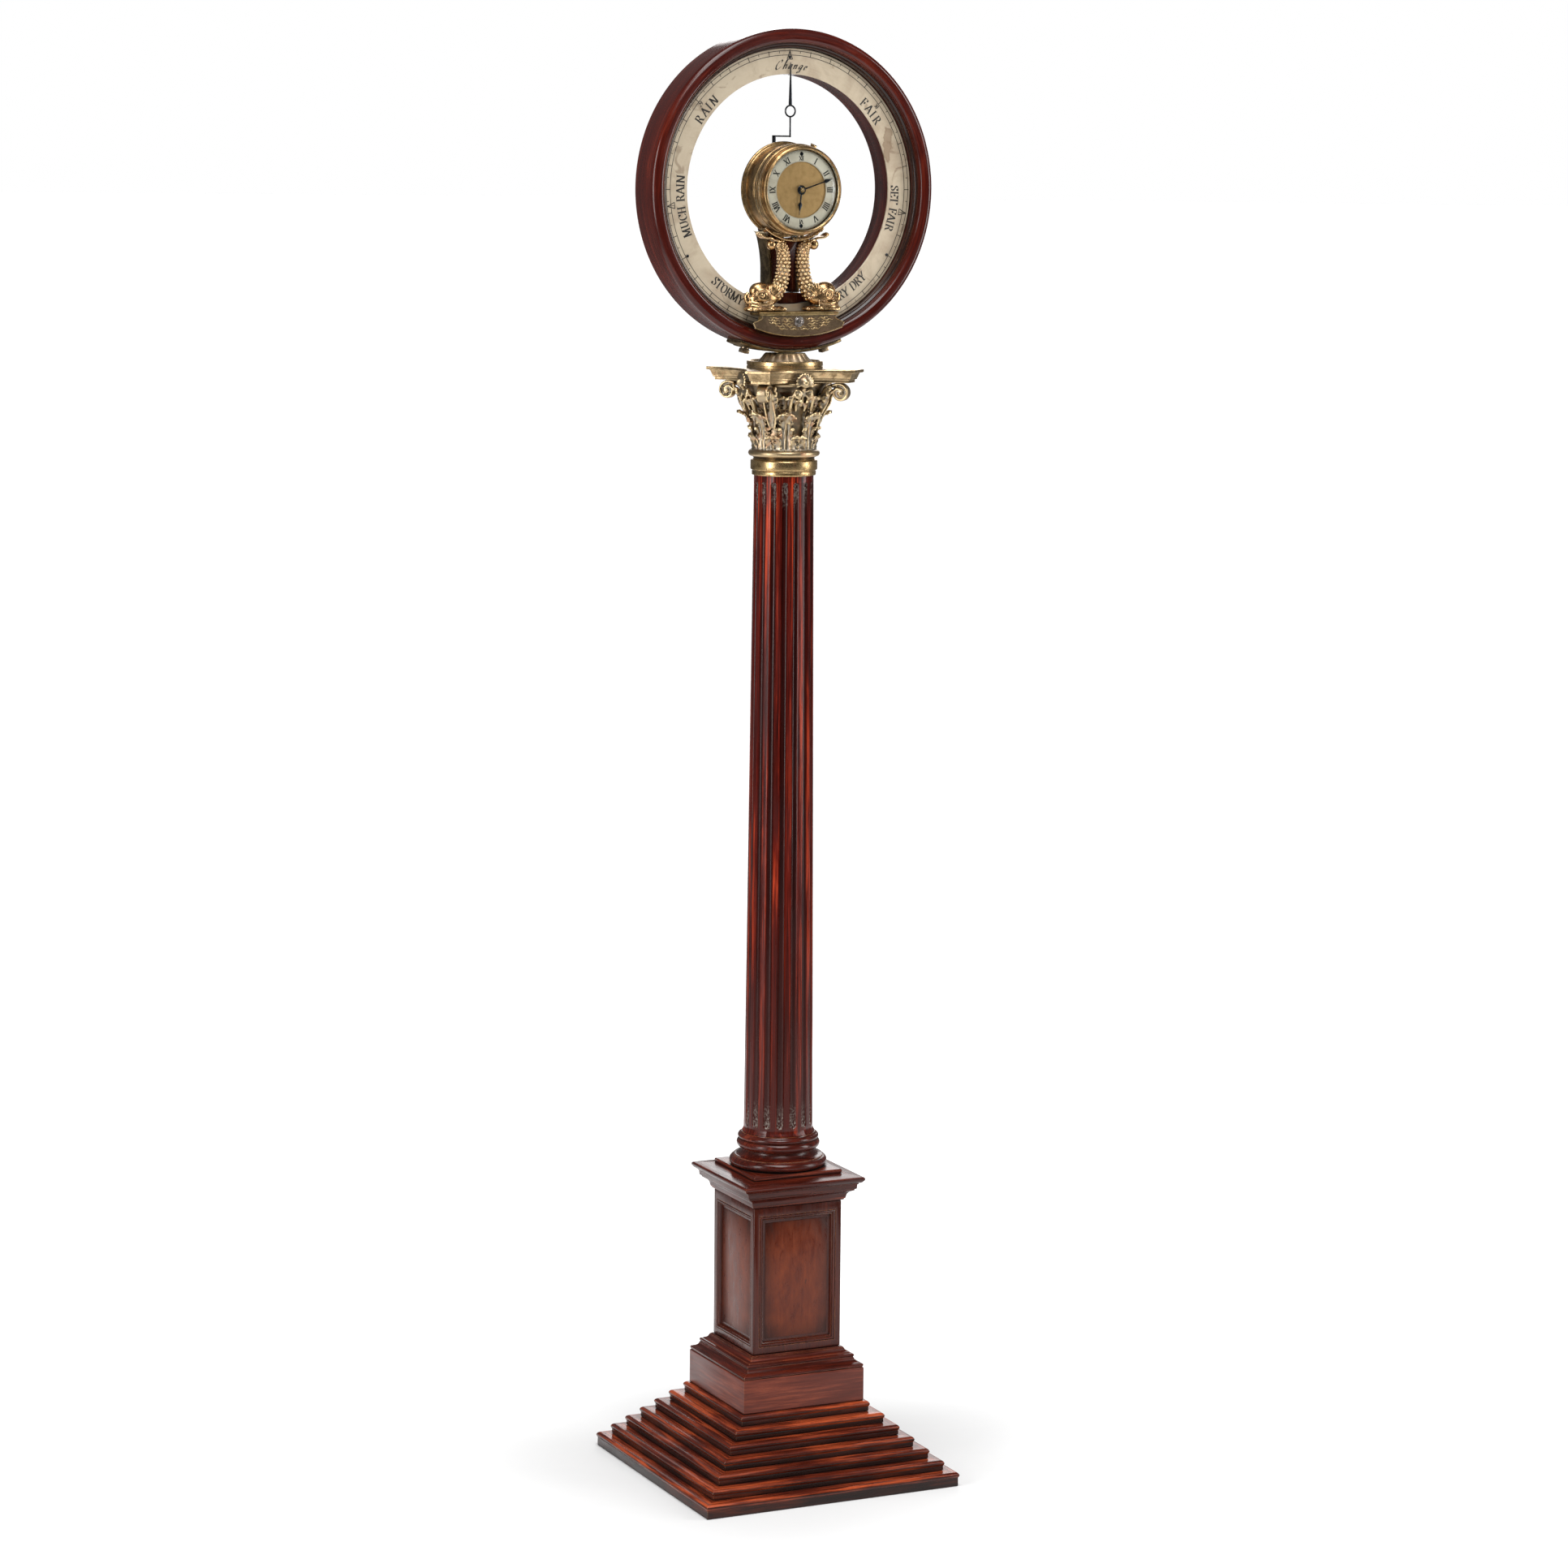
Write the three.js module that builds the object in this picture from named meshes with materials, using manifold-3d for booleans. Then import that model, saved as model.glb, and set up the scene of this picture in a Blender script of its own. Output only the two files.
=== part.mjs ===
// A mahogany column wheel barometer. A stepped pedestal carries a fluted column with a brass capital. On the
// capital turns a head: a mahogany ring with a silvered weather dial, and a drum clock that two dolphins and a
// trunk hold in the middle of the ring. Millimetres, +Z up, origin at the bottom centre of the base, front at -Y.
import * as THREE from 'three';
import { mergeVertices } from 'three/addons/utils/BufferGeometryUtils.js';
import Module from 'manifold-3d';

const wasm = await Module();
wasm.setup();

// ---- driving dimensions -----------------------------------------------------------------------------
const GAP = 0.3; // room between pieces that rest on each other

// base and pedestal: half sides and heights of the square work
const BASE_HALF = 140;
const SLAB_HEIGHT = 14.5;
const STEP_COUNT = 7;
const STEP_RISE = 10.7;
const STEP_TREAD = 11.35;
const STEP_NOSE = 2.4;
const BLOCK_HALF = 66.8;
const BLOCK_HEIGHT = 34.9;
const DIE_HALF = 48.6;
const DIE_BOTTOM = 133.4;
const DIE_TOP = 284.9;
const DIE_WALL = 9;
const PANEL_BORDER = 7.5;
const PANEL_SINK = 5;
const PANEL_THICKNESS = 2.4;
const CORNICE_HALF = 66.1;
const CORNICE_TOP = 310.4;
const COLUMN_PLINTH_HALF = 48.6;
const COLUMN_PLINTH_TOP = 316.8;
const WELL_HALF = 15; // square way for the tube

// column
const BORE_RADIUS = 19;
const COLUMN_BASE_TOP = 351.5;
const SHAFT_TOP = 1015.7;
const SHAFT_RADIUS_LOW = 35.0;
const SHAFT_RADIUS_HIGH = 29.6;
const FLUTE_COUNT = 16;
const FLUTE_LOW = 358.5;
const FLUTE_HIGH = 1010;
const FLUTE_DEPTH = 2.6;
const NECK_TOP = 1032.3;
const CAPITAL_TOP = 1108.5;
const ABACUS_TOP = 1121.5;
const ABACUS_CORNER = 78.2; // from the axis to a cut corner
const ABACUS_CORNER_WIDTH = 25.9;
const ABACUS_MIDDLE = 48; // from the axis to the middle of a hollow side
const SWIVEL_BORE = 16;
const COLLAR_RADIUS = 37.7;
const COLLAR_WALL = 3.2;
const COLLAR_TOP = 1128.8;

// head: depths d run along the dial axis, towards the front
const HEAD_TURN = THREE.MathUtils.degToRad(3);
const DIAL_HEIGHT = 1296.1;
const RING_RADIUS = 156;
const RING_BORE = 112;
const RING_FRONT = 20;
const RING_BACK = -22;
const DIAL_RADIUS = 137.4;
const DIAL_FRONT = 5.2;
const DIAL_THICKNESS = 1.5;
const STRAP_THICKNESS = 3;
const STRAP_ANGLE = THREE.MathUtils.degToRad(20.8);
const STRAP_FRONT = 15;
const STRAP_BACK = -19;
const BOLT_ANGLE = THREE.MathUtils.degToRad(15.8);
const BOLT_RADIUS = 2.2;
const THREAD_HOLE = 8;
const THREAD_DEPTH = -6;

// trunk and platform
const TRUNK_BASE_TOP = 1195;
const TRUNK_BASE_HALF = 42;
const TRUNK_TOP = 1258;
const TRUNK_SIDE_FRONT = -2;
const TRUNK_SIDE_BACK = -22;
const TRUNK_SIDE_THICKNESS = 2;
const TRUNK_CORE_FRONT = -4.5;
const TRUNK_CORE_BACK = -20;
const TRUNK_FOOT_HALF = 14.2;
const TRUNK_FLARE = 7.2;
const TRUNK_FLARE_FROM = 1216;
const ARCH_HALF = 10.5;
const ARCH_SPRING = 1206;
const COCK_BACK = -31;
const COCK_FRONT = -28.8;
const PLATFORM_TOP = 1177.6;
const PLATFORM_THICKNESS = 3.8;
const PLATFORM_HALF = 44;
const PLATFORM_FRONT = 30;
const APRON_FRONT = 29;
const APRON_THICKNESS = 1.6;
const APRON_RADIUS = 143;

// drum clock
const DRUM_RADIUS = 43.2;
const DRUM_WALL = 1.8;
const DRUM_BACK_RADIUS = 46.9;
const DRUM_BACK = -7.5;
const DRUM_FRONT = 21.4;
const BEZEL_RADIUS = 44.8;
const BEZEL_FRONT = 36;
const BEZEL_LIP = 39.6;
const BEZEL_SEAT = 41.2;
const GLASS_FRONT = 34.7;
const GLASS_THICKNESS = 1.2;
const GLASS_RISE = 4.2;
const CLOCK_DIAL_RADIUS = 39.7;
const CHAPTER_OUTER = 38.6;
const CHAPTER_INNER = 27.4;
const CHAPTER_FRONT = 31.2;
const HINGE_DEPTH = 24;
const HINGE_DROP = 47.6; // hinge pin below the dial axis
const PIN_RADIUS = 0.9;

const PLATE_RADIUS = 36;

// motion work: equal centre distances, 10 into 30 and 8 into 32 teeth
const MODULE_SIZE = 0.6;
const CANNON_TEETH = 10;
const MINUTE_WHEEL_TEETH = 30;
const MINUTE_PINION_TEETH = 8;
const HOUR_WHEEL_TEETH = 32;
const CENTRE_DISTANCE = (CANNON_TEETH + MINUTE_WHEEL_TEETH) * MODULE_SIZE / 2;
const MINUTE_HAND_ANGLE = THREE.MathUtils.degToRad(72);
const HOUR_HAND_ANGLE = THREE.MathUtils.degToRad(186);
const HOUR_DEPTH = 24;
const MINUTE_DEPTH = 18.4;
const HOUR_HAND_LENGTH = 24.5;
const MINUTE_HAND_LENGTH = 35.5;

// weather hand and its works
const HAND_TIP = 123.4;
const HAND_RING = 76.2;
const HAND_CRANK = 51.8;
const HAND_FRONT = 7.4;
const HAND_THICKNESS = 0.9;
const HAND_REAR = -27.2;
const ARBOR_RADIUS = 1.5;
const PULLEY_RADIUS = 7.28; // 25.4 mm of mercury moves the float 12.7 mm and the hand 100 degrees
const TUBE_RADIUS = 4.5;
const TUBE_BORE = 2.8;
const TUBE_BOTTOM = 150;
const TUBE_TOP = 1005;
const TUBE_OFFSET = 9;
const LIMB_TOP = 275;
const LIMB_RADIUS = 7;
const LIMB_BORE = 5.2;
const FLOAT_RADIUS = 4.2;
const FLOAT_LENGTH = 18;
const FLOAT_HEIGHT = 225;

// ---- finishes ---------------------------------------------------------------------------------------
const finish = (color, roughness, metalness) =>
  () => new THREE.MeshStandardMaterial({ color, roughness, metalness });
const mahogany = finish(0x5a1c12, 0.3, 0);
const mahoganyPanel = finish(0x7a2f16, 0.35, 0);
const brass = finish(0xa8874c, 0.35, 1);
const castBrass = finish(0xb28d57, 0.45, 1);
const gilt = finish(0xc08a5a, 0.35, 1);
const silvered = finish(0xc9c2ae, 0.5, 0.6);
const blued = finish(0x23262e, 0.35, 0.9);
const steel = finish(0x8c8f92, 0.35, 1);
const glass = finish(0xe8eef0, 0.05, 0);

// ---- shape helpers ----------------------------------------------------------------------------------
const points = (list) => list.map(([x, y]) => new THREE.Vector2(x, y));

function signedVolume(geometry) {
  const position = geometry.attributes.position;
  const corner = [0, 1, 2].map(() => new THREE.Vector3());
  let volume = 0;
  for (let i = 0; i < geometry.index.count; i += 3) {
    corner.forEach((c, k) => c.fromBufferAttribute(position, geometry.index.getX(i + k)));
    volume += corner[0].dot(corner[1].cross(corner[2])) / 6;
  }
  return volume;
}

// One welded, outward-facing solid from any closed three.js geometry.
function weld(source) {
  const bare = source.clone();
  bare.deleteAttribute('normal');
  bare.deleteAttribute('uv');
  const welded = mergeVertices(bare, 1e-4);
  const kept = [];
  for (let i = 0; i < welded.index.count; i += 3) {
    const [a, b, c] = [0, 1, 2].map((k) => welded.index.getX(i + k));
    if (a !== b && b !== c && a !== c) kept.push(a, b, c);
  }
  welded.setIndex(kept);
  if (signedVolume(welded) < 0) {
    for (let i = 0; i < kept.length; i += 3) [kept[i + 1], kept[i + 2]] = [kept[i + 2], kept[i + 1]];
    welded.setIndex(kept);
  }
  return welded;
}

function toManifold(geometry) {
  const welded = weld(geometry);
  return new wasm.Manifold(new wasm.Mesh({
    numProp: 3,
    vertProperties: new Float32Array(welded.attributes.position.array),
    triVerts: new Uint32Array(welded.index.array),
  }));
}

function fromManifold(solid) {
  const mesh = solid.getMesh();
  const geometry = new THREE.BufferGeometry();
  geometry.setAttribute('position', new THREE.BufferAttribute(mesh.vertProperties, 3));
  geometry.setIndex(new THREE.BufferAttribute(mesh.triVerts, 1));
  return geometry;
}

const cut = (body, ...tools) =>
  fromManifold(tools.reduce((solid, tool) => solid.subtract(toManifold(tool)), toManifold(body)));
const join = (body, ...others) =>
  fromManifold(others.reduce((solid, other) => solid.add(toManifold(other)), toManifold(body)));

// Turned about +Z: a profile of [radius, height] points.
const turnedUp = (profile, segments = 32) =>
  new THREE.LatheGeometry(points(profile), segments).rotateX(Math.PI / 2);

// Square mitred work about +Z: a profile of [half side, height] points.
const squareWork = (profile) =>
  turnedUp(profile.map(([half, z]) => [half * Math.SQRT2, z]), 4).rotateZ(Math.PI / 4);

// Turned about the dial axis: a profile of [radius, depth] points, centred on the dial.
const turnedFront = (profile, segments = 32) =>
  new THREE.LatheGeometry(points(profile.map(([r, d]) => [r, -d])), segments).translate(0, 0, DIAL_HEIGHT);

// A flat outline in the dial's plane, from depth back to depth front. y of the outline is height.
function plate(outline, back, front, holes = []) {
  const shape = new THREE.Shape(points(outline));
  holes.forEach((hole) => shape.holes.push(new THREE.Path(points(hole))));
  const geometry = new THREE.ExtrudeGeometry(shape, { depth: front - back, bevelEnabled: false });
  return geometry.rotateX(Math.PI / 2).translate(0, -back, 0);
}

const rod = (radius, back, front, x = 0, z = DIAL_HEIGHT, sides = 16) =>
  new THREE.CylinderGeometry(radius, radius, front - back, sides).translate(x, -(back + front) / 2, z);
const upright = (radius, low, high, x = 0, y = 0, sides = 16) =>
  new THREE.CylinderGeometry(radius, radius, high - low, sides).rotateX(Math.PI / 2)
    .translate(x, y, (low + high) / 2);
const brick = (x0, x1, y0, y1, z0, z1) =>
  new THREE.BoxGeometry(x1 - x0, y1 - y0, z1 - z0).translate((x0 + x1) / 2, (y0 + y1) / 2, (z0 + z1) / 2);

// Points of an arc about the dial axis. Angles run clockwise from the top, as on a clock.
function dialArc(radius, from, to, steps, height = DIAL_HEIGHT) {
  return Array.from({ length: steps + 1 }, (_, i) => {
    const angle = from + (to - from) * i / steps;
    return [radius * Math.sin(angle), height + radius * Math.cos(angle)];
  });
}

// ---- groups -----------------------------------------------------------------------------------------
const barometer = new THREE.Group();
const head = new THREE.Group();
head.rotation.z = HEAD_TURN;
barometer.add(head);

function add(group, name, geometry, material) {
  const mesh = new THREE.Mesh(weld(geometry), material());
  mesh.name = name;
  group.add(mesh);
  return mesh;
}

// ---- pedestal ---------------------------------------------------------------------------------------
const stepTop = (index) => SLAB_HEIGHT + index * STEP_RISE;
for (let i = 0; i < STEP_COUNT; i += 1) {
  const half = BASE_HALF - i * STEP_TREAD;
  const low = i === 0 ? 0 : stepTop(i - 1) + GAP;
  const high = stepTop(i);
  add(barometer, `base_step_${i + 1}`, squareWork([
    [0, low], [half, low], [half, high - STEP_NOSE], [half - STEP_NOSE * 0.3, high - STEP_NOSE * 0.3],
    [half - STEP_NOSE, high],
    [0, high],
  ]), mahogany);
}

const BLOCK_BOTTOM = stepTop(STEP_COUNT - 1);
const BLOCK_TOP = BLOCK_BOTTOM + BLOCK_HEIGHT;
add(barometer, 'plinth_block', squareWork([
  [0, BLOCK_BOTTOM + GAP], [BLOCK_HALF, BLOCK_BOTTOM + GAP], [BLOCK_HALF, BLOCK_TOP], [0, BLOCK_TOP],
]), mahogany);
add(barometer, 'plinth_moulding', squareWork([
  [0, BLOCK_TOP + GAP], [66, BLOCK_TOP + GAP], [66, BLOCK_TOP + 2.4], [64.4, BLOCK_TOP + 4.6],
  [60.5, BLOCK_TOP + 7], [58.2, BLOCK_TOP + 10.2], [57, BLOCK_TOP + 13.4], [54, BLOCK_TOP + 15.2],
  [52.6, BLOCK_TOP + 17.4], [49.6, DIE_BOTTOM - GAP], [0, DIE_BOTTOM - GAP],
]), mahogany);

const panelHalf = DIE_HALF - PANEL_BORDER;
const panelLow = DIE_BOTTOM + PANEL_BORDER + 1;
const panelHigh = DIE_TOP - PANEL_BORDER - 3;
const sunkPocket = (side) =>
  brick(-panelHalf, panelHalf, -DIE_HALF - 1, -DIE_HALF + PANEL_SINK, panelLow, panelHigh)
    .rotateZ(side * Math.PI / 2);
const dieInner = DIE_HALF - DIE_WALL;
add(barometer, 'pedestal_case', cut(
  squareWork([[dieInner, DIE_BOTTOM], [DIE_HALF, DIE_BOTTOM], [DIE_HALF, DIE_TOP], [dieInner, DIE_TOP],
    [dieInner, DIE_BOTTOM]]),
  ...[0, 1, 2, 3].map(sunkPocket),
), mahogany);
['front', 'right', 'rear', 'left'].forEach((side, i) => {
  const face = -DIE_HALF + PANEL_SINK - GAP;
  const panel = brick(-panelHalf + GAP, panelHalf - GAP, face - PANEL_THICKNESS, face,
    panelLow + GAP, panelHigh - GAP);
  add(barometer, `pedestal_panel_${side}`, panel.rotateZ(i * Math.PI / 2), mahoganyPanel);
});

add(barometer, 'pedestal_cornice', squareWork([
  [WELL_HALF, DIE_TOP + GAP], [50, DIE_TOP + GAP], [51.5, 289], [55, 293.5], [58.6, 296.5], [58.6, 298.3],
  [60.4, 300], [61.2, 304.5], [64.6, 306.3], [CORNICE_HALF, 307.6], [CORNICE_HALF, CORNICE_TOP],
  [COLUMN_PLINTH_HALF, CORNICE_TOP + 2], [WELL_HALF, CORNICE_TOP + 2], [WELL_HALF, DIE_TOP + GAP],
]), mahogany);
add(barometer, 'column_plinth', squareWork([
  [WELL_HALF, CORNICE_TOP + 2 + GAP], [COLUMN_PLINTH_HALF, CORNICE_TOP + 2 + GAP],
  [COLUMN_PLINTH_HALF, COLUMN_PLINTH_TOP - 1], [COLUMN_PLINTH_HALF - 1, COLUMN_PLINTH_TOP],
  [WELL_HALF, COLUMN_PLINTH_TOP], [WELL_HALF, CORNICE_TOP + 2 + GAP],
]), mahogany);

// ---- column -----------------------------------------------------------------------------------------
const lowBase = COLUMN_PLINTH_TOP + GAP;
add(barometer, 'column_base', turnedUp([
  [BORE_RADIUS, lowBase], [46, lowBase], [49.3, 321.6], [46, 326.8], [45, 328], [38.4, 331.4], [36.6, 334],
  [39.4, 335], [41.6, 339.4], [39.6, 344.4], [40.6, 347.6], [38.4, COLUMN_BASE_TOP],
  [BORE_RADIUS, COLUMN_BASE_TOP],
  [BORE_RADIUS, lowBase],
]), mahogany);

const shaftRadius = (z) => SHAFT_RADIUS_LOW
  + (SHAFT_RADIUS_HIGH - SHAFT_RADIUS_LOW) * (z - COLUMN_BASE_TOP) / (SHAFT_TOP - COLUMN_BASE_TOP);
const fluteAt = (z) => Math.PI * shaftRadius(z) / FLUTE_COUNT * 0.66;
function flute(index) {
  const ends = 2;
  const [low, high] = [fluteAt(FLUTE_LOW), fluteAt(FLUTE_HIGH)];
  const profile = [[0, FLUTE_LOW]];
  for (let i = 1; i <= ends; i += 1) {
    const a = i / ends * Math.PI / 2;
    profile.push([low * Math.sin(a), FLUTE_LOW + low * (1 - Math.cos(a))]);
  }
  for (let i = ends; i >= 0; i -= 1) {
    const a = i / ends * Math.PI / 2;
    profile.push([high * Math.sin(a), FLUTE_HIGH - high * (1 - Math.cos(a))]);
  }
  const lean = Math.atan((shaftRadius(FLUTE_HIGH) - shaftRadius(FLUTE_LOW)) / (FLUTE_HIGH - FLUTE_LOW));
  const middle = (FLUTE_LOW + FLUTE_HIGH) / 2;
  return turnedUp(profile, 10).translate(0, 0, -middle).rotateY(lean)
    .translate(shaftRadius(middle) + fluteAt(middle) - FLUTE_DEPTH, 0, middle)
    .rotateZ(index * 2 * Math.PI / FLUTE_COUNT);
}
const flutes = Array.from({ length: FLUTE_COUNT }, (_, i) => flute(i));
add(barometer, 'column_shaft', cut(turnedUp([
  [BORE_RADIUS, COLUMN_BASE_TOP + GAP], [36.6, COLUMN_BASE_TOP + GAP], [shaftRadius(355), 355],
  [SHAFT_RADIUS_HIGH, SHAFT_TOP], [BORE_RADIUS, SHAFT_TOP], [BORE_RADIUS, COLUMN_BASE_TOP + GAP],
]), ...flutes), mahogany);

add(barometer, 'neck_collar', turnedUp([
  [BORE_RADIUS, SHAFT_TOP + GAP], [31.1, SHAFT_TOP + GAP], [31.1, 1020.6], [32.6, 1021.6], [33, 1022.6],
  [33, 1030], [32.2, 1031.4], [30.6, NECK_TOP], [BORE_RADIUS, NECK_TOP], [BORE_RADIUS, SHAFT_TOP + GAP],
]), brass);

// The capital: a bell with two rows of eight leaves and a scroll under each corner of the abacus.
const bell = turnedUp([
  [BORE_RADIUS, NECK_TOP + GAP], [30.2, NECK_TOP + GAP], [30.6, 1034.4], [34.6, 1035.2], [35.4, 1037.8],
  [34.6, 1040.6], [30, 1041.6], [29.4, 1056], [31, 1078], [36, 1096], [41.5, CAPITAL_TOP - GAP],
  [BORE_RADIUS, CAPITAL_TOP - GAP], [BORE_RADIUS, NECK_TOP + GAP],
], 24);
function leaf(angle, low, tipHeight, reach) {
  const outline = [[27, low], [31.6, low], [33.4, tipHeight - 8], [reach, tipHeight - 2], [reach, tipHeight],
    [reach - 4, tipHeight + 2], [27, tipHeight + 1]];
  return new THREE.ExtrudeGeometry(new THREE.Shape(points(outline)), { depth: 11, bevelEnabled: false })
    .translate(0, 0, -5.5).rotateX(Math.PI / 2).rotateZ(angle);
}
function scroll(angle) {
  const eye = new THREE.CylinderGeometry(8.6, 8.6, 11, 12).translate(58.2, 0, 1098.5);
  const stalk = new THREE.ExtrudeGeometry(new THREE.Shape(points([
    [28, 1066], [33, 1066], [42, 1088], [56, 1104.5], [64, 1106], [64, 1107.6], [28, 1107.6],
  ])), { depth: 8, bevelEnabled: false }).translate(0, 0, -4).rotateX(Math.PI / 2);
  return [eye.rotateZ(angle), stalk.rotateZ(angle)];
}
const eighths = Array.from({ length: 8 }, (_, i) => i * Math.PI / 4);
add(barometer, 'capital', join(
  bell,
  ...eighths.map((a) => leaf(a, 1042, 1055, 36.4)),
  ...eighths.map((a) => leaf(a + Math.PI / 8, 1044, 1077, 46.2)),
  ...[0, 1, 2, 3].flatMap((i) => scroll(Math.PI / 4 + i * Math.PI / 2)),
), castBrass);

// The abacus: hollow sides between cut corners, with a smaller moulded tier under the top.
function abacusOutline(inset) {
  const corner = ABACUS_CORNER - inset;
  const halfWidth = ABACUS_CORNER_WIDTH / 2 - inset * 0.4;
  const outline = [];
  for (let side = 0; side < 4; side += 1) {
    const turn = side * Math.PI / 2;
    const end = (corner - halfWidth) / Math.SQRT2;
    const reach = (corner + halfWidth) / Math.SQRT2;
    const steps = 8;
    for (let i = 0; i <= steps; i += 1) {
      const t = 2 * i / steps - 1;
      const out = ABACUS_MIDDLE - inset + (reach - ABACUS_MIDDLE + inset) * t * t;
      outline.push([
        out * Math.sin(turn) + t * end * Math.cos(turn),
        -out * Math.cos(turn) + t * end * Math.sin(turn),
      ]);
    }
  }
  return outline;
}
const abacusTier = (inset, low, high) => new THREE.ExtrudeGeometry(
  new THREE.Shape(points(abacusOutline(inset))),
  { depth: high - low, bevelEnabled: false },
).translate(0, 0, low);
add(barometer, 'abacus', cut(
  join(abacusTier(0, 1117.2, ABACUS_TOP), abacusTier(3.5, 1113, 1118), abacusTier(8, CAPITAL_TOP, 1114)),
  upright(SWIVEL_BORE, CAPITAL_TOP - 1, ABACUS_TOP + 1),
), brass);
add(barometer, 'swivel_collar', turnedUp([
  [COLLAR_RADIUS - COLLAR_WALL, ABACUS_TOP + GAP], [COLLAR_RADIUS, ABACUS_TOP + GAP],
  [COLLAR_RADIUS, COLLAR_TOP - 1.4], [COLLAR_RADIUS - 0.8, COLLAR_TOP],
  [COLLAR_RADIUS - COLLAR_WALL, COLLAR_TOP],
  [COLLAR_RADIUS - COLLAR_WALL, ABACUS_TOP + GAP],
]), brass);

// ---- mercury tube and float -------------------------------------------------------------------------
// A U-shaped rod: a long leg behind the axis, a half-round bend at the foot and a short leg in front.
function siphon(radius, longTop, shortTop) {
  const bendTop = TUBE_BOTTOM + TUBE_OFFSET;
  const bend = new THREE.CatmullRomCurve3(Array.from({ length: 9 }, (_, i) => {
    const angle = i * Math.PI / 8;
    return new THREE.Vector3(0, TUBE_OFFSET * Math.cos(angle), bendTop - TUBE_OFFSET * Math.sin(angle));
  }));
  const section = new THREE.Shape().absarc(0, 0, radius, 0, 2 * Math.PI);
  return join(
    new THREE.ExtrudeGeometry(section, { steps: 8, curveSegments: 5, extrudePath: bend }),
    upright(radius, bendTop - 0.5, longTop, 0, TUBE_OFFSET, 10),
    upright(radius, bendTop - 0.5, shortTop, 0, -TUBE_OFFSET, 10),
  );
}
const limb = (radius, low, high) => upright(radius, low, high, 0, -TUBE_OFFSET, 14);
add(barometer, 'mercury_tube', cut(
  join(siphon(TUBE_RADIUS, TUBE_TOP, 190), limb(LIMB_RADIUS, 180, LIMB_TOP)),
  siphon(TUBE_BORE, TUBE_TOP - 3, 200),
  limb(LIMB_BORE, 183, LIMB_TOP + 1),
), glass);
add(barometer, 'float_weight', upright(
  FLOAT_RADIUS, FLOAT_HEIGHT, FLOAT_HEIGHT + FLOAT_LENGTH, 0, -TUBE_OFFSET, 16,
), glass);

// ---- head: socle, strap and ring --------------------------------------------------------------------
const socleLow = ABACUS_TOP + GAP;
const ringBottom = DIAL_HEIGHT - RING_RADIUS;
const strapBottom = ringBottom - STRAP_THICKNESS - GAP;
const socleBore = 11;
add(head, 'head_socle', cut(turnedUp([
  [socleBore, CAPITAL_TOP + 4], [SWIVEL_BORE - 0.5, CAPITAL_TOP + 4], [SWIVEL_BORE - 0.5, socleLow],
  [33.8, socleLow], [33.8, 1125.4], [27.4, 1127], [24.6, 1129.4], [21.4, 1133], [19.6, strapBottom + 1],
  [socleBore, strapBottom + 1], [socleBore, CAPITAL_TOP + 4],
]), rod(RING_RADIUS + STRAP_THICKNESS + 2 * GAP, -60, 60, 0, DIAL_HEIGHT, 72)), castBrass);

// A bolt lies on a radius of the ring: x out to the side, its own axis pointing to the ring's centre.
function radial(geometry, angle, radius, depth) {
  return geometry.translate(0, 0, -radius).rotateY(-angle).translate(0, -depth, DIAL_HEIGHT);
}
const boltDepth = -2;
const boltHole = (side) => radial(upright(BOLT_RADIUS + 0.2, -8, 10), side * BOLT_ANGLE, RING_RADIUS, boltDepth);
const threadHole = () => upright(THREAD_HOLE, ringBottom - 10, TRUNK_BASE_TOP + 5, 0, -THREAD_DEPTH);

const strapOutline = (inner, angle) => [
  ...dialArc(inner + STRAP_THICKNESS, Math.PI - angle, Math.PI + angle, 12),
  ...dialArc(inner, Math.PI + angle, Math.PI - angle, 12),
];
add(head, 'saddle_strap', cut(
  plate(strapOutline(RING_RADIUS + GAP, STRAP_ANGLE), STRAP_BACK, STRAP_FRONT),
  boltHole(-1), boltHole(1), threadHole(),
), brass);
for (const [side, word] of [[-1, 'left'], [1, 'right']]) {
  const bolt = turnedUp([
    [0, -STRAP_THICKNESS - 2 * GAP - 5], [5, -STRAP_THICKNESS - 2 * GAP - 5],
    [5, -STRAP_THICKNESS - 2 * GAP], [BOLT_RADIUS, -STRAP_THICKNESS - 2 * GAP], [BOLT_RADIUS, 9], [0, 9],
  ], 12);
  add(head, `strap_bolt_${word}`, radial(bolt, side * BOLT_ANGLE, RING_RADIUS, boltDepth), steel);
}
const ringProfile = [
  [RING_BORE, RING_BACK], [RING_RADIUS - 3, RING_BACK], [RING_RADIUS, RING_BACK + 4], [RING_RADIUS, 14],
  [RING_RADIUS - 3, 18.8], [RING_RADIUS - 7, RING_FRONT], [RING_RADIUS - 12, 18.4], [RING_RADIUS - 13.6, 14],
  [DIAL_RADIUS + GAP, 9.6], [DIAL_RADIUS + GAP, DIAL_FRONT - DIAL_THICKNESS],
  [RING_BORE, DIAL_FRONT - DIAL_THICKNESS], [RING_BORE, RING_BACK],
];
add(head, 'ring_rim', cut(
  turnedFront(ringProfile, 64), boltHole(-1), boltHole(1), threadHole(),
), mahogany);
const dialBack = DIAL_FRONT - DIAL_THICKNESS + GAP;
add(head, 'weather_dial', turnedFront([
  [RING_BORE, dialBack], [DIAL_RADIUS - GAP, dialBack], [DIAL_RADIUS - GAP, DIAL_FRONT], [RING_BORE, DIAL_FRONT],
  [RING_BORE, dialBack],
], 64), silvered);

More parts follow.
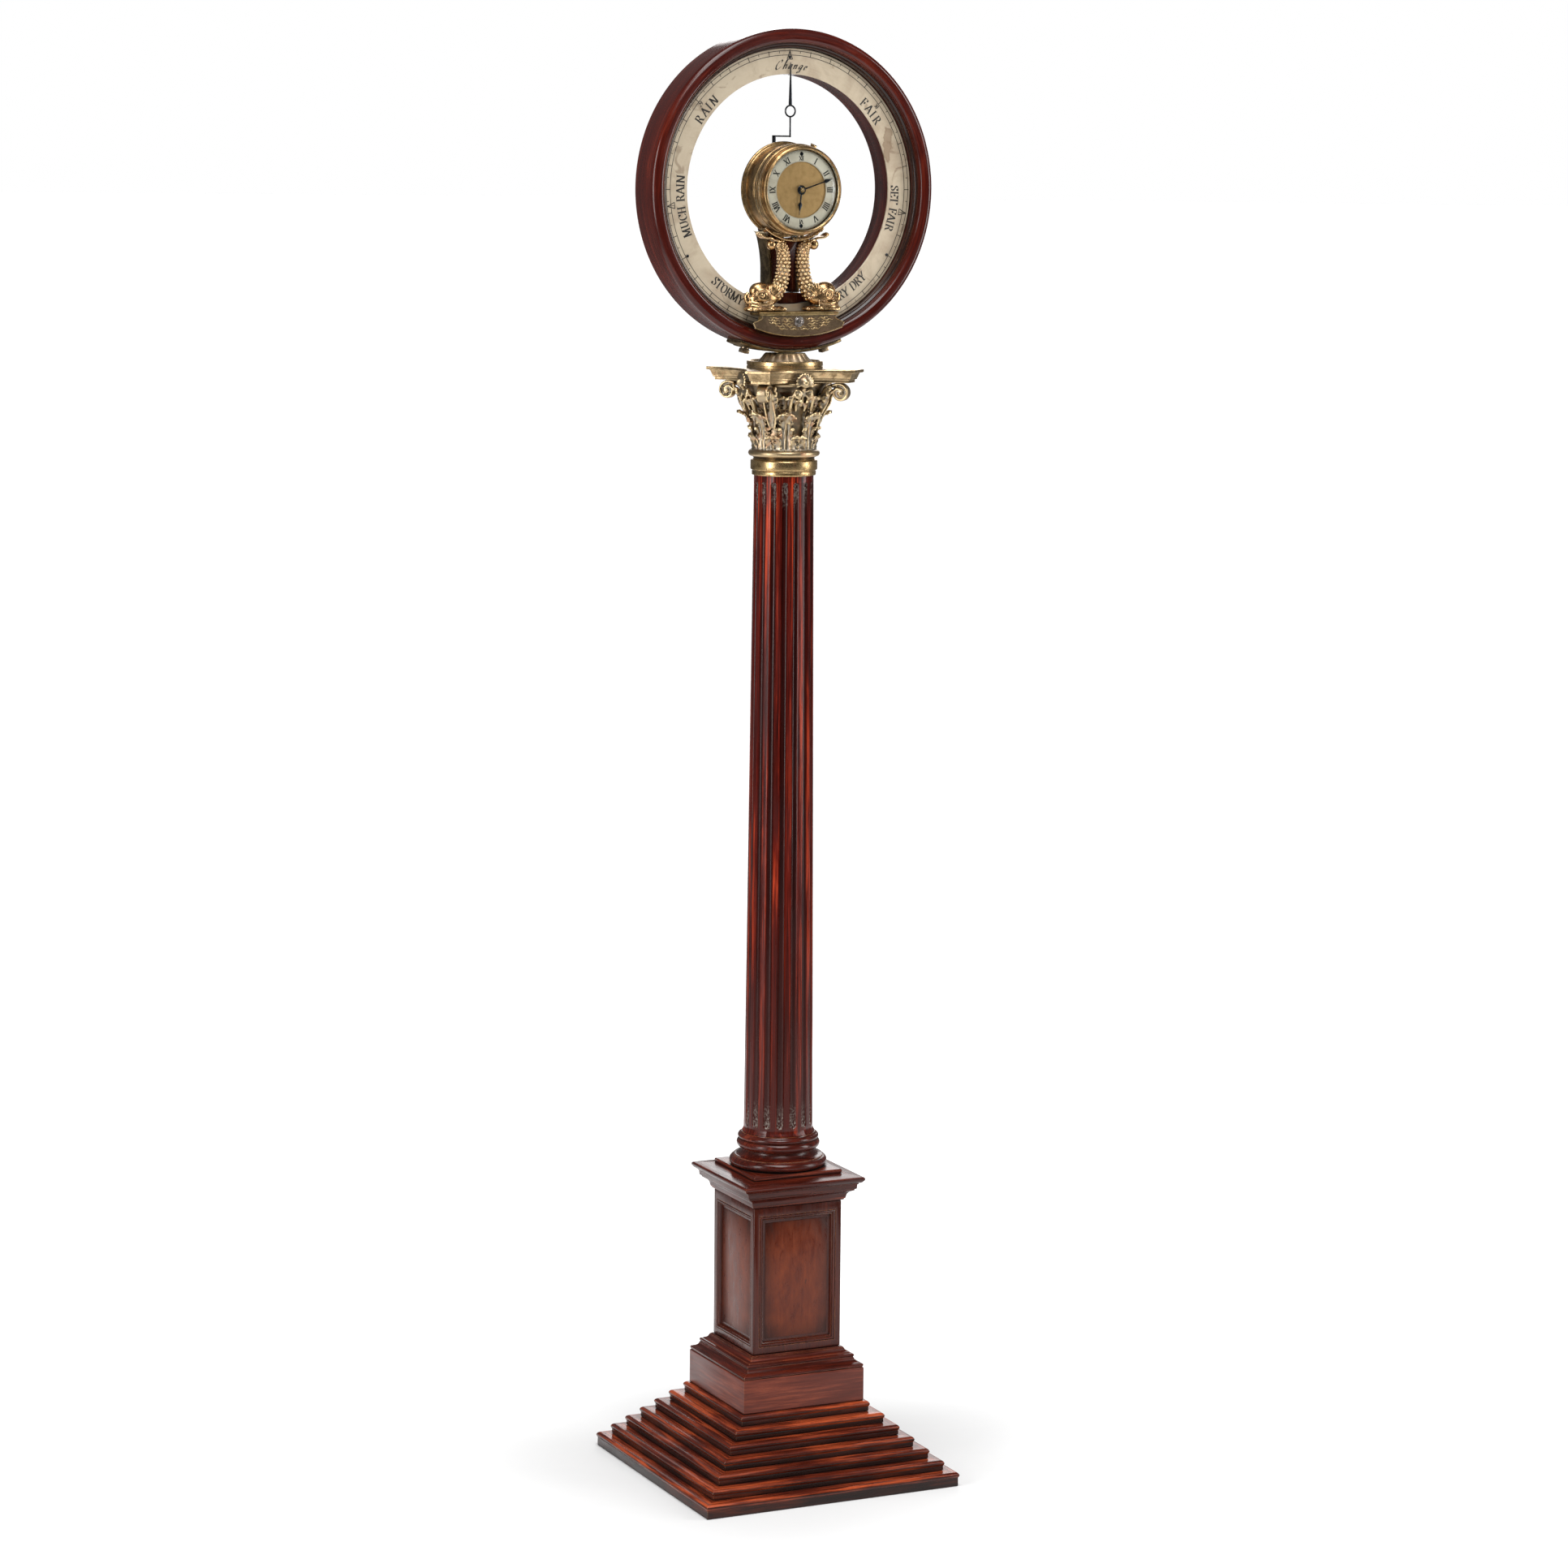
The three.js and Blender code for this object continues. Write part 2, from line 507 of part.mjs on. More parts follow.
// ---- trunk ------------------------------------------------------------------------------------------
const seatAngle = Math.asin(TRUNK_BASE_HALF / (RING_BORE - GAP));
add(head, 'trunk_base', cut(plate([
  [TRUNK_BASE_HALF, TRUNK_BASE_TOP], [-TRUNK_BASE_HALF, TRUNK_BASE_TOP],
  ...dialArc(RING_BORE - GAP, Math.PI + seatAngle, Math.PI - seatAngle, 16),
], TRUNK_SIDE_BACK, 2), threadHole()), mahogany);

// Half width of the trunk at a height: straight at the foot, flaring under the drum.
function trunkHalf(z) {
  const t = Math.max(0, (z - TRUNK_FLARE_FROM) / (TRUNK_TOP - TRUNK_FLARE_FROM));
  return TRUNK_FOOT_HALF + TRUNK_FLARE * t * t;
}
const trunkHeights = Array.from({ length: 9 }, (_, i) =>
  TRUNK_BASE_TOP + GAP + (TRUNK_TOP - TRUNK_BASE_TOP - GAP) * i / 8);
const drumClear = rod(DRUM_BACK_RADIUS + 0.5, -40, 10, 0, DIAL_HEIGHT, 40);
add(head, 'trunk_core', cut(
  plate([
    ...trunkHeights.map((z) => [trunkHalf(z), z]),
    ...trunkHeights.toReversed().map((z) => [-trunkHalf(z), z]),
  ], TRUNK_CORE_BACK, TRUNK_CORE_FRONT),
  brick(-ARCH_HALF, ARCH_HALF, 0, 25, TRUNK_BASE_TOP - 1, ARCH_SPRING),
  rod(ARCH_HALF, -25, 0, 0, ARCH_SPRING, 16),
  brick(-8.4, 8.4, 8, 17, ARCH_SPRING, TRUNK_TOP + 1),
  drumClear,
), mahogany);
for (const [side, word] of [[-1, 'left'], [1, 'right']]) {
  const inner = trunkHeights.map((z) => [side * (trunkHalf(z) + GAP), z]);
  const outer = trunkHeights.map((z) => [side * (trunkHalf(z) + GAP + TRUNK_SIDE_THICKNESS), z]);
  add(head, `trunk_side_${word}`, cut(
    plate([...inner, ...outer.toReversed()], TRUNK_SIDE_BACK, TRUNK_SIDE_FRONT), drumClear,
  ), brass);
}
add(head, 'arbor_cock', join(
  plate([
    [9, TRUNK_BASE_TOP + GAP], [7, 1230], [5, 1270], [5, DIAL_HEIGHT], ...dialArc(5, Math.PI / 3, -Math.PI / 3, 6),
    [-5, DIAL_HEIGHT], [-5, 1270], [-7, 1230], [-9, TRUNK_BASE_TOP + GAP],
  ], COCK_BACK, COCK_FRONT, [dialArc(ARBOR_RADIUS + 0.06, 0, 2 * Math.PI * 15 / 16, 15)]),
  brick(-9, 9, -TRUNK_SIDE_BACK + GAP, -COCK_FRONT + 0.5, TRUNK_BASE_TOP + GAP, TRUNK_BASE_TOP + 8),
), brass);
add(head, 'thumb_screw', join(
  new THREE.CylinderGeometry(3.6, 3.6, 6, 16).rotateZ(Math.PI / 2).translate(-22.2, 12, 1200.5),
  new THREE.CylinderGeometry(1.2, 1.2, 4, 12).rotateZ(Math.PI / 2).translate(-18.6, 12, 1200.5),
), steel);

// ---- platform, apron and dolphins -------------------------------------------------------------------
const platformLow = PLATFORM_TOP - PLATFORM_THICKNESS;
const apronBack = APRON_FRONT - APRON_THICKNESS;
const shelfBack = RING_FRONT + GAP;
add(head, 'clock_platform', cut(
  join(
    brick(-PLATFORM_HALF, PLATFORM_HALF, -PLATFORM_FRONT, -8.6, platformLow, PLATFORM_TOP),
    plate([[40, platformLow + 1], [-40, platformLow + 1], ...dialArc(141, Math.PI + 0.31, Math.PI - 0.31, 10)],
      shelfBack, apronBack - GAP),
  ),
  brick(-60, 60, -26, -8, PLATFORM_TOP - 14, platformLow),
), brass);
const screwRadius = 2.2;
const apronScrewHeight = DIAL_HEIGHT - 128.2;
const sideCurve = (side) => [0, 1, 2, 3].map((i) => {
  const t = i / 3;
  return [side * (41 + 10 * t * t), platformLow - GAP - 7 * t];
});
add(head, 'apron_plate', plate([
  ...sideCurve(1).toReversed(), ...sideCurve(-1),
  ...dialArc(APRON_RADIUS, Math.PI + 0.363, Math.PI - 0.363, 20),
], apronBack, APRON_FRONT, [
  dialArc(screwRadius + 0.2, 0, 2 * Math.PI * 15 / 16, 15, apronScrewHeight),
]), brass);
add(head, 'apron_screw', new THREE.LatheGeometry(points([
  [0, -apronBack], [screwRadius, -apronBack], [screwRadius, -APRON_FRONT - 0.1],
  [3.4, -APRON_FRONT - 0.1], [3, -APRON_FRONT - 1.1], [0, -APRON_FRONT - 1.3],
]), 16).translate(0, 0, apronScrewHeight), steel);

function tubeAlong(places, radius) {
  const curve = new THREE.CatmullRomCurve3(places.map(([x, d, z]) => new THREE.Vector3(x, -d, z)));
  const section = new THREE.Shape().absarc(0, 0, radius, 0, 2 * Math.PI);
  return new THREE.ExtrudeGeometry(section, { steps: 7, curveSegments: 4, extrudePath: curve });
}
const egg = (rx, ry, rz, x, d, z) =>
  new THREE.SphereGeometry(1, 10, 6).rotateX(Math.PI / 2).scale(rx, ry, rz).translate(x, -d, z);
for (const [side, word] of [[-1, 'left'], [1, 'right']]) {
  const at = (x, d, z) => [side * x, d, z];
  add(head, `dolphin_${word}`, cut(
    join(
      tubeAlong([at(21, 14, 1196), at(13, 14, 1206), at(9.8, 15, 1220), at(10.8, 14, 1233),
        at(16, 12.5, 1242.5)], 5.4),
      egg(15.5, 8.4, 10.4, side * 31, 14.4, 1189),
      egg(8.5, 6, 6, side * 42, 14.4, 1184.5),
      egg(16, 8, 3.6, side * 31.5, 15, 1178.6),
      egg(5.2, 5.2, 5.2, side * 23.7, 13.4, 1243.2),
      tubeAlong([at(16, 12.5, 1240.5), at(23, 13, 1246), at(32, 13, 1247), at(39.5, 13, 1252)], 3),
    ),
    brick(-70, 70, -60, 0, PLATFORM_TOP - 20, PLATFORM_TOP + GAP),
    rod(DRUM_BACK_RADIUS + 4.2, -20, 40, 0, DIAL_HEIGHT, 48),
  ), gilt);
}
const cradleAngle = 0.72;
add(head, 'drum_cradle', plate([
  ...dialArc(DRUM_BACK_RADIUS + 0.6, Math.PI - cradleAngle, Math.PI + cradleAngle, 16),
  ...dialArc(DRUM_BACK_RADIUS + 3.8, Math.PI + cradleAngle, Math.PI - cradleAngle, 16),
], 8.6, 18.6), gilt);

// ---- drum clock -------------------------------------------------------------------------------------
const drumInner = DRUM_RADIUS - DRUM_WALL;
const hingeHeight = DIAL_HEIGHT - HINGE_DROP;
const knuckle = (x0, x1, radius) => new THREE.CylinderGeometry(radius, radius, x1 - x0, 16)
  .rotateZ(Math.PI / 2).translate((x0 + x1) / 2, -HINGE_DEPTH, hingeHeight);
const pinHole = () => knuckle(-10, 10, PIN_RADIUS + 0.06);
const lug = (x0, x1) => [
  knuckle(x0, x1, 2),
  brick(x0, x1, -HINGE_DEPTH, -DRUM_FRONT + 1.2, hingeHeight - 1.4, hingeHeight + 1.4),
  brick(x0, x1, -DRUM_FRONT + 0.2, -DRUM_FRONT + 2.4, hingeHeight - 1.4, DIAL_HEIGHT - DRUM_RADIUS + 0.6),
];
add(head, 'drum_case', cut(join(
  turnedFront([
    [drumInner, DRUM_BACK], [DRUM_BACK_RADIUS - 0.8, DRUM_BACK], [DRUM_BACK_RADIUS, DRUM_BACK + 1],
    [DRUM_BACK_RADIUS, DRUM_BACK + 2.6], [DRUM_RADIUS, DRUM_BACK + 4.4], [DRUM_RADIUS, 12.4],
    [BEZEL_RADIUS, 13], [BEZEL_RADIUS, 16.2], [DRUM_RADIUS, 17], [DRUM_RADIUS, DRUM_FRONT],
    [drumInner, DRUM_FRONT], [drumInner, DRUM_BACK],
  ], 40),
  ...lug(-5, -2.2), ...lug(2.2, 5),
), pinHole()), brass);
const bossFront = DRUM_BACK - GAP;
add(head, 'drum_back_cover', cut(turnedFront([
  [0, bossFront - 5], [4.5, bossFront - 5], [4.5, bossFront - 2], [40, bossFront - 1.6],
  [DRUM_BACK_RADIUS - 1.4, bossFront - 1.2], [DRUM_BACK_RADIUS - 1.4, bossFront], [0, bossFront],
]), rod(ARBOR_RADIUS + 0.06, -20, 0)), brass);
add(head, 'bezel_hinge_pin', knuckle(-5.4, 5.4, PIN_RADIUS), steel);

const backPlateDepth = 0;
const frontPlateDepth = 14;
const plateThickness = 2;
const pillarRing = 30;
const pillarPlaces = [45, 135, 225, 315].map((deg) => THREE.MathUtils.degToRad(deg))
  .map((a) => [pillarRing * Math.sin(a), DIAL_HEIGHT + pillarRing * Math.cos(a)]);
const disc = (radius, back, front, sides = 32) => rod(radius, back, front, 0, DIAL_HEIGHT, sides);
add(head, 'movement_back_plate', join(
  disc(PLATE_RADIUS, backPlateDepth, backPlateDepth + plateThickness),
  ...pillarPlaces.map(([x, z]) => rod(2, backPlateDepth + 1, frontPlateDepth - GAP, x, z, 12)),
), brass);
add(head, 'movement_front_plate', cut(
  disc(PLATE_RADIUS, frontPlateDepth, frontPlateDepth + plateThickness),
  rod(1.4, 0, 30),
), brass);
add(head, 'mainspring_barrel', rod(10, 3, 12.6, -15, DIAL_HEIGHT - 6, 32), brass);
const dialPlateBack = CHAPTER_FRONT - 2.6;
const centreHole = 3;
add(head, 'clock_dial', cut(join(
  disc(CLOCK_DIAL_RADIUS, dialPlateBack, CHAPTER_FRONT - 1.2),
  ...[90, 210, 330].map((deg) => THREE.MathUtils.degToRad(deg)).map((a) => rod(1.2,
    frontPlateDepth + plateThickness + GAP, dialPlateBack + 0.5,
    33 * Math.sin(a), DIAL_HEIGHT + 33 * Math.cos(a), 10)),
), rod(centreHole, 20, 40)), brass);
add(head, 'chapter_ring', turnedFront([
  [CHAPTER_INNER, CHAPTER_FRONT - 0.9], [CHAPTER_OUTER, CHAPTER_FRONT - 0.9], [CHAPTER_OUTER, CHAPTER_FRONT],
  [CHAPTER_INNER, CHAPTER_FRONT], [CHAPTER_INNER, CHAPTER_FRONT - 0.9],
]), silvered);

add(head, 'bezel', cut(join(
  turnedFront([
    [BEZEL_SEAT, DRUM_FRONT + GAP], [BEZEL_RADIUS, DRUM_FRONT + GAP], [BEZEL_RADIUS, 26], [42.8, 28],
    [42.6, 31], [BEZEL_LIP + 1.4, BEZEL_FRONT], [BEZEL_LIP, BEZEL_FRONT - 0.4], [BEZEL_LIP, GLASS_FRONT + GAP],
    [BEZEL_SEAT, GLASS_FRONT + GAP], [BEZEL_SEAT, DRUM_FRONT + GAP],
  ], 40),
  knuckle(-1.9, 1.9, 2),
  brick(-1.9, 1.9, -HINGE_DEPTH - 1.2, -HINGE_DEPTH + 0.8, hingeHeight, DIAL_HEIGHT - BEZEL_RADIUS + 1.4),
  brick(-3, 3, -24.6, -23, DIAL_HEIGHT + BEZEL_RADIUS - 1, DIAL_HEIGHT + BEZEL_RADIUS + 2.6)
    .translate(0, 0, -DIAL_HEIGHT).rotateY(0.38).translate(0, 0, DIAL_HEIGHT),
), pinHole()), brass);
// The glass: a flat rim held behind the lip, with a low dome.
const domeAt = (base, radius) => [0, 0.35, 0.6, 0.82, 1].map((t) => [radius * t, base + GLASS_RISE * (1 - t * t)]);
const domeRadius = BEZEL_LIP - 0.5;
add(head, 'bezel_glass', turnedFront([
  ...domeAt(GLASS_FRONT - GLASS_THICKNESS, domeRadius), [BEZEL_SEAT - GAP, GLASS_FRONT - GLASS_THICKNESS],
  [BEZEL_SEAT - GAP, GLASS_FRONT], ...domeAt(GLASS_FRONT, domeRadius).toReversed(),
]), glass);

// ---- hands and motion work --------------------------------------------------------------------------
// A wheel outline with straight-sided teeth, thin enough to run free; phase turns the first tooth.
function toothed(teeth, phase) {
  const pitch = teeth * MODULE_SIZE / 2;
  const [root, tip] = [pitch - 1.25 * MODULE_SIZE, pitch + 0.8 * MODULE_SIZE];
  const step = 2 * Math.PI / teeth;
  return Array.from({ length: teeth }, (_, i) => i * step + phase).flatMap((a) =>
    [[root, -0.26], [tip, -0.1], [tip, 0.1], [root, 0.26]].map(([r, k]) => [
      r * Math.sin(a + k * step), r * Math.cos(a + k * step),
    ]));
}
const wheelAt = (outline, x, z, back, front) =>
  plate(outline.map(([px, pz]) => [px + x, pz + z]), back, front);
const wheelThickness = 1.6;
const sideGap = 0.5; // half a tooth, so that the wheel meets a gap
const wheelX = 0;
const wheelZ = DIAL_HEIGHT + CENTRE_DISTANCE;
const cannonLength = [MINUTE_DEPTH - 1.6, CHAPTER_FRONT + 3.6];
add(head, 'cannon_pinion', join(
  wheelAt(toothed(CANNON_TEETH, 0), 0, DIAL_HEIGHT, cannonLength[0], MINUTE_DEPTH + 2.2),
  rod(1.5, MINUTE_DEPTH, cannonLength[1]),
), steel);
add(head, 'minute_wheel', join(
  wheelAt(toothed(MINUTE_WHEEL_TEETH, Math.PI + sideGap * 2 * Math.PI / MINUTE_WHEEL_TEETH), wheelX, wheelZ,
    MINUTE_DEPTH, MINUTE_DEPTH + wheelThickness),
  wheelAt(toothed(MINUTE_PINION_TEETH, Math.PI), wheelX, wheelZ, MINUTE_DEPTH + 1, HOUR_DEPTH + 2.4),
), brass);
add(head, 'hour_wheel', cut(join(
  wheelAt(toothed(HOUR_WHEEL_TEETH, sideGap * 2 * Math.PI / HOUR_WHEEL_TEETH), 0, DIAL_HEIGHT,
    HOUR_DEPTH, HOUR_DEPTH + wheelThickness),
  rod(2.7, HOUR_DEPTH, CHAPTER_FRONT + 1.2),
), rod(1.6, HOUR_DEPTH - 1, CHAPTER_FRONT + 3)), brass);

// A hand outline along +Z from the dial axis: a boss, a tapering stem and a leaf-shaped tip.
function handOutline(length, leafHalf, leafFoot) {
  const side = [[1.1, 3], [0.7, leafFoot], [leafHalf, leafFoot + 3.4], [0.5, leafFoot + 8.4], [0.25, length]];
  return [...side, ...side.toReversed().map(([x, z]) => [-x, z])];
}
function handOn(outline, angle, back, front, bore, boss) {
  const blade = plate(outline, back, front);
  const hub = new THREE.CylinderGeometry(boss, boss, front - back, 16).translate(0, -(back + front) / 2, 0);
  const hole = new THREE.CylinderGeometry(bore, bore, 20, 16).translate(0, -back, 0);
  return cut(join(blade, hub), hole).rotateY(angle).translate(0, 0, DIAL_HEIGHT);
}
add(head, 'hour_hand', handOn(handOutline(HOUR_HAND_LENGTH, 2.2, 12), HOUR_HAND_ANGLE, CHAPTER_FRONT + 0.5,
  CHAPTER_FRONT + 1, 2.76, 4.8), blued);
add(head, 'minute_hand', handOn(handOutline(MINUTE_HAND_LENGTH, 1.8, 26), MINUTE_HAND_ANGLE, CHAPTER_FRONT + 1.7,
  CHAPTER_FRONT + 2.2, 1.56, 3.4), blued);
add(head, 'hand_collet', cut(turnedFront([
  [0, CHAPTER_FRONT + 2.5], [2.6, CHAPTER_FRONT + 2.5], [2.6, CHAPTER_FRONT + 3.3], [1.8, CHAPTER_FRONT + 4.3],
  [0, CHAPTER_FRONT + 4.6],
], 16), rod(1.56, CHAPTER_FRONT + 1, CHAPTER_FRONT + 3.7)), brass);

// The weather hand: a blade over the dial, an open ring, a crank over the drum and a strip to the arbor.
const handBack = HAND_FRONT - HAND_THICKNESS;
const ringOuter = 6.2;
const ringInner = 4.6;
const crankHalf = 0.8;
const blade = [[0.35, HAND_TIP], [1.5, HAND_RING + ringOuter - 0.6], [-1.5, HAND_RING + ringOuter - 0.6],
  [-0.35, HAND_TIP]];
const stem = [[0.8, HAND_RING - ringOuter + 0.6], [0.8, HAND_CRANK - crankHalf], [-0.8, HAND_CRANK - crankHalf],
  [-0.8, HAND_RING - ringOuter + 0.6]];
const raise = (outline) => outline.map(([x, r]) => [x, r + DIAL_HEIGHT]);
add(head, 'weather_hand', cut(join(
  plate(raise(blade), handBack, HAND_FRONT),
  plate(raise(stem), handBack, HAND_FRONT),
  rod(ringOuter, handBack, HAND_FRONT, 0, DIAL_HEIGHT + HAND_RING, 20),
  brick(-1.5, 1.5, -HAND_FRONT, -HAND_REAR, DIAL_HEIGHT + HAND_CRANK - crankHalf,
    DIAL_HEIGHT + HAND_CRANK + crankHalf),
  plate(raise([[2, HAND_CRANK + crankHalf], [1.4, 2], [-1.4, 2], [-2, HAND_CRANK + crankHalf]]),
    HAND_REAR, HAND_REAR + 1.4),
  rod(4.4, HAND_REAR, HAND_REAR + 1.4),
), rod(ringInner, handBack - 1, HAND_FRONT + 1, 0, DIAL_HEIGHT + HAND_RING, 20),
rod(ARBOR_RADIUS + 0.06, HAND_REAR - 1, HAND_REAR + 3)), blued);
const pulleyMiddle = -17;
add(head, 'weather_pulley', turnedFront([
  [0, COCK_BACK - 0.8], [ARBOR_RADIUS, COCK_BACK - 0.8], [ARBOR_RADIUS, pulleyMiddle - 3.2],
  [PULLEY_RADIUS + 1.6, pulleyMiddle - 3.2], [PULLEY_RADIUS + 1.6, pulleyMiddle - 2.2],
  [PULLEY_RADIUS, pulleyMiddle], [PULLEY_RADIUS + 1.6, pulleyMiddle + 2.2],
  [PULLEY_RADIUS + 1.6, pulleyMiddle + 3.2], [ARBOR_RADIUS, pulleyMiddle + 3.2],
  [ARBOR_RADIUS, bossFront - 1], [0, bossFront - 1],
], 24), brass);

export default barometer;
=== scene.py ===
"""Looks of a column wheel barometer: a fluted mahogany column on a stepped pedestal, with a ring-shaped weather
dial and a drum clock at its head.

Sizes are in millimetres until a piece is finished, and a finished piece is in metres. Pieces of the head are
shaped about the dial axis, with x to the right, y to the back and z up, and are turned into place as they are
finished.
"""
import logging
import math
from dataclasses import dataclass, field
from enum import Enum
from typing import Callable, Iterable, Optional, Sequence, Union

import bmesh
import bpy
from mathutils import Matrix, Vector


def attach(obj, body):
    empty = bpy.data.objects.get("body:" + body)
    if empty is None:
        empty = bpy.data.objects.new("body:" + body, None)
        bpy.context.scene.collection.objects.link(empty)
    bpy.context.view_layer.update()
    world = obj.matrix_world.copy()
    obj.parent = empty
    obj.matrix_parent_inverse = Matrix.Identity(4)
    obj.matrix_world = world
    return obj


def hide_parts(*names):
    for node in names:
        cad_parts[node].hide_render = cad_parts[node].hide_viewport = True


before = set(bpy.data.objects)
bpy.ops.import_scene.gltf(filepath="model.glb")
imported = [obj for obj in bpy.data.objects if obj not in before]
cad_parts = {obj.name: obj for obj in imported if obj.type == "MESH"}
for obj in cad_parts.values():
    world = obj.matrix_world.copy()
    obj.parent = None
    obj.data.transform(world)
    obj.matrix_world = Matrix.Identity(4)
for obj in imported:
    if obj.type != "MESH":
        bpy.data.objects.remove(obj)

log = logging.getLogger("barometer")
logging.basicConfig(level=logging.INFO, format="%(message)s")

MILLIMETRE = 0.001
DIAL_HEIGHT = 1296.1
HEAD_TURN = math.radians(3)

Pair = tuple[float, float]
Triple = tuple[float, float, float]
Colour = tuple[float, float, float]
WHITE: Colour = (1.0, 1.0, 1.0)


class Place(Enum):
    """The frame a piece is shaped in."""

    STAND = Matrix.Identity(4)
    HEAD = Matrix.Rotation(HEAD_TURN, 4, "Z") @ Matrix.Translation((0, 0, DIAL_HEIGHT))
    NECK = Matrix.Rotation(HEAD_TURN, 4, "Z")


class Grain(Enum):
    """Which way the grain of a wooden piece runs."""

    UPRIGHT = "upright"
    MITRED = "mitred"
    LEVEL = "level"
    RING = "ring"


# ---- shader nodes --------------------------------------------------------------------------------


class Wire:
    """An output socket that adds Math nodes when it is used in arithmetic."""

    def __init__(self, shop: "NodeShop", socket: bpy.types.NodeSocket) -> None:
        """Keeps the node shop and the socket."""
        self.shop = shop
        self.socket = socket

    def _maths(self, operation: str, *parts: "Amount") -> "Wire":
        """A Math node that works on the parts."""
        return self.shop.node("ShaderNodeMath", {"operation": operation}, dict(enumerate(parts)))

    def __add__(self, other: "Amount") -> "Wire":
        """self + other."""
        return self._maths("ADD", self, other)

    def __radd__(self, other: "Amount") -> "Wire":
        """other + self."""
        return self._maths("ADD", other, self)

    def __sub__(self, other: "Amount") -> "Wire":
        """self - other."""
        return self._maths("SUBTRACT", self, other)

    def __rsub__(self, other: "Amount") -> "Wire":
        """other - self."""
        return self._maths("SUBTRACT", other, self)

    def __mul__(self, other: "Amount") -> "Wire":
        """self * other."""
        return self._maths("MULTIPLY", self, other)

    def __rmul__(self, other: "Amount") -> "Wire":
        """other * self."""
        return self._maths("MULTIPLY", other, self)

    def __truediv__(self, other: "Amount") -> "Wire":
        """self / other."""
        return self._maths("DIVIDE", self, other)

    def __abs__(self) -> "Wire":
        """The value without its sign."""
        return self._maths("ABSOLUTE", self)

    def __gt__(self, other: "Amount") -> "Wire":
        """1 where self is greater, or else 0."""
        return self._maths("GREATER_THAN", self, other)


Amount = Union[Wire, float]


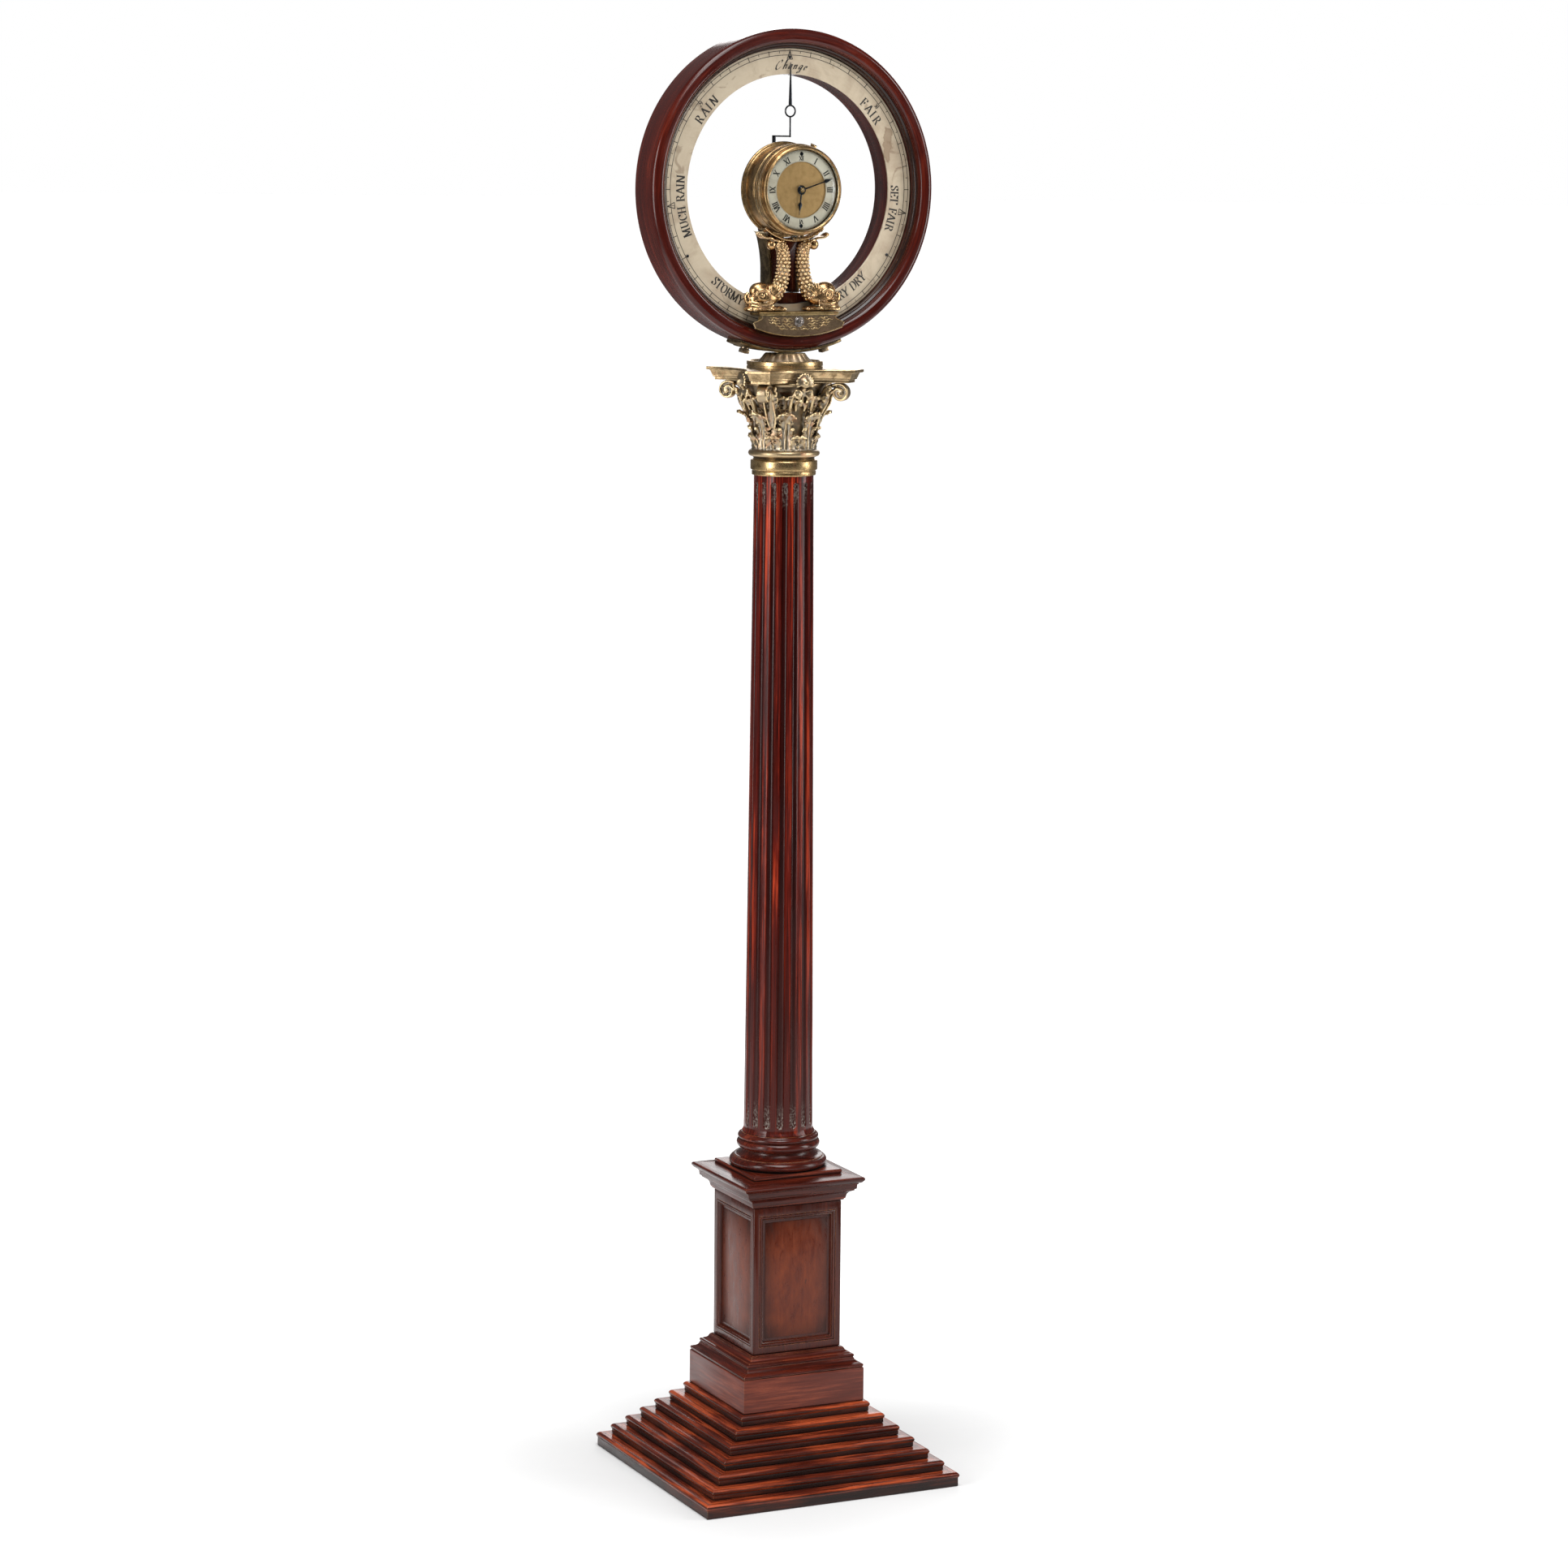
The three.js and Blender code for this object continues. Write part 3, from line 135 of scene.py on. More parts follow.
class NodeShop:
    """Builds the node tree of one material, or of the world."""

    def __init__(self, name: str, world: Optional[bpy.types.World] = None) -> None:
        """Starts an empty node tree.

        Args:
            name: The material's name.
            world: The world, if the tree is for one.
        """
        self.material = world or bpy.data.materials.new(name)
        self.material.use_nodes = True
        self.tree = self.material.node_tree
        self.tree.nodes.clear()

    def node(self, kind: str, settings: Optional[dict] = None, sockets: Optional[dict] = None,
             output: Union[int, str] = 0) -> Wire:
        """Adds one node.

        Args:
            kind: The node's type.
            settings: Its settings, which are set first.
            sockets: Values or wires by socket name or number.
            output: The output wanted.

        Returns:
            The wire of that output.
        """
        made = self.tree.nodes.new(kind)
        for key, value in (settings or {}).items():
            setattr(made, key, value)
        for key, value in (sockets or {}).items():
            socket = made.inputs[key]
            if isinstance(value, Wire):
                self.tree.links.new(value.socket, socket)
            elif isinstance(value, tuple) and len(value) == 3 and socket.type == "RGBA":
                socket.default_value = (*value, 1.0)
            else:
                socket.default_value = value
        return Wire(self, made.outputs[output])

    def place(self) -> Wire:
        """The point on the surface, in millimetres."""
        spot = self.node("ShaderNodeTexCoord", output="Object")
        return self.node("ShaderNodeVectorMath", {"operation": "SCALE"}, {0: spot, "Scale": 1 / MILLIMETRE})

    def split(self, vector: Wire) -> tuple[Wire, Wire, Wire]:
        """The three parts of a vector."""
        first = self.node("ShaderNodeSeparateXYZ", sockets={0: vector})
        return tuple(Wire(self, socket) for socket in first.socket.node.outputs)

    def join(self, x: Amount, y: Amount, z: Amount) -> Wire:
        """A vector of three numbers."""
        return self.node("ShaderNodeCombineXYZ", sockets={0: x, 1: y, 2: z})

    def noise(self, vector: Wire, scale: float, detail: float = 3.0, rough: float = 0.55,
              twist: float = 0.0) -> Wire:
        """Smooth noise from 0 to 1; scale is in waves per millimetre."""
        return self.node("ShaderNodeTexNoise", sockets={
            "Vector": vector, "Scale": scale, "Detail": detail, "Roughness": rough, "Distortion": twist})

    def band(self, value: Amount, low: float, high: float, start: float = 0.0, end: float = 1.0) -> Wire:
        """Turns low...high smoothly into start...end."""
        return self.node("ShaderNodeMapRange", {"interpolation_type": "SMOOTHSTEP"},
                         {0: value, 1: low, 2: high, 3: start, 4: end})

    def mix(self, share: Amount, first: Union[Wire, Colour], second: Union[Wire, Colour]) -> Wire:
        """A colour between two others."""
        return self.node("ShaderNodeMix", {"data_type": "RGBA"}, {0: share, 6: first, 7: second}, output=2)

    def blend(self, share: Amount, first: Amount, second: Amount) -> Wire:
        """A number between two others."""
        return self.node("ShaderNodeMix", {"data_type": "FLOAT"}, {0: share, 2: first, 3: second})

    def edges(self, radius: float) -> Wire:
        """About 1 on edges sharper than radius, in millimetres, and 0 on even faces."""
        rounded = self.node("ShaderNodeBevel", {"samples": 4}, {"Radius": radius * MILLIMETRE})
        plain = self.node("ShaderNodeNewGeometry", output="Normal")
        match = self.node("ShaderNodeVectorMath", {"operation": "DOT_PRODUCT"}, {0: rounded, 1: plain},
                          output="Value")
        return self.band(1.0 - match, 0.01, 0.22)

    def openness(self, reach: float) -> Wire:
        """1 in the open and less in hollows narrower than reach, in millimetres."""
        return self.node("ShaderNodeAmbientOcclusion", {"samples": 4}, {"Distance": reach * MILLIMETRE},
                         output="AO")

    def bump(self, height: Wire, depth: float, strength: float = 1.0) -> Wire:
        """A normal from a height of 0 to 1; depth is in millimetres."""
        return self.node("ShaderNodeBump", sockets={
            "Strength": strength, "Distance": depth * MILLIMETRE, "Height": height})

    def surface(self, **sockets: Union[Wire, float, tuple]) -> bpy.types.Material:
        """Ends the material with one Principled shader.

        Args:
            sockets: Its sockets, with underscores for spaces.

        Returns:
            The material.
        """
        named = {key.replace("_", " "): value for key, value in sockets.items()}
        shader = self.node("ShaderNodeBsdfPrincipled", sockets=named)
        self.finish(shader)
        return self.material

    def finish(self, shader: Wire, kind: str = "ShaderNodeOutputMaterial") -> None:
        """Links a shader to the output node."""
        end = self.tree.nodes.new(kind)
        self.tree.links.new(shader.socket, end.inputs["Surface"])


# ---- finishes ------------------------------------------------------------------------------------


class Finish:
    """A finish that paints its material once and hands the same one out again."""

    name: str
    slot: str
    _painted: dict[str, bpy.types.Material] = {}

    def material(self) -> bpy.types.Material:
        """The finish's material, made at first use."""
        if self.name not in Finish._painted:
            Finish._painted[self.name] = self.paint()
        return Finish._painted[self.name]

    def paint(self) -> bpy.types.Material:
        """Builds the material."""
        raise NotImplementedError


@dataclass(frozen=True)
class Mahogany(Finish):
    """French-polished mahogany with streaked grain, worn edges, and dark wax together with painted shade in its
    hollows, on its risers and in a ring's cove.
    """

    name: str
    grain: Grain
    slot: str = "mahogany"
    deep: Colour = (0.016, 0.0022, 0.0012)
    body: Colour = (0.085, 0.011, 0.0045)
    light: Colour = (0.26, 0.047, 0.014)
    worn: Colour = (0.55, 0.20, 0.07)
    # Near-black colour for old wax and for painted shade in hollows, on risers and in a cove.
    wax_and_shade: Colour = (0.010, 0.006, 0.005)
    gloss: float = 0.24
    lightness: float = 0.5
    wear: float = 0.8
    # Share of dark wax and painted shade laid on upright faces, such as the steps' risers.
    risers: float = 0.0
    hollow: float = 6.0
    relief: float = 0.25
    shine: float = 0.24
    # Radii of a cove that is painted dark, as shade with some wax.
    cove: Optional[Pair] = None

    def along_grain(self, shop: NodeShop, place: Wire) -> Wire:
        """The point with the grain's direction drawn out along x.

        Args:
            shop: The material's nodes.
            place: The point in millimetres.

        Returns:
            A vector whose first part runs with the grain.
        """
        x, y, z = shop.split(place)
        if self.grain is Grain.UPRIGHT:
            return shop.join(z, x, y)
        if self.grain is Grain.LEVEL:
            return shop.join(x, y, z)
        if self.grain is Grain.MITRED:
            side = abs(x) > abs(y)
            return shop.join(shop.blend(side, x, y), shop.blend(side, y, x), z)
        height = z - DIAL_HEIGHT
        angle = shop.node("ShaderNodeMath", {"operation": "ARCTAN2"}, {0: x, 1: height})
        radius = shop.node("ShaderNodeVectorMath", {"operation": "LENGTH"}, {0: shop.join(x, 0.0, height)},
                           output="Value")
        return shop.join(angle * 134.0, radius, y)

    def paint(self) -> bpy.types.Material:
        """Builds the wood."""
        shop = NodeShop(self.name)
        along, across, up = shop.split(self.along_grain(shop, shop.place()))
        flow = shop.join(along * 0.045, across, up)
        slow = shop.join(along * 0.18, across, up)
        figure = shop.noise(slow, 0.045, 3, 0.6, 0.6)
        streak = shop.noise(flow, 0.42, 4, 0.62, 0.4)
        fine = shop.noise(flow, 1.5, 3, 0.6)
        pores = shop.band(shop.noise(shop.join(along * 0.12, across, up), 2.4, 2, 0.5), 0.60, 0.70)
        tone = shop.band(streak * 0.62 + figure * 0.38 + fine * 0.14, 0.36, 0.80)
        bright = shop.band(figure * 0.5 + streak * 0.5 + (self.lightness - 0.5) * 0.3, 0.50, 0.72)
        colour = shop.mix(tone, self.deep, self.body)
        colour = shop.mix(bright * shop.band(fine, 0.3, 0.7, 0.45, 1.0), colour, self.light)
        colour = shop.mix(pores * 0.55, colour, self.deep)
        open_air = shop.openness(self.hollow)
        # Painted shade with dark wax: upright faces, found by their normal, are darkened, broken by a patchy
        # noise.
        if self.risers:
            normal = shop.node("ShaderNodeNewGeometry", output="Normal")
            level = abs(shop.split(normal)[2])
            dark = shop.band(level, 0.10, 0.55, self.risers, 0.0)
            patch = shop.band(shop.noise(slow, 0.07, 2), 0.45, 0.7)
            colour = shop.mix(dark * (1.0 - patch * 0.35), colour, self.wax_and_shade)
        # Painted shade with some wax in the ring's cove: the band between the two radii is darkened on the
        # ring's front.
        if self.cove:
            inner, outer = self.cove
            sunk = shop.band(across, outer + 0.8, outer - 0.4) * shop.band(across, inner - 0.6, inner)
            colour = shop.mix(sunk * shop.band(up, 0.0, -4.0) * 0.85, colour, self.wax_and_shade)
        edge = shop.edges(0.9) * shop.band(open_air, 0.62, 0.9)
        rubbed = edge * shop.band(shop.noise(slow, 0.25, 4, 0.7), 0.30, 0.62)
        colour = shop.mix(rubbed * self.wear, colour, self.worn)
        # Painted shade with some grime: hollows narrower than the reach are darkened and made rougher.
        grime_and_shade = shop.band(open_air, 0.25, 0.78, 0.9, 0.0)
        colour = shop.mix(grime_and_shade, colour, self.wax_and_shade)
        chips = shop.band(shop.noise(shop.place(), 0.5, 2, 0.4), 0.74, 0.78) * edge
        colour = shop.mix(chips, colour, (0.62, 0.50, 0.42))
        rough = shop.band(shop.noise(slow, 0.09, 3, 0.6), 0.3, 0.75, self.gloss - 0.05, self.gloss + 0.12)
        height = fine * 0.5 + streak * 0.5 - pores * 0.6
        return shop.surface(Base_Color=colour, Roughness=rough + grime_and_shade * 0.3, Specular_IOR_Level=self.shine,
                            Coat_Weight=0.06, Coat_Roughness=0.10, Normal=shop.bump(height, 0.05, self.relief))


@dataclass(frozen=True)
class ShaftMahogany(Finish):
    """The column's mahogany: fiery lands, flutes painted near-black as shade, and pale wax left at the flutes'
    ends.
    """

    name: str = "mahogany_shaft"
    slot: str = "mahogany"
    deep: Colour = (0.010, 0.0010, 0.0007)
    body: Colour = (0.105, 0.0065, 0.0028)
    light: Colour = (0.42, 0.045, 0.012)
    residue: Colour = (0.24, 0.21, 0.18)

    def paint(self) -> bpy.types.Material:
        """Builds the wood from the flute depth kept on the mesh."""
        shop = NodeShop(self.name)
        x, y, z = shop.split(shop.place())
        flow = shop.join(z * 0.022, x, y)
        slow = shop.join(z * 0.12, x, y)
        streak = shop.noise(flow, 0.36, 4, 0.62, 0.5)
        fine = shop.noise(flow, 1.3, 3, 0.6)
        figure = shop.noise(slow, 0.035, 3, 0.55, 0.5)
        flute = shop.node("ShaderNodeAttribute", {"attribute_name": "flute"}, output="Fac")
        stop = shop.node("ShaderNodeAttribute", {"attribute_name": "stop"}, output="Fac")
        tone = shop.band(streak * 0.7 + fine * 0.2 + figure * 0.2, 0.36, 0.74)
        colour = shop.mix(tone, self.deep, self.body)
        fire = shop.band(streak * 0.55 + figure * 0.45, 0.50, 0.66) * shop.band(fine, 0.25, 0.65, 0.35, 1.0)
        # Painted shade in the flutes: with the flute's depth the fiery figure is dimmed and the wood darkened
        # towards near-black.
        colour = shop.mix(fire * shop.band(flute, 0.0, 0.5, 1.0, 0.25), colour, self.light)
        colour = shop.mix(shop.band(flute, 0.15, 0.95, 0.0, 0.82), colour, self.deep)
        # The shaft is painted darker towards its foot.
        low = shop.band(z, 350.0, 680.0, 0.60, 0.0)
        colour = shop.mix(low, colour, (0.034, 0.0050, 0.0028))
        mottled = shop.noise(shop.join(x, y, z * 0.55), 0.75, 3, 0.7)
        wax_and_shade = stop * shop.band(flute, 0.10, 0.55) * shop.band(mottled, 0.46, 0.62)
        colour = shop.mix(wax_and_shade * 0.7, colour, self.residue)
        rough = shop.band(shop.noise(slow, 0.1, 3), 0.3, 0.7, 0.20, 0.34)
        height = fine * 0.5 + streak * 0.5
        return shop.surface(Base_Color=colour, Roughness=rough + wax_and_shade * 0.4, Specular_IOR_Level=0.20,
                            Coat_Weight=0.06, Coat_Roughness=0.1, Normal=shop.bump(height, 0.05, 0.35))


@dataclass(frozen=True)
class Brass(Finish):
    """Old brass: a brown and gold mottle, rubbed edges and polish left in the hollows."""

    name: str
    slot: str = "brass"
    dull: Colour = (0.17, 0.11, 0.045)
    clean: Colour = (0.56, 0.41, 0.19)
    rubbed: Colour = (0.86, 0.68, 0.38)
    residue: Colour = (0.36, 0.33, 0.26)
    polish: float = 0.5
    roughness: float = 0.32
    hollow: float = 3.0
    dirt: float = 0.8
    scale: float = 1.0
    blush: Colour = (0.50, 0.25, 0.13)

    def paint(self) -> bpy.types.Material:
        """Builds the metal."""
        shop = NodeShop(self.name)
        place = shop.place()
        cloud = shop.noise(place, 0.11 * self.scale, 4, 0.62, 0.4)
        speck = shop.noise(place, 0.9 * self.scale, 3, 0.6)
        scratch = shop.noise(place, 3.2 * self.scale, 2, 0.6, 0.6)
        clean = shop.band(cloud * 0.7 + speck * 0.3 + (self.polish - 0.5) * 0.4, 0.38, 0.62)
        colour = shop.mix(clean, self.dull, self.clean)
        warm = shop.band(shop.noise(place, 0.16 * self.scale, 2, 0.5), 0.56, 0.72, 0.0, 0.45)
        colour = shop.mix(warm, colour, self.blush)
        open_air = shop.openness(self.hollow)
        edge = shop.edges(0.5) * shop.band(open_air, 0.5, 0.85)
        colour = shop.mix(edge * 0.7, colour, self.rubbed)
        shade = shop.band(open_air, 0.30, 0.85, 0.6, 0.0)
        colour = shop.mix(shade, colour, (0.05, 0.03, 0.012))
        left = shop.band(open_air, 0.20, 0.62, self.dirt, 0.0) * shop.band(speck, 0.36, 0.56)
        colour = shop.mix(left, colour, self.residue)
        rough = shop.band(cloud * 0.5 + speck * 0.5, 0.3, 0.7, self.roughness + 0.14, self.roughness - 0.08)
        return shop.surface(Base_Color=colour, Metallic=1.0 - left * 0.9, Roughness=rough + left * 0.4,
                            Normal=shop.bump(scratch * 0.5 + speck * 0.5, 0.06, 0.35))


@dataclass(frozen=True)
class SculptedBrass(Finish):
    """Cast and chased metal whose hollows and crests come from the mesh's own relief: painted shade darkens the
    hollows and painted highlights lighten the crests.
    """

    name: str
    slot: str = "cast_brass"
    hollow: Colour = (0.30, 0.26, 0.20)
    body: Colour = (0.42, 0.30, 0.16)
    crest_highlight: Colour = (0.90, 0.72, 0.42)
    blush: Colour = (0.55, 0.27, 0.15)
    residue: Colour = (0.50, 0.46, 0.38)
    roughness: float = 0.36
    dirt: float = 0.9

    def paint(self) -> bpy.types.Material:
        """Builds the metal from the relief kept on the mesh."""
        shop = NodeShop(self.name)
        place = shop.place()
        relief = shop.node("ShaderNodeAttribute", {"attribute_name": "relief"}, output="Fac")
        cloud = shop.noise(place, 0.10, 3, 0.6, 0.4)
        speck = shop.noise(place, 0.8, 4, 0.65)
        pits = shop.noise(place, 2.2, 3, 0.6)
        open_air = shop.openness(5.0)
        # Painted shade and highlight: low relief is darkened towards the hollow colour and high relief
        # lightened to the crest highlight.
        tone = shop.band(relief + (speck - 0.5) * 0.35, -0.25, 0.35)
        colour = shop.mix(tone, self.hollow, self.body)
        colour = shop.mix(shop.band(relief + (speck - 0.5) * 0.3, 0.10, 0.55), colour, self.crest_highlight)
        colour = shop.mix(shop.band(cloud, 0.50, 0.70, 0.0, 0.55), colour, self.blush)
        shade = shop.band(open_air, 0.25, 0.85, 0.78, 0.0)
        colour = shop.mix(shade, colour, (0.045, 0.025, 0.012))
        left = shop.band(relief, -0.45, -0.02, 1.0, 0.0) * shop.band(pits * 0.5 + cloud * 0.5, 0.42, 0.58)
        left = left * shop.band(open_air, 0.15, 0.5, 0.35, 1.0) * self.dirt
        colour = shop.mix(left, colour, self.residue)
        rough = shop.band(speck, 0.3, 0.7, self.roughness - 0.08, self.roughness + 0.12)
        return shop.surface(Base_Color=colour, Metallic=1.0 - left * 0.95, Roughness=rough + left * 0.35,
                            Normal=shop.bump(pits * 0.4 + speck * 0.6, 0.12, 0.4))


@dataclass(frozen=True)
class Silvered(Finish):
    """Silvered brass, brushed round its centre, with yellowed and brown patches."""

    name: str = "silvered"
    slot: str = "silvered"
    pale: Colour = (0.50, 0.418, 0.300)
    tarnish: Colour = (0.37, 0.29, 0.20)
    stain: Colour = (0.13, 0.070, 0.035)
    stains: float = 0.8
    spill: Triple = (111.0, 46.0, 8.0)

    def paint(self) -> bpy.types.Material:
        """Builds the silvering."""
        shop = NodeShop(self.name)
        place = shop.place()
        x, y, z = shop.split(place)
        radius = shop.node("ShaderNodeVectorMath", {"operation": "LENGTH"},
                           {0: shop.join(x, 0.0, z - DIAL_HEIGHT)}, output="Value")
        brushed = shop.noise(shop.join(radius, x * 0.02, z * 0.02), 2.6, 2, 0.5)
        cloud = shop.noise(place, 0.035, 4, 0.6, 0.5)
        speck = shop.noise(place, 0.7, 3, 0.7)
        colour = shop.mix(shop.band(cloud, 0.36, 0.68), self.pale, self.tarnish)
        colour = shop.mix(shop.band(brushed, 0.3, 0.7, 0.0, 0.16), colour, (0.56, 0.51, 0.43))
        spots = shop.band(speck, 0.66, 0.74) * shop.band(cloud, 0.45, 0.6)
        colour = shop.mix(spots * 0.5, colour, self.stain)
        blots = shop.band(shop.noise(place, 0.055, 3, 0.55, 0.8), 0.60, 0.68) * self.stains
        colour = shop.mix(blots * 0.55, colour, self.stain)
        run = shop.join((x - self.spill[0]) * 1.3, 0.0, (z - DIAL_HEIGHT - self.spill[1]) * 0.42)
        away = shop.node("ShaderNodeVectorMath", {"operation": "LENGTH"}, {0: run}, output="Value")
        spilt = shop.band(away + (shop.noise(place, 0.12, 3) - 0.5) * 16.0, self.spill[2], self.spill[2] - 2.5)
        edged = shop.band(away + (shop.noise(place, 0.12, 3) - 0.5) * 16.0, self.spill[2] - 4.0, self.spill[2])
        colour = shop.mix(spilt * (0.55 + edged * 0.35), colour, (0.17, 0.10, 0.050))
        # Painted shade with some grime: hollows narrower than 3 mm are darkened towards brown.
        grime_and_shade = shop.band(shop.openness(3.0), 0.45, 0.9, 0.65, 0.0)
        colour = shop.mix(grime_and_shade, colour, (0.10, 0.07, 0.045))
        rough = shop.band(cloud * 0.5 + brushed * 0.5, 0.3, 0.7, 0.34, 0.50)
        return shop.surface(Base_Color=colour, Metallic=0.30, Roughness=rough,
                            Normal=shop.bump(brushed * 0.7 + speck * 0.3, 0.03, 0.35))


@dataclass(frozen=True)
class MattedGold(Finish):
    """The clock dial's matted centre, a fine grainy brown gold."""

    name: str = "matted_gold"
    slot: str = "matted_brass"
    gold: Colour = (0.49, 0.300, 0.120)
    brown: Colour = (0.33, 0.20, 0.080)

    def paint(self) -> bpy.types.Material:
        """Builds the matting."""
        shop = NodeShop(self.name)
        place = shop.place()
        grain = shop.node("ShaderNodeTexVoronoi", {"feature": "F1"}, {"Vector": place, "Scale": 3.4},
                          output="Distance")
        cloud = shop.noise(place, 0.16, 4, 0.6)
        colour = shop.mix(shop.band(cloud, 0.30, 0.90), self.gold, self.brown)
        colour = shop.mix(shop.band(grain, 0.2, 0.7, 0.0, 0.3), colour, self.brown)
        return shop.surface(Base_Color=colour, Metallic=0.6, Roughness=shop.band(cloud, 0.3, 0.7, 0.48, 0.62),
                            Normal=shop.bump(grain, 0.10, 0.6))


@dataclass(frozen=True)
class Steel(Finish):
    """Steel with a brown or blue oxide and fine scratches."""

    name: str
    slot: str = "steel"
    bare: Colour = (0.36, 0.34, 0.32)
    oxide: Colour = (0.10, 0.075, 0.06)
    roughness: float = 0.34
    cover: float = 0.5

    def paint(self) -> bpy.types.Material:
        """Builds the metal."""
        shop = NodeShop(self.name)
        place = shop.place()
        cloud = shop.noise(place, 0.35, 4, 0.65)
        scratch = shop.noise(place, 3.0, 2, 0.5, 0.8)
        share = shop.band(cloud + (self.cover - 0.5) * 0.6, 0.34, 0.64)
        colour = shop.mix(share, self.bare, self.oxide)
        colour = shop.mix(shop.edges(0.35) * 0.5, colour, (0.60, 0.57, 0.52))
        # Painted shade: hollows narrower than 1.5 mm are darkened towards near-black.
        colour = shop.mix(shop.band(shop.openness(1.5), 0.4, 0.9, 0.6, 0.0), colour, (0.02, 0.015, 0.012))
        rough = shop.band(cloud, 0.3, 0.7, self.roughness - 0.06, self.roughness + 0.14)
        return shop.surface(Base_Color=colour, Metallic=0.95, Roughness=rough,
                            Normal=shop.bump(scratch, 0.03, 0.3))


@dataclass(frozen=True)
class BlackWax(Finish):
    """Black wax in engraved lines, a little rubbed."""

    name: str = "black_wax"
    slot: str = "silvered"
    tint: Colour = (0.012, 0.010, 0.009)
    thin: Colour = (0.060, 0.048, 0.036)

    def paint(self) -> bpy.types.Material:
        """Builds the wax."""
        shop = NodeShop(self.name)
        rub = shop.noise(shop.place(), 0.5, 3, 0.6)
        colour = shop.mix(shop.band(rub, 0.52, 0.70), self.tint, self.thin)
        return shop.surface(Base_Color=colour, Roughness=shop.band(rub, 0.3, 0.7, 0.42, 0.62),
                            Normal=shop.bump(rub, 0.02, 0.3))


@dataclass(frozen=True)
class ClearGlass(Finish):
    """Thin clear glass with a trace of dust, which lets light through to what it covers."""

    name: str = "clear_glass"
    slot: str = "glass"
    tint: Colour = (0.97, 0.985, 0.98)

    def paint(self) -> bpy.types.Material:
        """Builds the glass as a clear layer with a mirror share that rises towards its rim."""
        shop = NodeShop(self.name)
        rim = shop.node("ShaderNodeFresnel", sockets={"IOR": 1.30})
        dust = shop.band(shop.noise(shop.place(), 0.3, 4, 0.7), 0.5, 0.8, 0.0, 0.02)
        clear = shop.node("ShaderNodeBsdfTransparent", sockets={"Color": self.tint})
        gloss = shop.node("ShaderNodeBsdfGlossy", sockets={"Color": (0.9, 0.92, 0.92), "Roughness": 0.06})
        shop.finish(shop.node("ShaderNodeMixShader", sockets={0: rim * 0.5 + dust, 1: clear, 2: gloss}))
        return shop.material


# ---- shaping -------------------------------------------------------------------------------------


def arc(centre: Pair, radius: float, start: float, end: float, steps: int) -> list[Pair]:
    """Points of an arc in a profile's plane.

    Args:
        centre: The arc's centre.
        radius: Its radius.
        start: First angle in degrees, from the first axis towards the second.
        end: Last angle in degrees.
        steps: Number of steps.

    Returns:
        The points, both ends included.
    """
    turns = [math.radians(start + (end - start) * i / steps) for i in range(steps + 1)]
    return [(centre[0] + radius * math.cos(a), centre[1] + radius * math.sin(a)) for a in turns]


def ease(value: float, low: float, high: float) -> float:
    """0 up to low, 1 from high, and a smooth rise between them."""
    share = min(1.0, max(0.0, (value - low) / (high - low)))
    return share * share * (3 - 2 * share)


def curve(points: Sequence[Sequence[float]], steps: int) -> list[Vector]:
    """Points of a smooth curve through the given ones.

    Args:
        points: The places it passes, of two or three numbers.
        steps: Steps between neighbouring places.

    Returns:
        The curve's points, both ends included.
    """
    knots = [Vector((*p, 0.0)) if len(p) == 2 else Vector(p) for p in points]
    ends = [2 * knots[0] - knots[1], *knots, 2 * knots[-1] - knots[-2]]
    path = []
    for before, here, after, beyond in zip(ends, ends[1:], ends[2:], ends[3:]):
        for i in range(steps):
            t = i / steps
            path.append(0.5 * (2 * here + (after - before) * t
                               + (2 * before - 5 * here + 4 * after - beyond) * t ** 2
                               + (3 * here - before - 3 * after + beyond) * t ** 3))
    path.append(knots[-1])
    return path


def both_sides(right: Sequence[Pair]) -> list[Pair]:
    """An outline from its right half."""
    return [*right, *[(-x, z) for x, z in reversed(right)]]


def new_corners(made: dict) -> list[bmesh.types.BMVert]:
    """The corners among what an operator made."""
    return [part for part in made["geom"] if isinstance(part, bmesh.types.BMVert)]


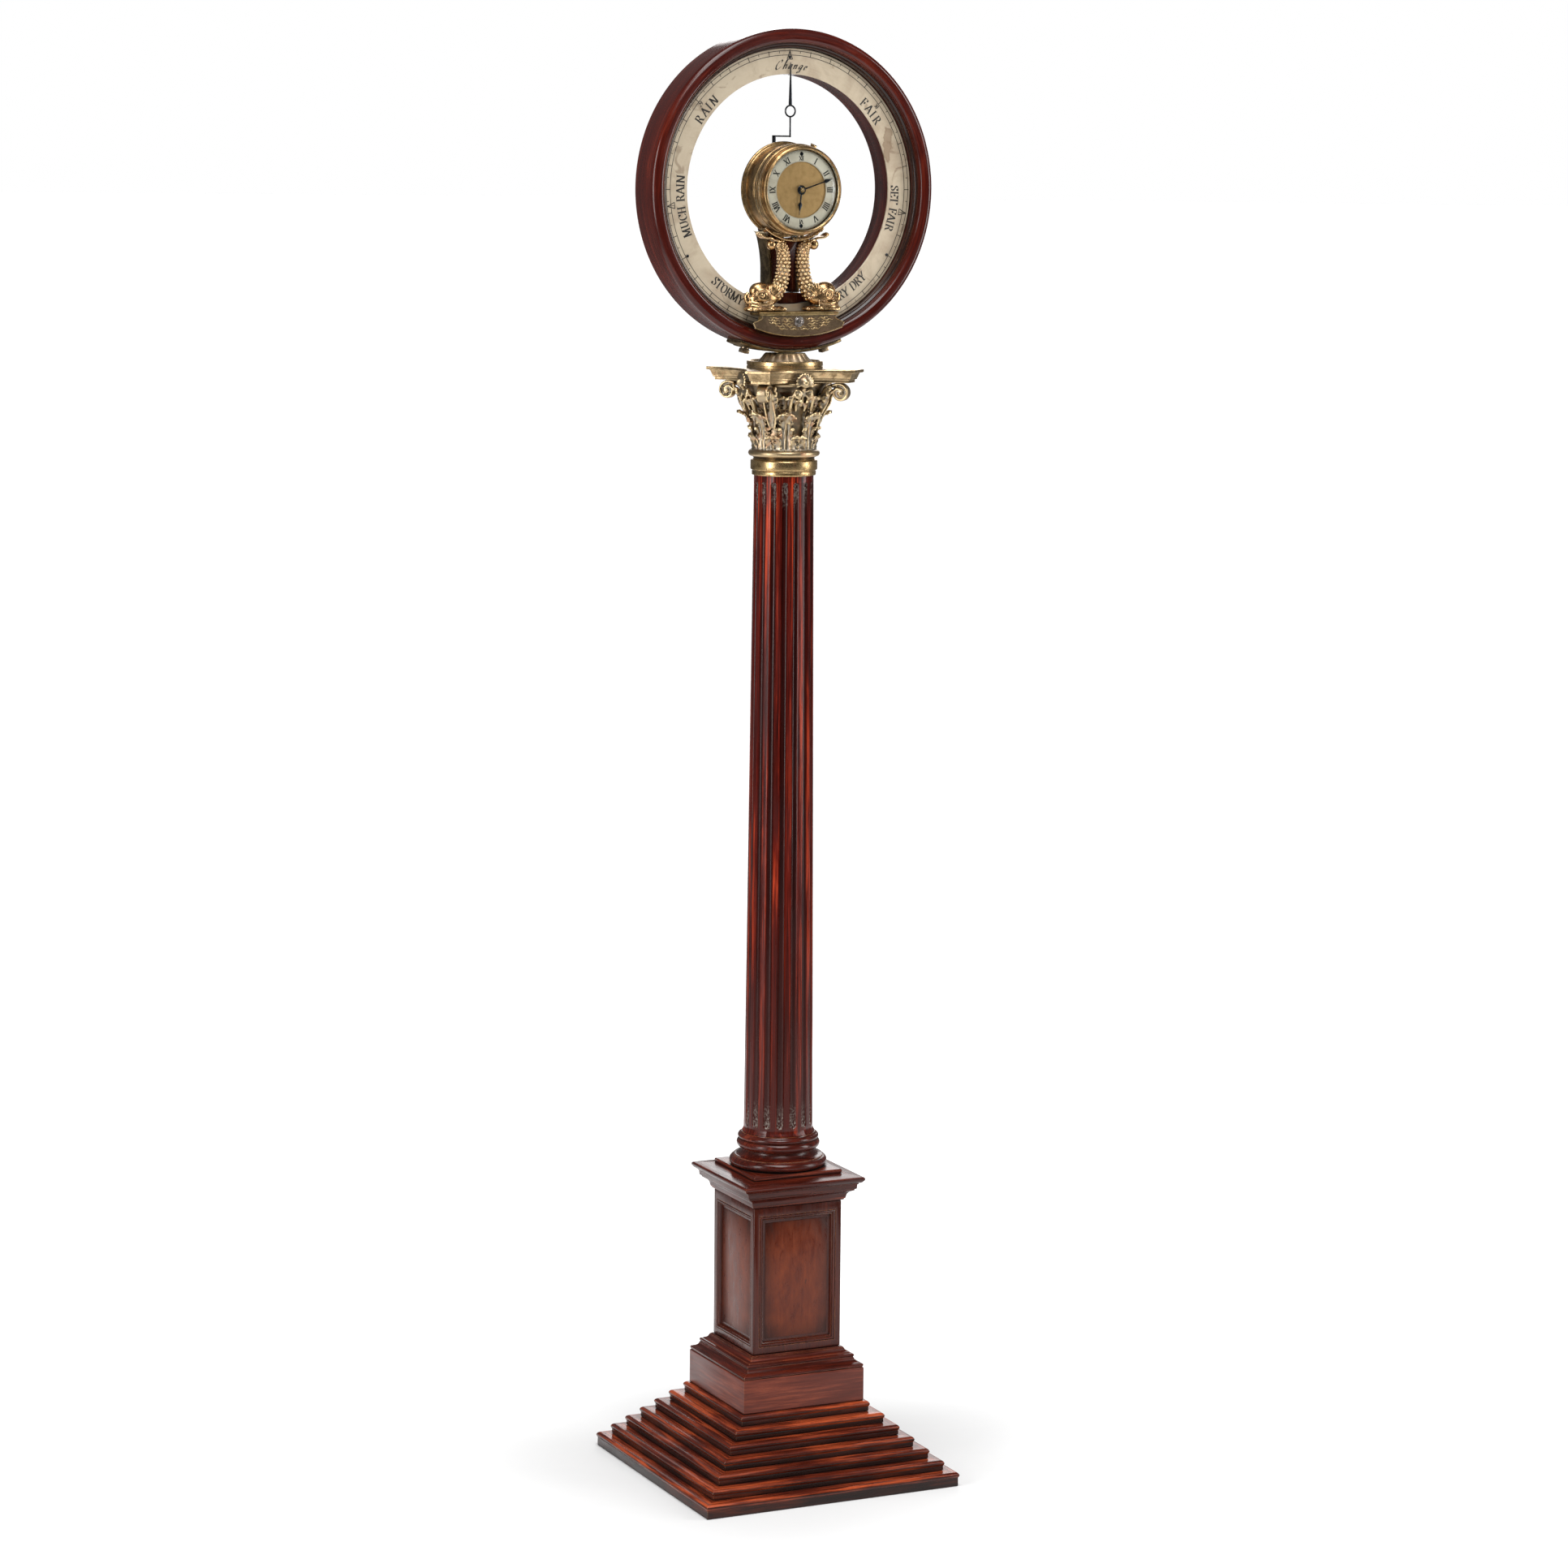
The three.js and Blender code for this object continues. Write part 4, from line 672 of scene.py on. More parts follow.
class Form:
    """A shape in the making, in millimetres."""

    def __init__(self) -> None:
        """Starts with nothing."""
        self.mesh = bmesh.new()

    def move(self, matrix: Matrix, verts: Optional[Iterable[bmesh.types.BMVert]] = None) -> "Form":
        """Moves all of the shape, or some corners of it, by a matrix."""
        bmesh.ops.transform(self.mesh, matrix=matrix, verts=list(verts or self.mesh.verts))
        return self

    def shift(self, x: float = 0.0, y: float = 0.0, z: float = 0.0) -> "Form":
        """Moves the shape."""
        return self.move(Matrix.Translation((x, y, z)))

    def turn(self, degrees: float, axis: str = "Z") -> "Form":
        """Turns the shape about an axis through the origin."""
        return self.move(Matrix.Rotation(math.radians(degrees), 4, axis))

    def stretch(self, x: float = 1.0, y: float = 1.0, z: float = 1.0) -> "Form":
        """Scales the shape about the origin."""
        return self.move(Matrix.Diagonal((x, y, z, 1.0)))

    def warp(self, rule: Callable[[Vector], Vector]) -> "Form":
        """Puts each corner where a rule says."""
        for vert in self.mesh.verts:
            vert.co = rule(vert.co)
        return self

    def add(self, *others: "Form") -> "Form":
        """Adds copies of other shapes to this one."""
        for other in others:
            spare = bpy.data.meshes.new("spare")
            other.mesh.to_mesh(spare)
            self.mesh.from_mesh(spare)
            bpy.data.meshes.remove(spare)
        return self

    def ringed(self, count: int, axis: str = "Z", start: float = 0.0) -> "Form":
        """Copies of the shape round an axis.

        Args:
            count: How many, evenly spaced.
            axis: The axis, through the origin.
            start: Turn of the first copy in degrees.

        Returns:
            A new shape of all the copies.
        """
        whole = Form()
        self.turn(start, axis)
        for _ in range(count):
            whole.add(self)
            self.turn(360 / count, axis)
        return whole

    def chain(self, points: Sequence[Sequence[float]], closed: bool) -> list[bmesh.types.BMEdge]:
        """Corners joined by edges.

        Args:
            points: The places.
            closed: Whether the last joins the first.

        Returns:
            The edges.
        """
        verts = [self.mesh.verts.new(Vector(p)) for p in points]
        pairs = list(zip(verts, verts[1:] + (verts[:1] if closed else [])))
        return [self.mesh.edges.new(pair) for pair in pairs]

    def heal(self, distance: float = 0.002) -> "Form":
        """Merges doubles and turns all faces outwards."""
        bmesh.ops.remove_doubles(self.mesh, verts=self.mesh.verts, dist=distance)
        bmesh.ops.recalc_face_normals(self.mesh, faces=self.mesh.faces)
        return self

    def spin(self, profile: Sequence[Pair], steps: int, axis: str = "Z", closed: bool = False) -> "Form":
        """Turns a profile of (radius, length) points full circle.

        Args:
            profile: The points; length runs along the axis, and on Y towards the front.
            steps: Faces round the circle.
            axis: "Z", or "Y" for the dial axis.
            closed: Whether the profile is a closed loop.

        Returns:
            The shape.
        """
        upright = axis == "Z"
        points = [(r, 0.0, h) if upright else (r, -h, 0.0) for r, h in profile]
        edges = self.chain(points, closed)
        verts = list({v for e in edges for v in e.verts})
        bmesh.ops.spin(self.mesh, geom=verts + edges, cent=(0, 0, 0), axis=(0, 0, 1) if upright else (0, 1, 0),
                       angle=math.tau, steps=steps, use_merge=True, use_duplicate=False)
        return self.heal()

    def square(self, profile: Sequence[Pair], corner: float = 0.7, closed: bool = False) -> "Form":
        """Mitred square work from a profile of (half side, height) points.

        Args:
            profile: The points.
            corner: Rounding of the mitres.
            closed: Whether the profile is a closed loop.

        Returns:
            The shape.
        """
        self.spin([(half * math.sqrt(2), h) for half, h in profile], 4, closed=closed).turn(45)
        if corner:
            mitres = [e for e in self.mesh.edges
                      if all(abs(abs(v.co.x) - abs(v.co.y)) < 0.01 and abs(v.co.x) > 20 for v in e.verts)
                      and len(e.link_faces) == 2]
            bmesh.ops.bevel(self.mesh, geom=mitres, offset=corner, offset_type="OFFSET", segments=3,
                            profile=0.5, affect="EDGES", material=-1, clamp_overlap=True)
        return self

    def slab(self, outline: Sequence[Pair], low: float, high: float) -> "Form":
        """A flat outline in x and y, drawn up from low to high."""
        edges = self.chain([(x, y, low) for x, y in outline], True)
        bmesh.ops.contextual_create(self.mesh, geom=edges)
        drawn = bmesh.ops.extrude_face_region(self.mesh, geom=list(self.mesh.faces))
        bmesh.ops.translate(self.mesh, verts=new_corners(drawn), vec=(0, 0, high - low))
        bmesh.ops.recalc_face_normals(self.mesh, faces=self.mesh.faces)
        return self

    def plate(self, outline: Sequence[Pair], back: float, front: float) -> "Form":
        """A flat outline in x and z, from depth back to depth front on the dial axis."""
        return self.slab(outline, back, front).turn(90, "X")

    def loft(self, sections: Sequence[Sequence[Sequence[float]]], capped: bool = True) -> "Form":
        """A skin over closed sections that have equally many points.

        Args:
            sections: The sections, in order.
            capped: Whether both ends are closed.

        Returns:
            The shape.
        """
        first = last = self.chain(sections[0], True)
        row = [edge.verts[0] for edge in first]
        for section in sections[1:]:
            drawn = bmesh.ops.extrude_edge_only(self.mesh, edges=last)
            fresh = set(new_corners(drawn))
            last = [part for part in drawn["geom"]
                    if isinstance(part, bmesh.types.BMEdge) and all(v in fresh for v in part.verts)]
            row = [next(e.other_vert(v) for e in v.link_edges if e.other_vert(v) in fresh) for v in row]
            for vert, point in zip(row, section):
                vert.co = Vector(point)
        if capped:
            bmesh.ops.contextual_create(self.mesh, geom=first)
            bmesh.ops.contextual_create(self.mesh, geom=last)
        return self.heal(0.0005)

    def tube(self, path: Sequence[Vector], radius: Callable[[float], Pair], sides: int = 16,
             up: Triple = (0, 1, 0), boxy: float = 1.0) -> "Form":
        """A tube along a path.

        Args:
            path: The middle line.
            radius: The two half widths, across and along up, at a share of the path.
            sides: Points round a section.
            up: Roughly the section's second axis.
            boxy: 1 for a round section, and less for one with flatter sides.

        Returns:
            The shape, closed at both ends.
        """
        def swell(value: float) -> float:
            """A sine pushed towards its ends."""
            return math.copysign(abs(value) ** boxy, value)

        sections = []
        for i, point in enumerate(path):
            ahead = path[min(i + 1, len(path) - 1)] - path[max(i - 1, 0)]
            across = ahead.cross(Vector(up)).normalized()
            lift = across.cross(ahead).normalized()
            wide, tall = radius(i / (len(path) - 1))
            turns = [math.tau * k / sides for k in range(sides)]
            sections.append([point + across * wide * swell(math.cos(a)) + lift * tall * swell(math.sin(a))
                             for a in turns])
        return self.loft(sections)

    def ball(self, radius: float, place: Triple = (0, 0, 0), scale: Triple = (1, 1, 1),
             fine: int = 12) -> "Form":
        """A ball, stretched and put in place."""
        matrix = Matrix.Translation(place) @ Matrix.Diagonal((*scale, 1.0))
        bmesh.ops.create_uvsphere(self.mesh, u_segments=2 * fine, v_segments=fine, radius=radius, matrix=matrix)
        return self

    def box(self, middle: Sequence[float], sizes: Sequence[float]) -> "Form":
        """A block of three sizes about its middle."""
        matrix = Matrix.Translation(middle) @ Matrix.Diagonal((*sizes, 1.0))
        bmesh.ops.create_cube(self.mesh, size=1.0, matrix=matrix)
        return self

    def hoop(self, radius: float, thick: float, place: Triple = (0, 0, 0), axis: str = "Y",
             steps: int = 32) -> "Form":
        """A ring of round section about an axis through a place."""
        ring = Form().spin(arc((radius, 0.0), thick, 0, 330, 11), steps, axis, closed=True)
        return self.add(ring.shift(*place))

    def soften(self, width: float, segments: int = 2, sharper: float = 30.0) -> "Form":
        """Rounds every edge that is sharper than an angle.

        Args:
            width: The rounding's width.
            segments: Its steps.
            sharper: The angle in degrees.

        Returns:
            The shape.
        """
        sharp = [e for e in self.mesh.edges
                 if len(e.link_faces) == 2 and e.calc_face_angle(0.0) > math.radians(sharper)]
        bmesh.ops.bevel(self.mesh, geom=sharp, offset=width, offset_type="OFFSET", segments=segments,
                        profile=0.5, affect="EDGES", material=-1, clamp_overlap=True)
        return self

    def keep_relief(self, reach: float) -> "Form":
        """Keeps on each corner how far it stands out of, or lies under, its neighbours.

        Args:
            reach: The height in millimetres that counts as full relief.

        Returns:
            The shape, with the attribute "relief" from -1 to 1.
        """
        self.mesh.normal_update()
        layer = self.mesh.verts.layers.float.new("relief")
        raw = {}
        for vert in self.mesh.verts:
            near = [e.other_vert(vert).co for e in vert.link_edges]
            middle = sum(near, Vector()) / max(1, len(near))
            raw[vert] = (vert.co - middle).dot(vert.normal) / reach
        for _ in range(2):
            raw = {v: 0.5 * raw[v]
                   + 0.5 * sum(raw[e.other_vert(v)] for e in v.link_edges) / max(1, len(v.link_edges))
                   for v in raw}
        for vert, value in raw.items():
            vert[layer] = max(-1.0, min(1.0, value))
        return self


def remeshed(form: Form, voxel: float, smooth: int = 2) -> Form:
    """Fuses overlapping closed shapes into one skin.

    Args:
        form: The shapes.
        voxel: The remesh's cell size in millimetres.
        smooth: Rounds of smoothing.

    Returns:
        The skin.
    """
    mesh = bpy.data.meshes.new("fused")
    form.mesh.to_mesh(mesh)
    item = bpy.data.objects.new("fused", mesh)
    bpy.context.scene.collection.objects.link(item)
    step = item.modifiers.new("fuse", "REMESH")
    step.mode = "VOXEL"
    step.voxel_size = voxel
    done = Form()
    done.mesh.from_object(item, bpy.context.evaluated_depsgraph_get())
    bpy.data.objects.remove(item)
    bpy.data.meshes.remove(mesh)
    for _ in range(smooth):
        bmesh.ops.smooth_vert(done.mesh, verts=done.mesh.verts, factor=0.5, use_axis_x=True, use_axis_y=True,
                              use_axis_z=True)
    return done


def finish_piece(name: str, form: Form, finish: Finish, body: str, replaces: Sequence[str] = (),
                 place: Place = Place.STAND, sharp: float = 32.0) -> bpy.types.Object:
    """Makes an object of a shape, dresses it and lets it ride.

    Args:
        name: The piece's name.
        form: Its shape in millimetres.
        finish: Its finish.
        body: The body that it rides on.
        replaces: CAD nodes that it stands for.
        place: The frame in which it was shaped.
        sharp: Edges above this angle, in degrees, stay crisp.

    Returns:
        The object.
    """
    form.move(Matrix.Scale(MILLIMETRE, 4) @ place.value)
    mesh = bpy.data.meshes.new(name)
    form.mesh.to_mesh(mesh)
    form.mesh.free()
    mesh.polygons.foreach_set("use_smooth", [True] * len(mesh.polygons))
    mesh.set_sharp_from_angle(angle=math.radians(sharp))
    mesh.materials.append(finish.material())
    item = bpy.data.objects.new(name, mesh)
    bpy.context.scene.collection.objects.link(item)
    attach(item, body)
    if replaces:
        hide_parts(*replaces)
    log.info("%s: %d faces on %s", name, len(mesh.polygons), body)
    return item


def dress_node(name: str, finish: Finish) -> None:
    """Gives a CAD node that stays in view a finish."""
    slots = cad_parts[name].data.materials
    slots.clear()
    slots.append(finish.material())
    log.info("%s: CAD shape, %s", name, finish.name)


# ---- lettering -----------------------------------------------------------------------------------


class Nib(Enum):
    """How a letter's strokes are drawn: the pen edge as (across, up) shares of the letter's height."""

    ROMAN = (0.18, 0.055)
    NUMERAL = (0.20, 0.070)
    SCRIPT = (0.15, 0.075)


# Each letter's width, and its pen strokes as points in hundredths of a capital's height.
LETTERS: dict[str, tuple[float, str]] = {
    "A": (0.78, "2,0 36,100; 34,100 68,0; 13,34 55,34; -8,0 16,0; 54,0 86,0"),
    "C": (0.74, "62,78 52,95 34,100 16,88 6,64 5,36 14,12 32,0 52,4 64,24; 62,70 62,100"),
    "D": (0.8, "12,0 12,100; 0,100 38,100 56,88 65,66 65,34 56,12 38,0 0,0"),
    "E": (0.68, "12,0 12,100; 0,100 54,100; 12,52 42,52; 0,0 58,0; 54,100 54,80; 58,0 58,22; 42,40 42,64"),
    "F": (0.64, "12,0 12,100; 0,100 54,100; 12,50 40,50; 0,0 32,0; 54,100 54,78; 40,38 40,62"),
    "H": (0.84, "12,0 12,100; 58,0 58,100; 12,52 60,52; 0,0 32,0; 0,100 32,100; 46,0 78,0; 46,100 78,100"),
    "I": (0.42, "12,0 12,100; 0,0 32,0; 0,100 32,100"),
    "M": (0.98, "8,0 10,100; 10,100 42,6; 42,6 74,100; 74,0 74,100; -2,0 22,0; 62,0 94,0; -2,100 20,100; "
                "72,100 94,100"),
    "N": (0.84, "10,0 10,100; 8,100 60,2; 66,0 66,100; -2,0 24,0; -4,100 14,100; 54,100 82,100"),
    "O": (0.82, "36,100 16,88 6,64 6,36 16,12 36,0 56,12 66,36 66,64 56,88 36,100"),
    "R": (0.78, "12,0 12,100; 0,100 36,100 50,90 54,76 48,60 34,52 12,52; 34,52 48,30 60,4 76,2; 0,0 32,0"),
    "S": (0.62, "46,78 40,94 24,100 8,90 6,70 20,56 38,44 46,26 38,6 22,0 8,6 2,24; 46,72 46,100; 2,0 2,28"),
    "T": (0.74, "28,0 28,100; 0,100 66,100; 16,0 48,0; 0,100 0,78; 66,100 66,78"),
    "U": (0.82, "12,100 12,28 20,8 36,0 52,8 60,28; 64,24 64,100; 0,100 32,100; 52,100 80,100"),
    "V": (0.78, "6,100 36,2; 38,2 68,100; -4,100 26,100; 54,100 82,100"),
    "X": (0.78, "4,100 56,0; 8,0 62,100; -6,100 24,100; 48,100 78,100; -6,0 22,0; 44,0 76,0"),
    "Y": (0.76, "4,100 32,48; 36,48 66,100; 28,0 28,48; -6,100 24,100; 52,100 80,100; 16,0 48,0"),
    " ": (0.45, ""),
    "2": (0.56, "6,76 12,94 24,100 40,92 42,72 30,44 4,4 46,4"),
    "3": (0.56, "6,86 20,100 38,92 40,72 26,56 42,42 44,20 28,0 8,10"),
    "9": (0.56, "42,66 24,46 8,58 6,82 22,100 40,90 42,62 34,24 12,0"),
    "0": (0.56, "24,100 10,84 6,50 10,16 24,0 38,16 42,50 38,84 24,100"),
    "c": (0.42, "34,44 22,52 8,36 6,14 18,0 40,14"),
    "h": (0.5, "2,30 26,96 18,102 10,70 2,0; 4,20 22,50 34,44 28,6 46,10"),
    "a": (0.5, "36,46 20,52 6,30 8,4 22,6 38,48; 38,48 32,6 48,10"),
    "n": (0.52, "0,36 10,50 6,0; 8,22 26,50 36,42 30,4 48,10"),
    "g": (0.5, "36,46 20,52 6,30 8,6 22,6 38,48; 38,48 26,-34 6,-40 4,-24 44,10"),
    "e": (0.44, "6,16 30,30 28,48 14,48 6,24 12,2 38,12"),
    "K": (0.86, "72,86 60,102 36,90 12,54 8,20 22,0 46,6 66,28; 72,86 66,74"),
}


def strokes_of(letter: str) -> list[list[Pair]]:
    """A letter's strokes as lists of points, for a capital one unit high."""
    lines = [line for line in LETTERS[letter][1].split("; ") if line]
    return [[(int(x) / 100, int(y) / 100) for x, y in (point.split(",") for point in line.split())]
            for line in lines]


@dataclass
class Engraving:
    """Fine marks on a dial's face, in its plane: x to the right and y up, about the dial's middle."""

    depth: float
    thickness: float = 0.08
    form: Form = field(default_factory=Form)

    def ribbon(self, points: Sequence[Pair], nib: Pair) -> None:
        """One pen stroke.

        Args:
            points: The stroke's line.
            nib: The pen's edge, as a step from one side of the stroke to the other.
        """
        edges = self.form.chain([(x - nib[0] / 2, y - nib[1] / 2, 0.0) for x, y in points], False)
        drawn = bmesh.ops.extrude_edge_only(self.form.mesh, edges=edges)
        bmesh.ops.translate(self.form.mesh, verts=new_corners(drawn), vec=(nib[0], nib[1], 0.0))

    def line(self, start: Pair, end: Pair, width: float) -> None:
        """A straight line of even width."""
        along = Vector(end) - Vector(start)
        side = Vector((-along.y, along.x)).normalized() * width
        self.ribbon([start, end], (side.x, side.y))

    def at(self, clock: float, radius: float, across: float = 0.0) -> Pair:
        """The point at a clock angle in degrees and a radius, moved clockwise by across."""
        a = math.radians(clock)
        return (radius * math.sin(a) + across * math.cos(a), radius * math.cos(a) - across * math.sin(a))

    def circle(self, radius: float, width: float, steps: int = 240) -> None:
        """A full circle line."""
        ring = Form()
        edges = ring.chain([(radius - width / 2, 0, 0), (radius + width / 2, 0, 0)], False)
        geometry = edges + [v for e in edges for v in e.verts]
        bmesh.ops.spin(ring.mesh, geom=geometry, cent=(0, 0, 0), axis=(0, 0, 1), angle=math.tau, steps=steps,
                       use_merge=True, use_duplicate=False)
        bmesh.ops.remove_doubles(ring.mesh, verts=ring.mesh.verts, dist=0.001)
        self.form.add(ring)

    def tick(self, clock: float, inner: float, outer: float, width: float) -> None:
        """A radial division line."""
        self.line(self.at(clock, inner), self.at(clock, outer), width)

    def dot(self, clock: float, radius: float, size: float, corners: int = 4) -> None:
        """A small filled mark."""
        place = Matrix.Translation((*self.at(clock, radius), 0.0)) @ Matrix.Rotation(-math.radians(clock), 4,
                                                                                     "Z")
        bmesh.ops.create_circle(self.form.mesh, cap_ends=True, segments=corners, radius=size, matrix=place)

    def word(self, text: str, clock: float, radius: float, height: float, nib: Nib, outward: bool = True,
             spread: float = 1.0, slant: float = 0.0) -> None:
        """Letters along an arc.

        Args:
            text: The word.
            clock: Clock angle of its middle, in degrees.
            radius: Radius of the letters' feet.
            height: Height of a capital.
            nib: The pen.
            outward: Whether the letters' tops point away from the middle.
            spread: Widening of the spacing.
            slant: Lean of the letters, as a share of their height.
        """
        widths = [LETTERS[letter][0] * height * spread for letter in text]
        way = 1.0 if outward else -1.0
        start = -sum(widths) / 2
        for letter, width in zip(text, widths):
            turn = clock + way * math.degrees((start + width / 2) / radius)
            a = math.radians(turn)
            up = Vector((math.sin(a), math.cos(a))) * way
            right = Vector((math.cos(a), -math.sin(a))) * way
            foot = Vector((math.sin(a), math.cos(a))) * radius
            middle = LETTERS[letter][0] / 2 - 0.06

            def put(x: float, y: float) -> Vector:
                """A letter's point on the dial."""
                return foot + right * ((x - middle + slant * y) * height) + up * (y * height)

            pen = put(*nib.value) - put(0.0, 0.0)
            for stroke in strokes_of(letter):
                self.ribbon([tuple(put(x, y)) for x, y in stroke], tuple(pen))
            start += width

    def finished(self) -> Form:
        """The marks as thin solids standing a hair above the face, in the head's frame."""
        mesh = self.form.mesh
        bmesh.ops.dissolve_degenerate(mesh, edges=mesh.edges, dist=0.004)
        loose = [e for e in mesh.edges if not e.link_faces]
        bmesh.ops.delete(mesh, geom=loose, context="EDGES")
        self.form.turn(90, "X")
        for face in mesh.faces:
            if face.normal.y > 0:
                face.normal_flip()
        mesh.normal_update()
        drawn = bmesh.ops.extrude_face_region(mesh, geom=list(mesh.faces))
        bmesh.ops.translate(mesh, verts=new_corners(drawn), vec=(0, -self.thickness, 0))
        bmesh.ops.recalc_face_normals(mesh, faces=mesh.faces)
        return self.form.shift(y=self.thickness / 2 - self.depth)


# ---- sub-assemblies ------------------------------------------------------------------------------

GAP = 0.3
RUBBED_STEP = Mahogany("mahogany_step", Grain.MITRED, risers=0.93, body=(0.135, 0.018, 0.0065),
                       light=(0.38, 0.068, 0.019), lightness=0.66, worn=(0.62, 0.30, 0.13))
SQUARE_WOOD = Mahogany("mahogany_square", Grain.MITRED, lightness=0.46, worn=(0.50, 0.20, 0.09))
BLOCK_WOOD = Mahogany("mahogany_block", Grain.MITRED, deep=(0.060, 0.011, 0.006), body=(0.120, 0.022, 0.011),
                      light=(0.20, 0.045, 0.020), lightness=0.56, wear=0.5, gloss=0.34)
CASE_WOOD = Mahogany("mahogany_case", Grain.UPRIGHT, deep=(0.030, 0.0050, 0.0026), body=(0.056, 0.0085, 0.0040),
                     light=(0.095, 0.017, 0.007), lightness=0.40, wear=0.7, hollow=4.0, shine=0.26)
TURNED_WOOD = Mahogany("mahogany_turned", Grain.LEVEL, body=(0.072, 0.009, 0.0045), light=(0.17, 0.028, 0.011),
                       lightness=0.45, hollow=7.0)
# The ring's cove is painted dark, as shade with some wax.
RING_WOOD = Mahogany("mahogany_ring", Grain.RING, deep=(0.024, 0.0022, 0.0013), body=(0.058, 0.0055, 0.0026),
                     light=(0.120, 0.0155, 0.0062), lightness=0.50, wear=0.4, hollow=10.0, gloss=0.20,
                     relief=0.08, shine=0.30, cove=(137.6, 142.0))
TRUNK_WOOD = Mahogany("mahogany_trunk", Grain.UPRIGHT, body=(0.075, 0.012, 0.005), lightness=0.45)

PLAIN_BRASS = Brass("brass_plain", polish=0.52)
PALE_BRASS = Brass("brass_pale", clean=(0.62, 0.43, 0.21), polish=0.60, roughness=0.30, dirt=1.0)
DARK_BRASS = Brass("brass_dark", dull=(0.09, 0.062, 0.030), clean=(0.30, 0.215, 0.105),
                   rubbed=(0.75, 0.60, 0.36),
                   polish=0.42, roughness=0.40, blush=(0.22, 0.12, 0.07))
APRON_BRASS = Brass("brass_apron", dull=(0.10, 0.068, 0.042), clean=(0.19, 0.132, 0.080),
                    rubbed=(0.80, 0.68, 0.46),
                    polish=0.5, roughness=0.40, blush=(0.22, 0.14, 0.09))
DRUM_BRASS = Brass("brass_drum", dull=(0.16, 0.100, 0.045), clean=(0.47, 0.300, 0.135),
                   rubbed=(0.84, 0.66, 0.42),
                   polish=0.5, roughness=0.32, residue=(0.46, 0.48, 0.41), dirt=1.0, hollow=2.8)
ABACUS_BRASS = Brass("brass_abacus", dull=(0.21, 0.145, 0.075), clean=(0.54, 0.39, 0.215),
                     rubbed=(0.92, 0.78, 0.52), polish=0.52, roughness=0.34, hollow=7.0, dirt=0.9)
WORKS_BRASS = Brass("brass_works", clean=(0.66, 0.50, 0.24), polish=0.7, roughness=0.26, dirt=0.3)
CAST = SculptedBrass("brass_cast")
GILT = SculptedBrass("gilt_cast", slot="gilt", hollow=(0.24, 0.13, 0.060), body=(0.62, 0.40, 0.185),
                     crest_highlight=(0.98, 0.80, 0.50), blush=(0.66, 0.36, 0.185), residue=(0.42, 0.45, 0.33),
                     roughness=0.27, dirt=0.85)
# A lighter copy of the cast brass for the socle: painted light, brightened to make up for the shadow that the
# ring casts on it.
SOCLE_CAST = SculptedBrass("brass_socle", hollow=(0.46, 0.34, 0.21), body=(0.70, 0.53, 0.33),
                           blush=(0.66, 0.40, 0.25), dirt=0.5)
BOLT_STEEL = Steel("steel_bolt", bare=(0.42, 0.33, 0.22), oxide=(0.20, 0.14, 0.09))
SCREW_STEEL = Steel("steel_screw")
BLUED = Steel("steel_blued", slot="blued_steel", bare=(0.045, 0.052, 0.062), oxide=(0.020, 0.020, 0.024),
              roughness=0.30)
DIAL_SILVER = Silvered()
# A lighter copy of the silvering for the hour ring: painted light, brightened to make up for the shade under
# the glass and the bezel.
CHAPTER_SILVER = Silvered("silvered_chapter", pale=(0.66, 0.60, 0.49), tarnish=(0.50, 0.43, 0.33), stains=0.2)
DIAL_GOLD = MattedGold()
WAX = BlackWax()
GLASS = ClearGlass()


@dataclass(frozen=True)
class PanelMahogany(Finish):
    """A sunk panel's flame figure: orange brown in its middle, nearly black round its rim."""

    name: str = "mahogany_flame"
    slot: str = "mahogany_panel"
    middle: float = 208.2
    half_width: float = 34.4
    half_height: float = 59.0

    def paint(self) -> bpy.types.Material:
        """Builds the panel's wood."""
        shop = NodeShop(self.name)
        x, y, z = shop.split(shop.place())
        across = shop.blend(abs(x) > abs(y), x, y)
        up = z - self.middle
        flow = shop.join(across, up * 0.30, 0.0)
        curl = shop.noise(shop.join(across * 0.6, up * 0.34, 0.0), 0.055, 4, 0.6, 1.6)
        streak = shop.noise(shop.join(across, up * 0.05, 0.0), 0.55, 3, 0.6, 0.4)
        fine = shop.noise(shop.join(across, up * 0.08, 0.0), 2.2, 2, 0.5)
        blotch = shop.noise(flow, 0.16, 3, 0.6, 0.8)
        tone = shop.band(curl * 0.45 + streak * 0.20 + blotch * 0.35, 0.36, 0.66)
        colour = shop.mix(tone, (0.068, 0.0105, 0.0036), (0.138, 0.0265, 0.0074))
        colour = shop.mix(shop.band(fine, 0.56, 0.72, 0.0, 0.4), colour, (0.050, 0.012, 0.006))
        side = shop.band(abs(across) + blotch * 14.0, self.half_width - 12, self.half_width + 14)
        ends = shop.band(abs(up) + blotch * 24.0, self.half_height - 14, self.half_height + 24)
        colour = shop.mix(shop.band(side * 0.8 + ends * 0.8, 0.0, 1.25, 0.0, 0.9), colour,
                          (0.022, 0.0050, 0.0030))
        spot = shop.band(shop.noise(shop.join(across, up * 0.4, 0.0), 0.13, 2, 0.5), 0.70, 0.74, 0.0, 0.6)
        colour = shop.mix(spot, colour, (0.03, 0.010, 0.006))
        rough = shop.band(blotch, 0.3, 0.7, 0.26, 0.40)
        return shop.surface(Base_Color=colour, Roughness=rough, Specular_IOR_Level=0.22, Coat_Weight=0.05,
                            Coat_Roughness=0.12, Normal=shop.bump(streak * 0.6 + fine * 0.4, 0.04, 0.2))


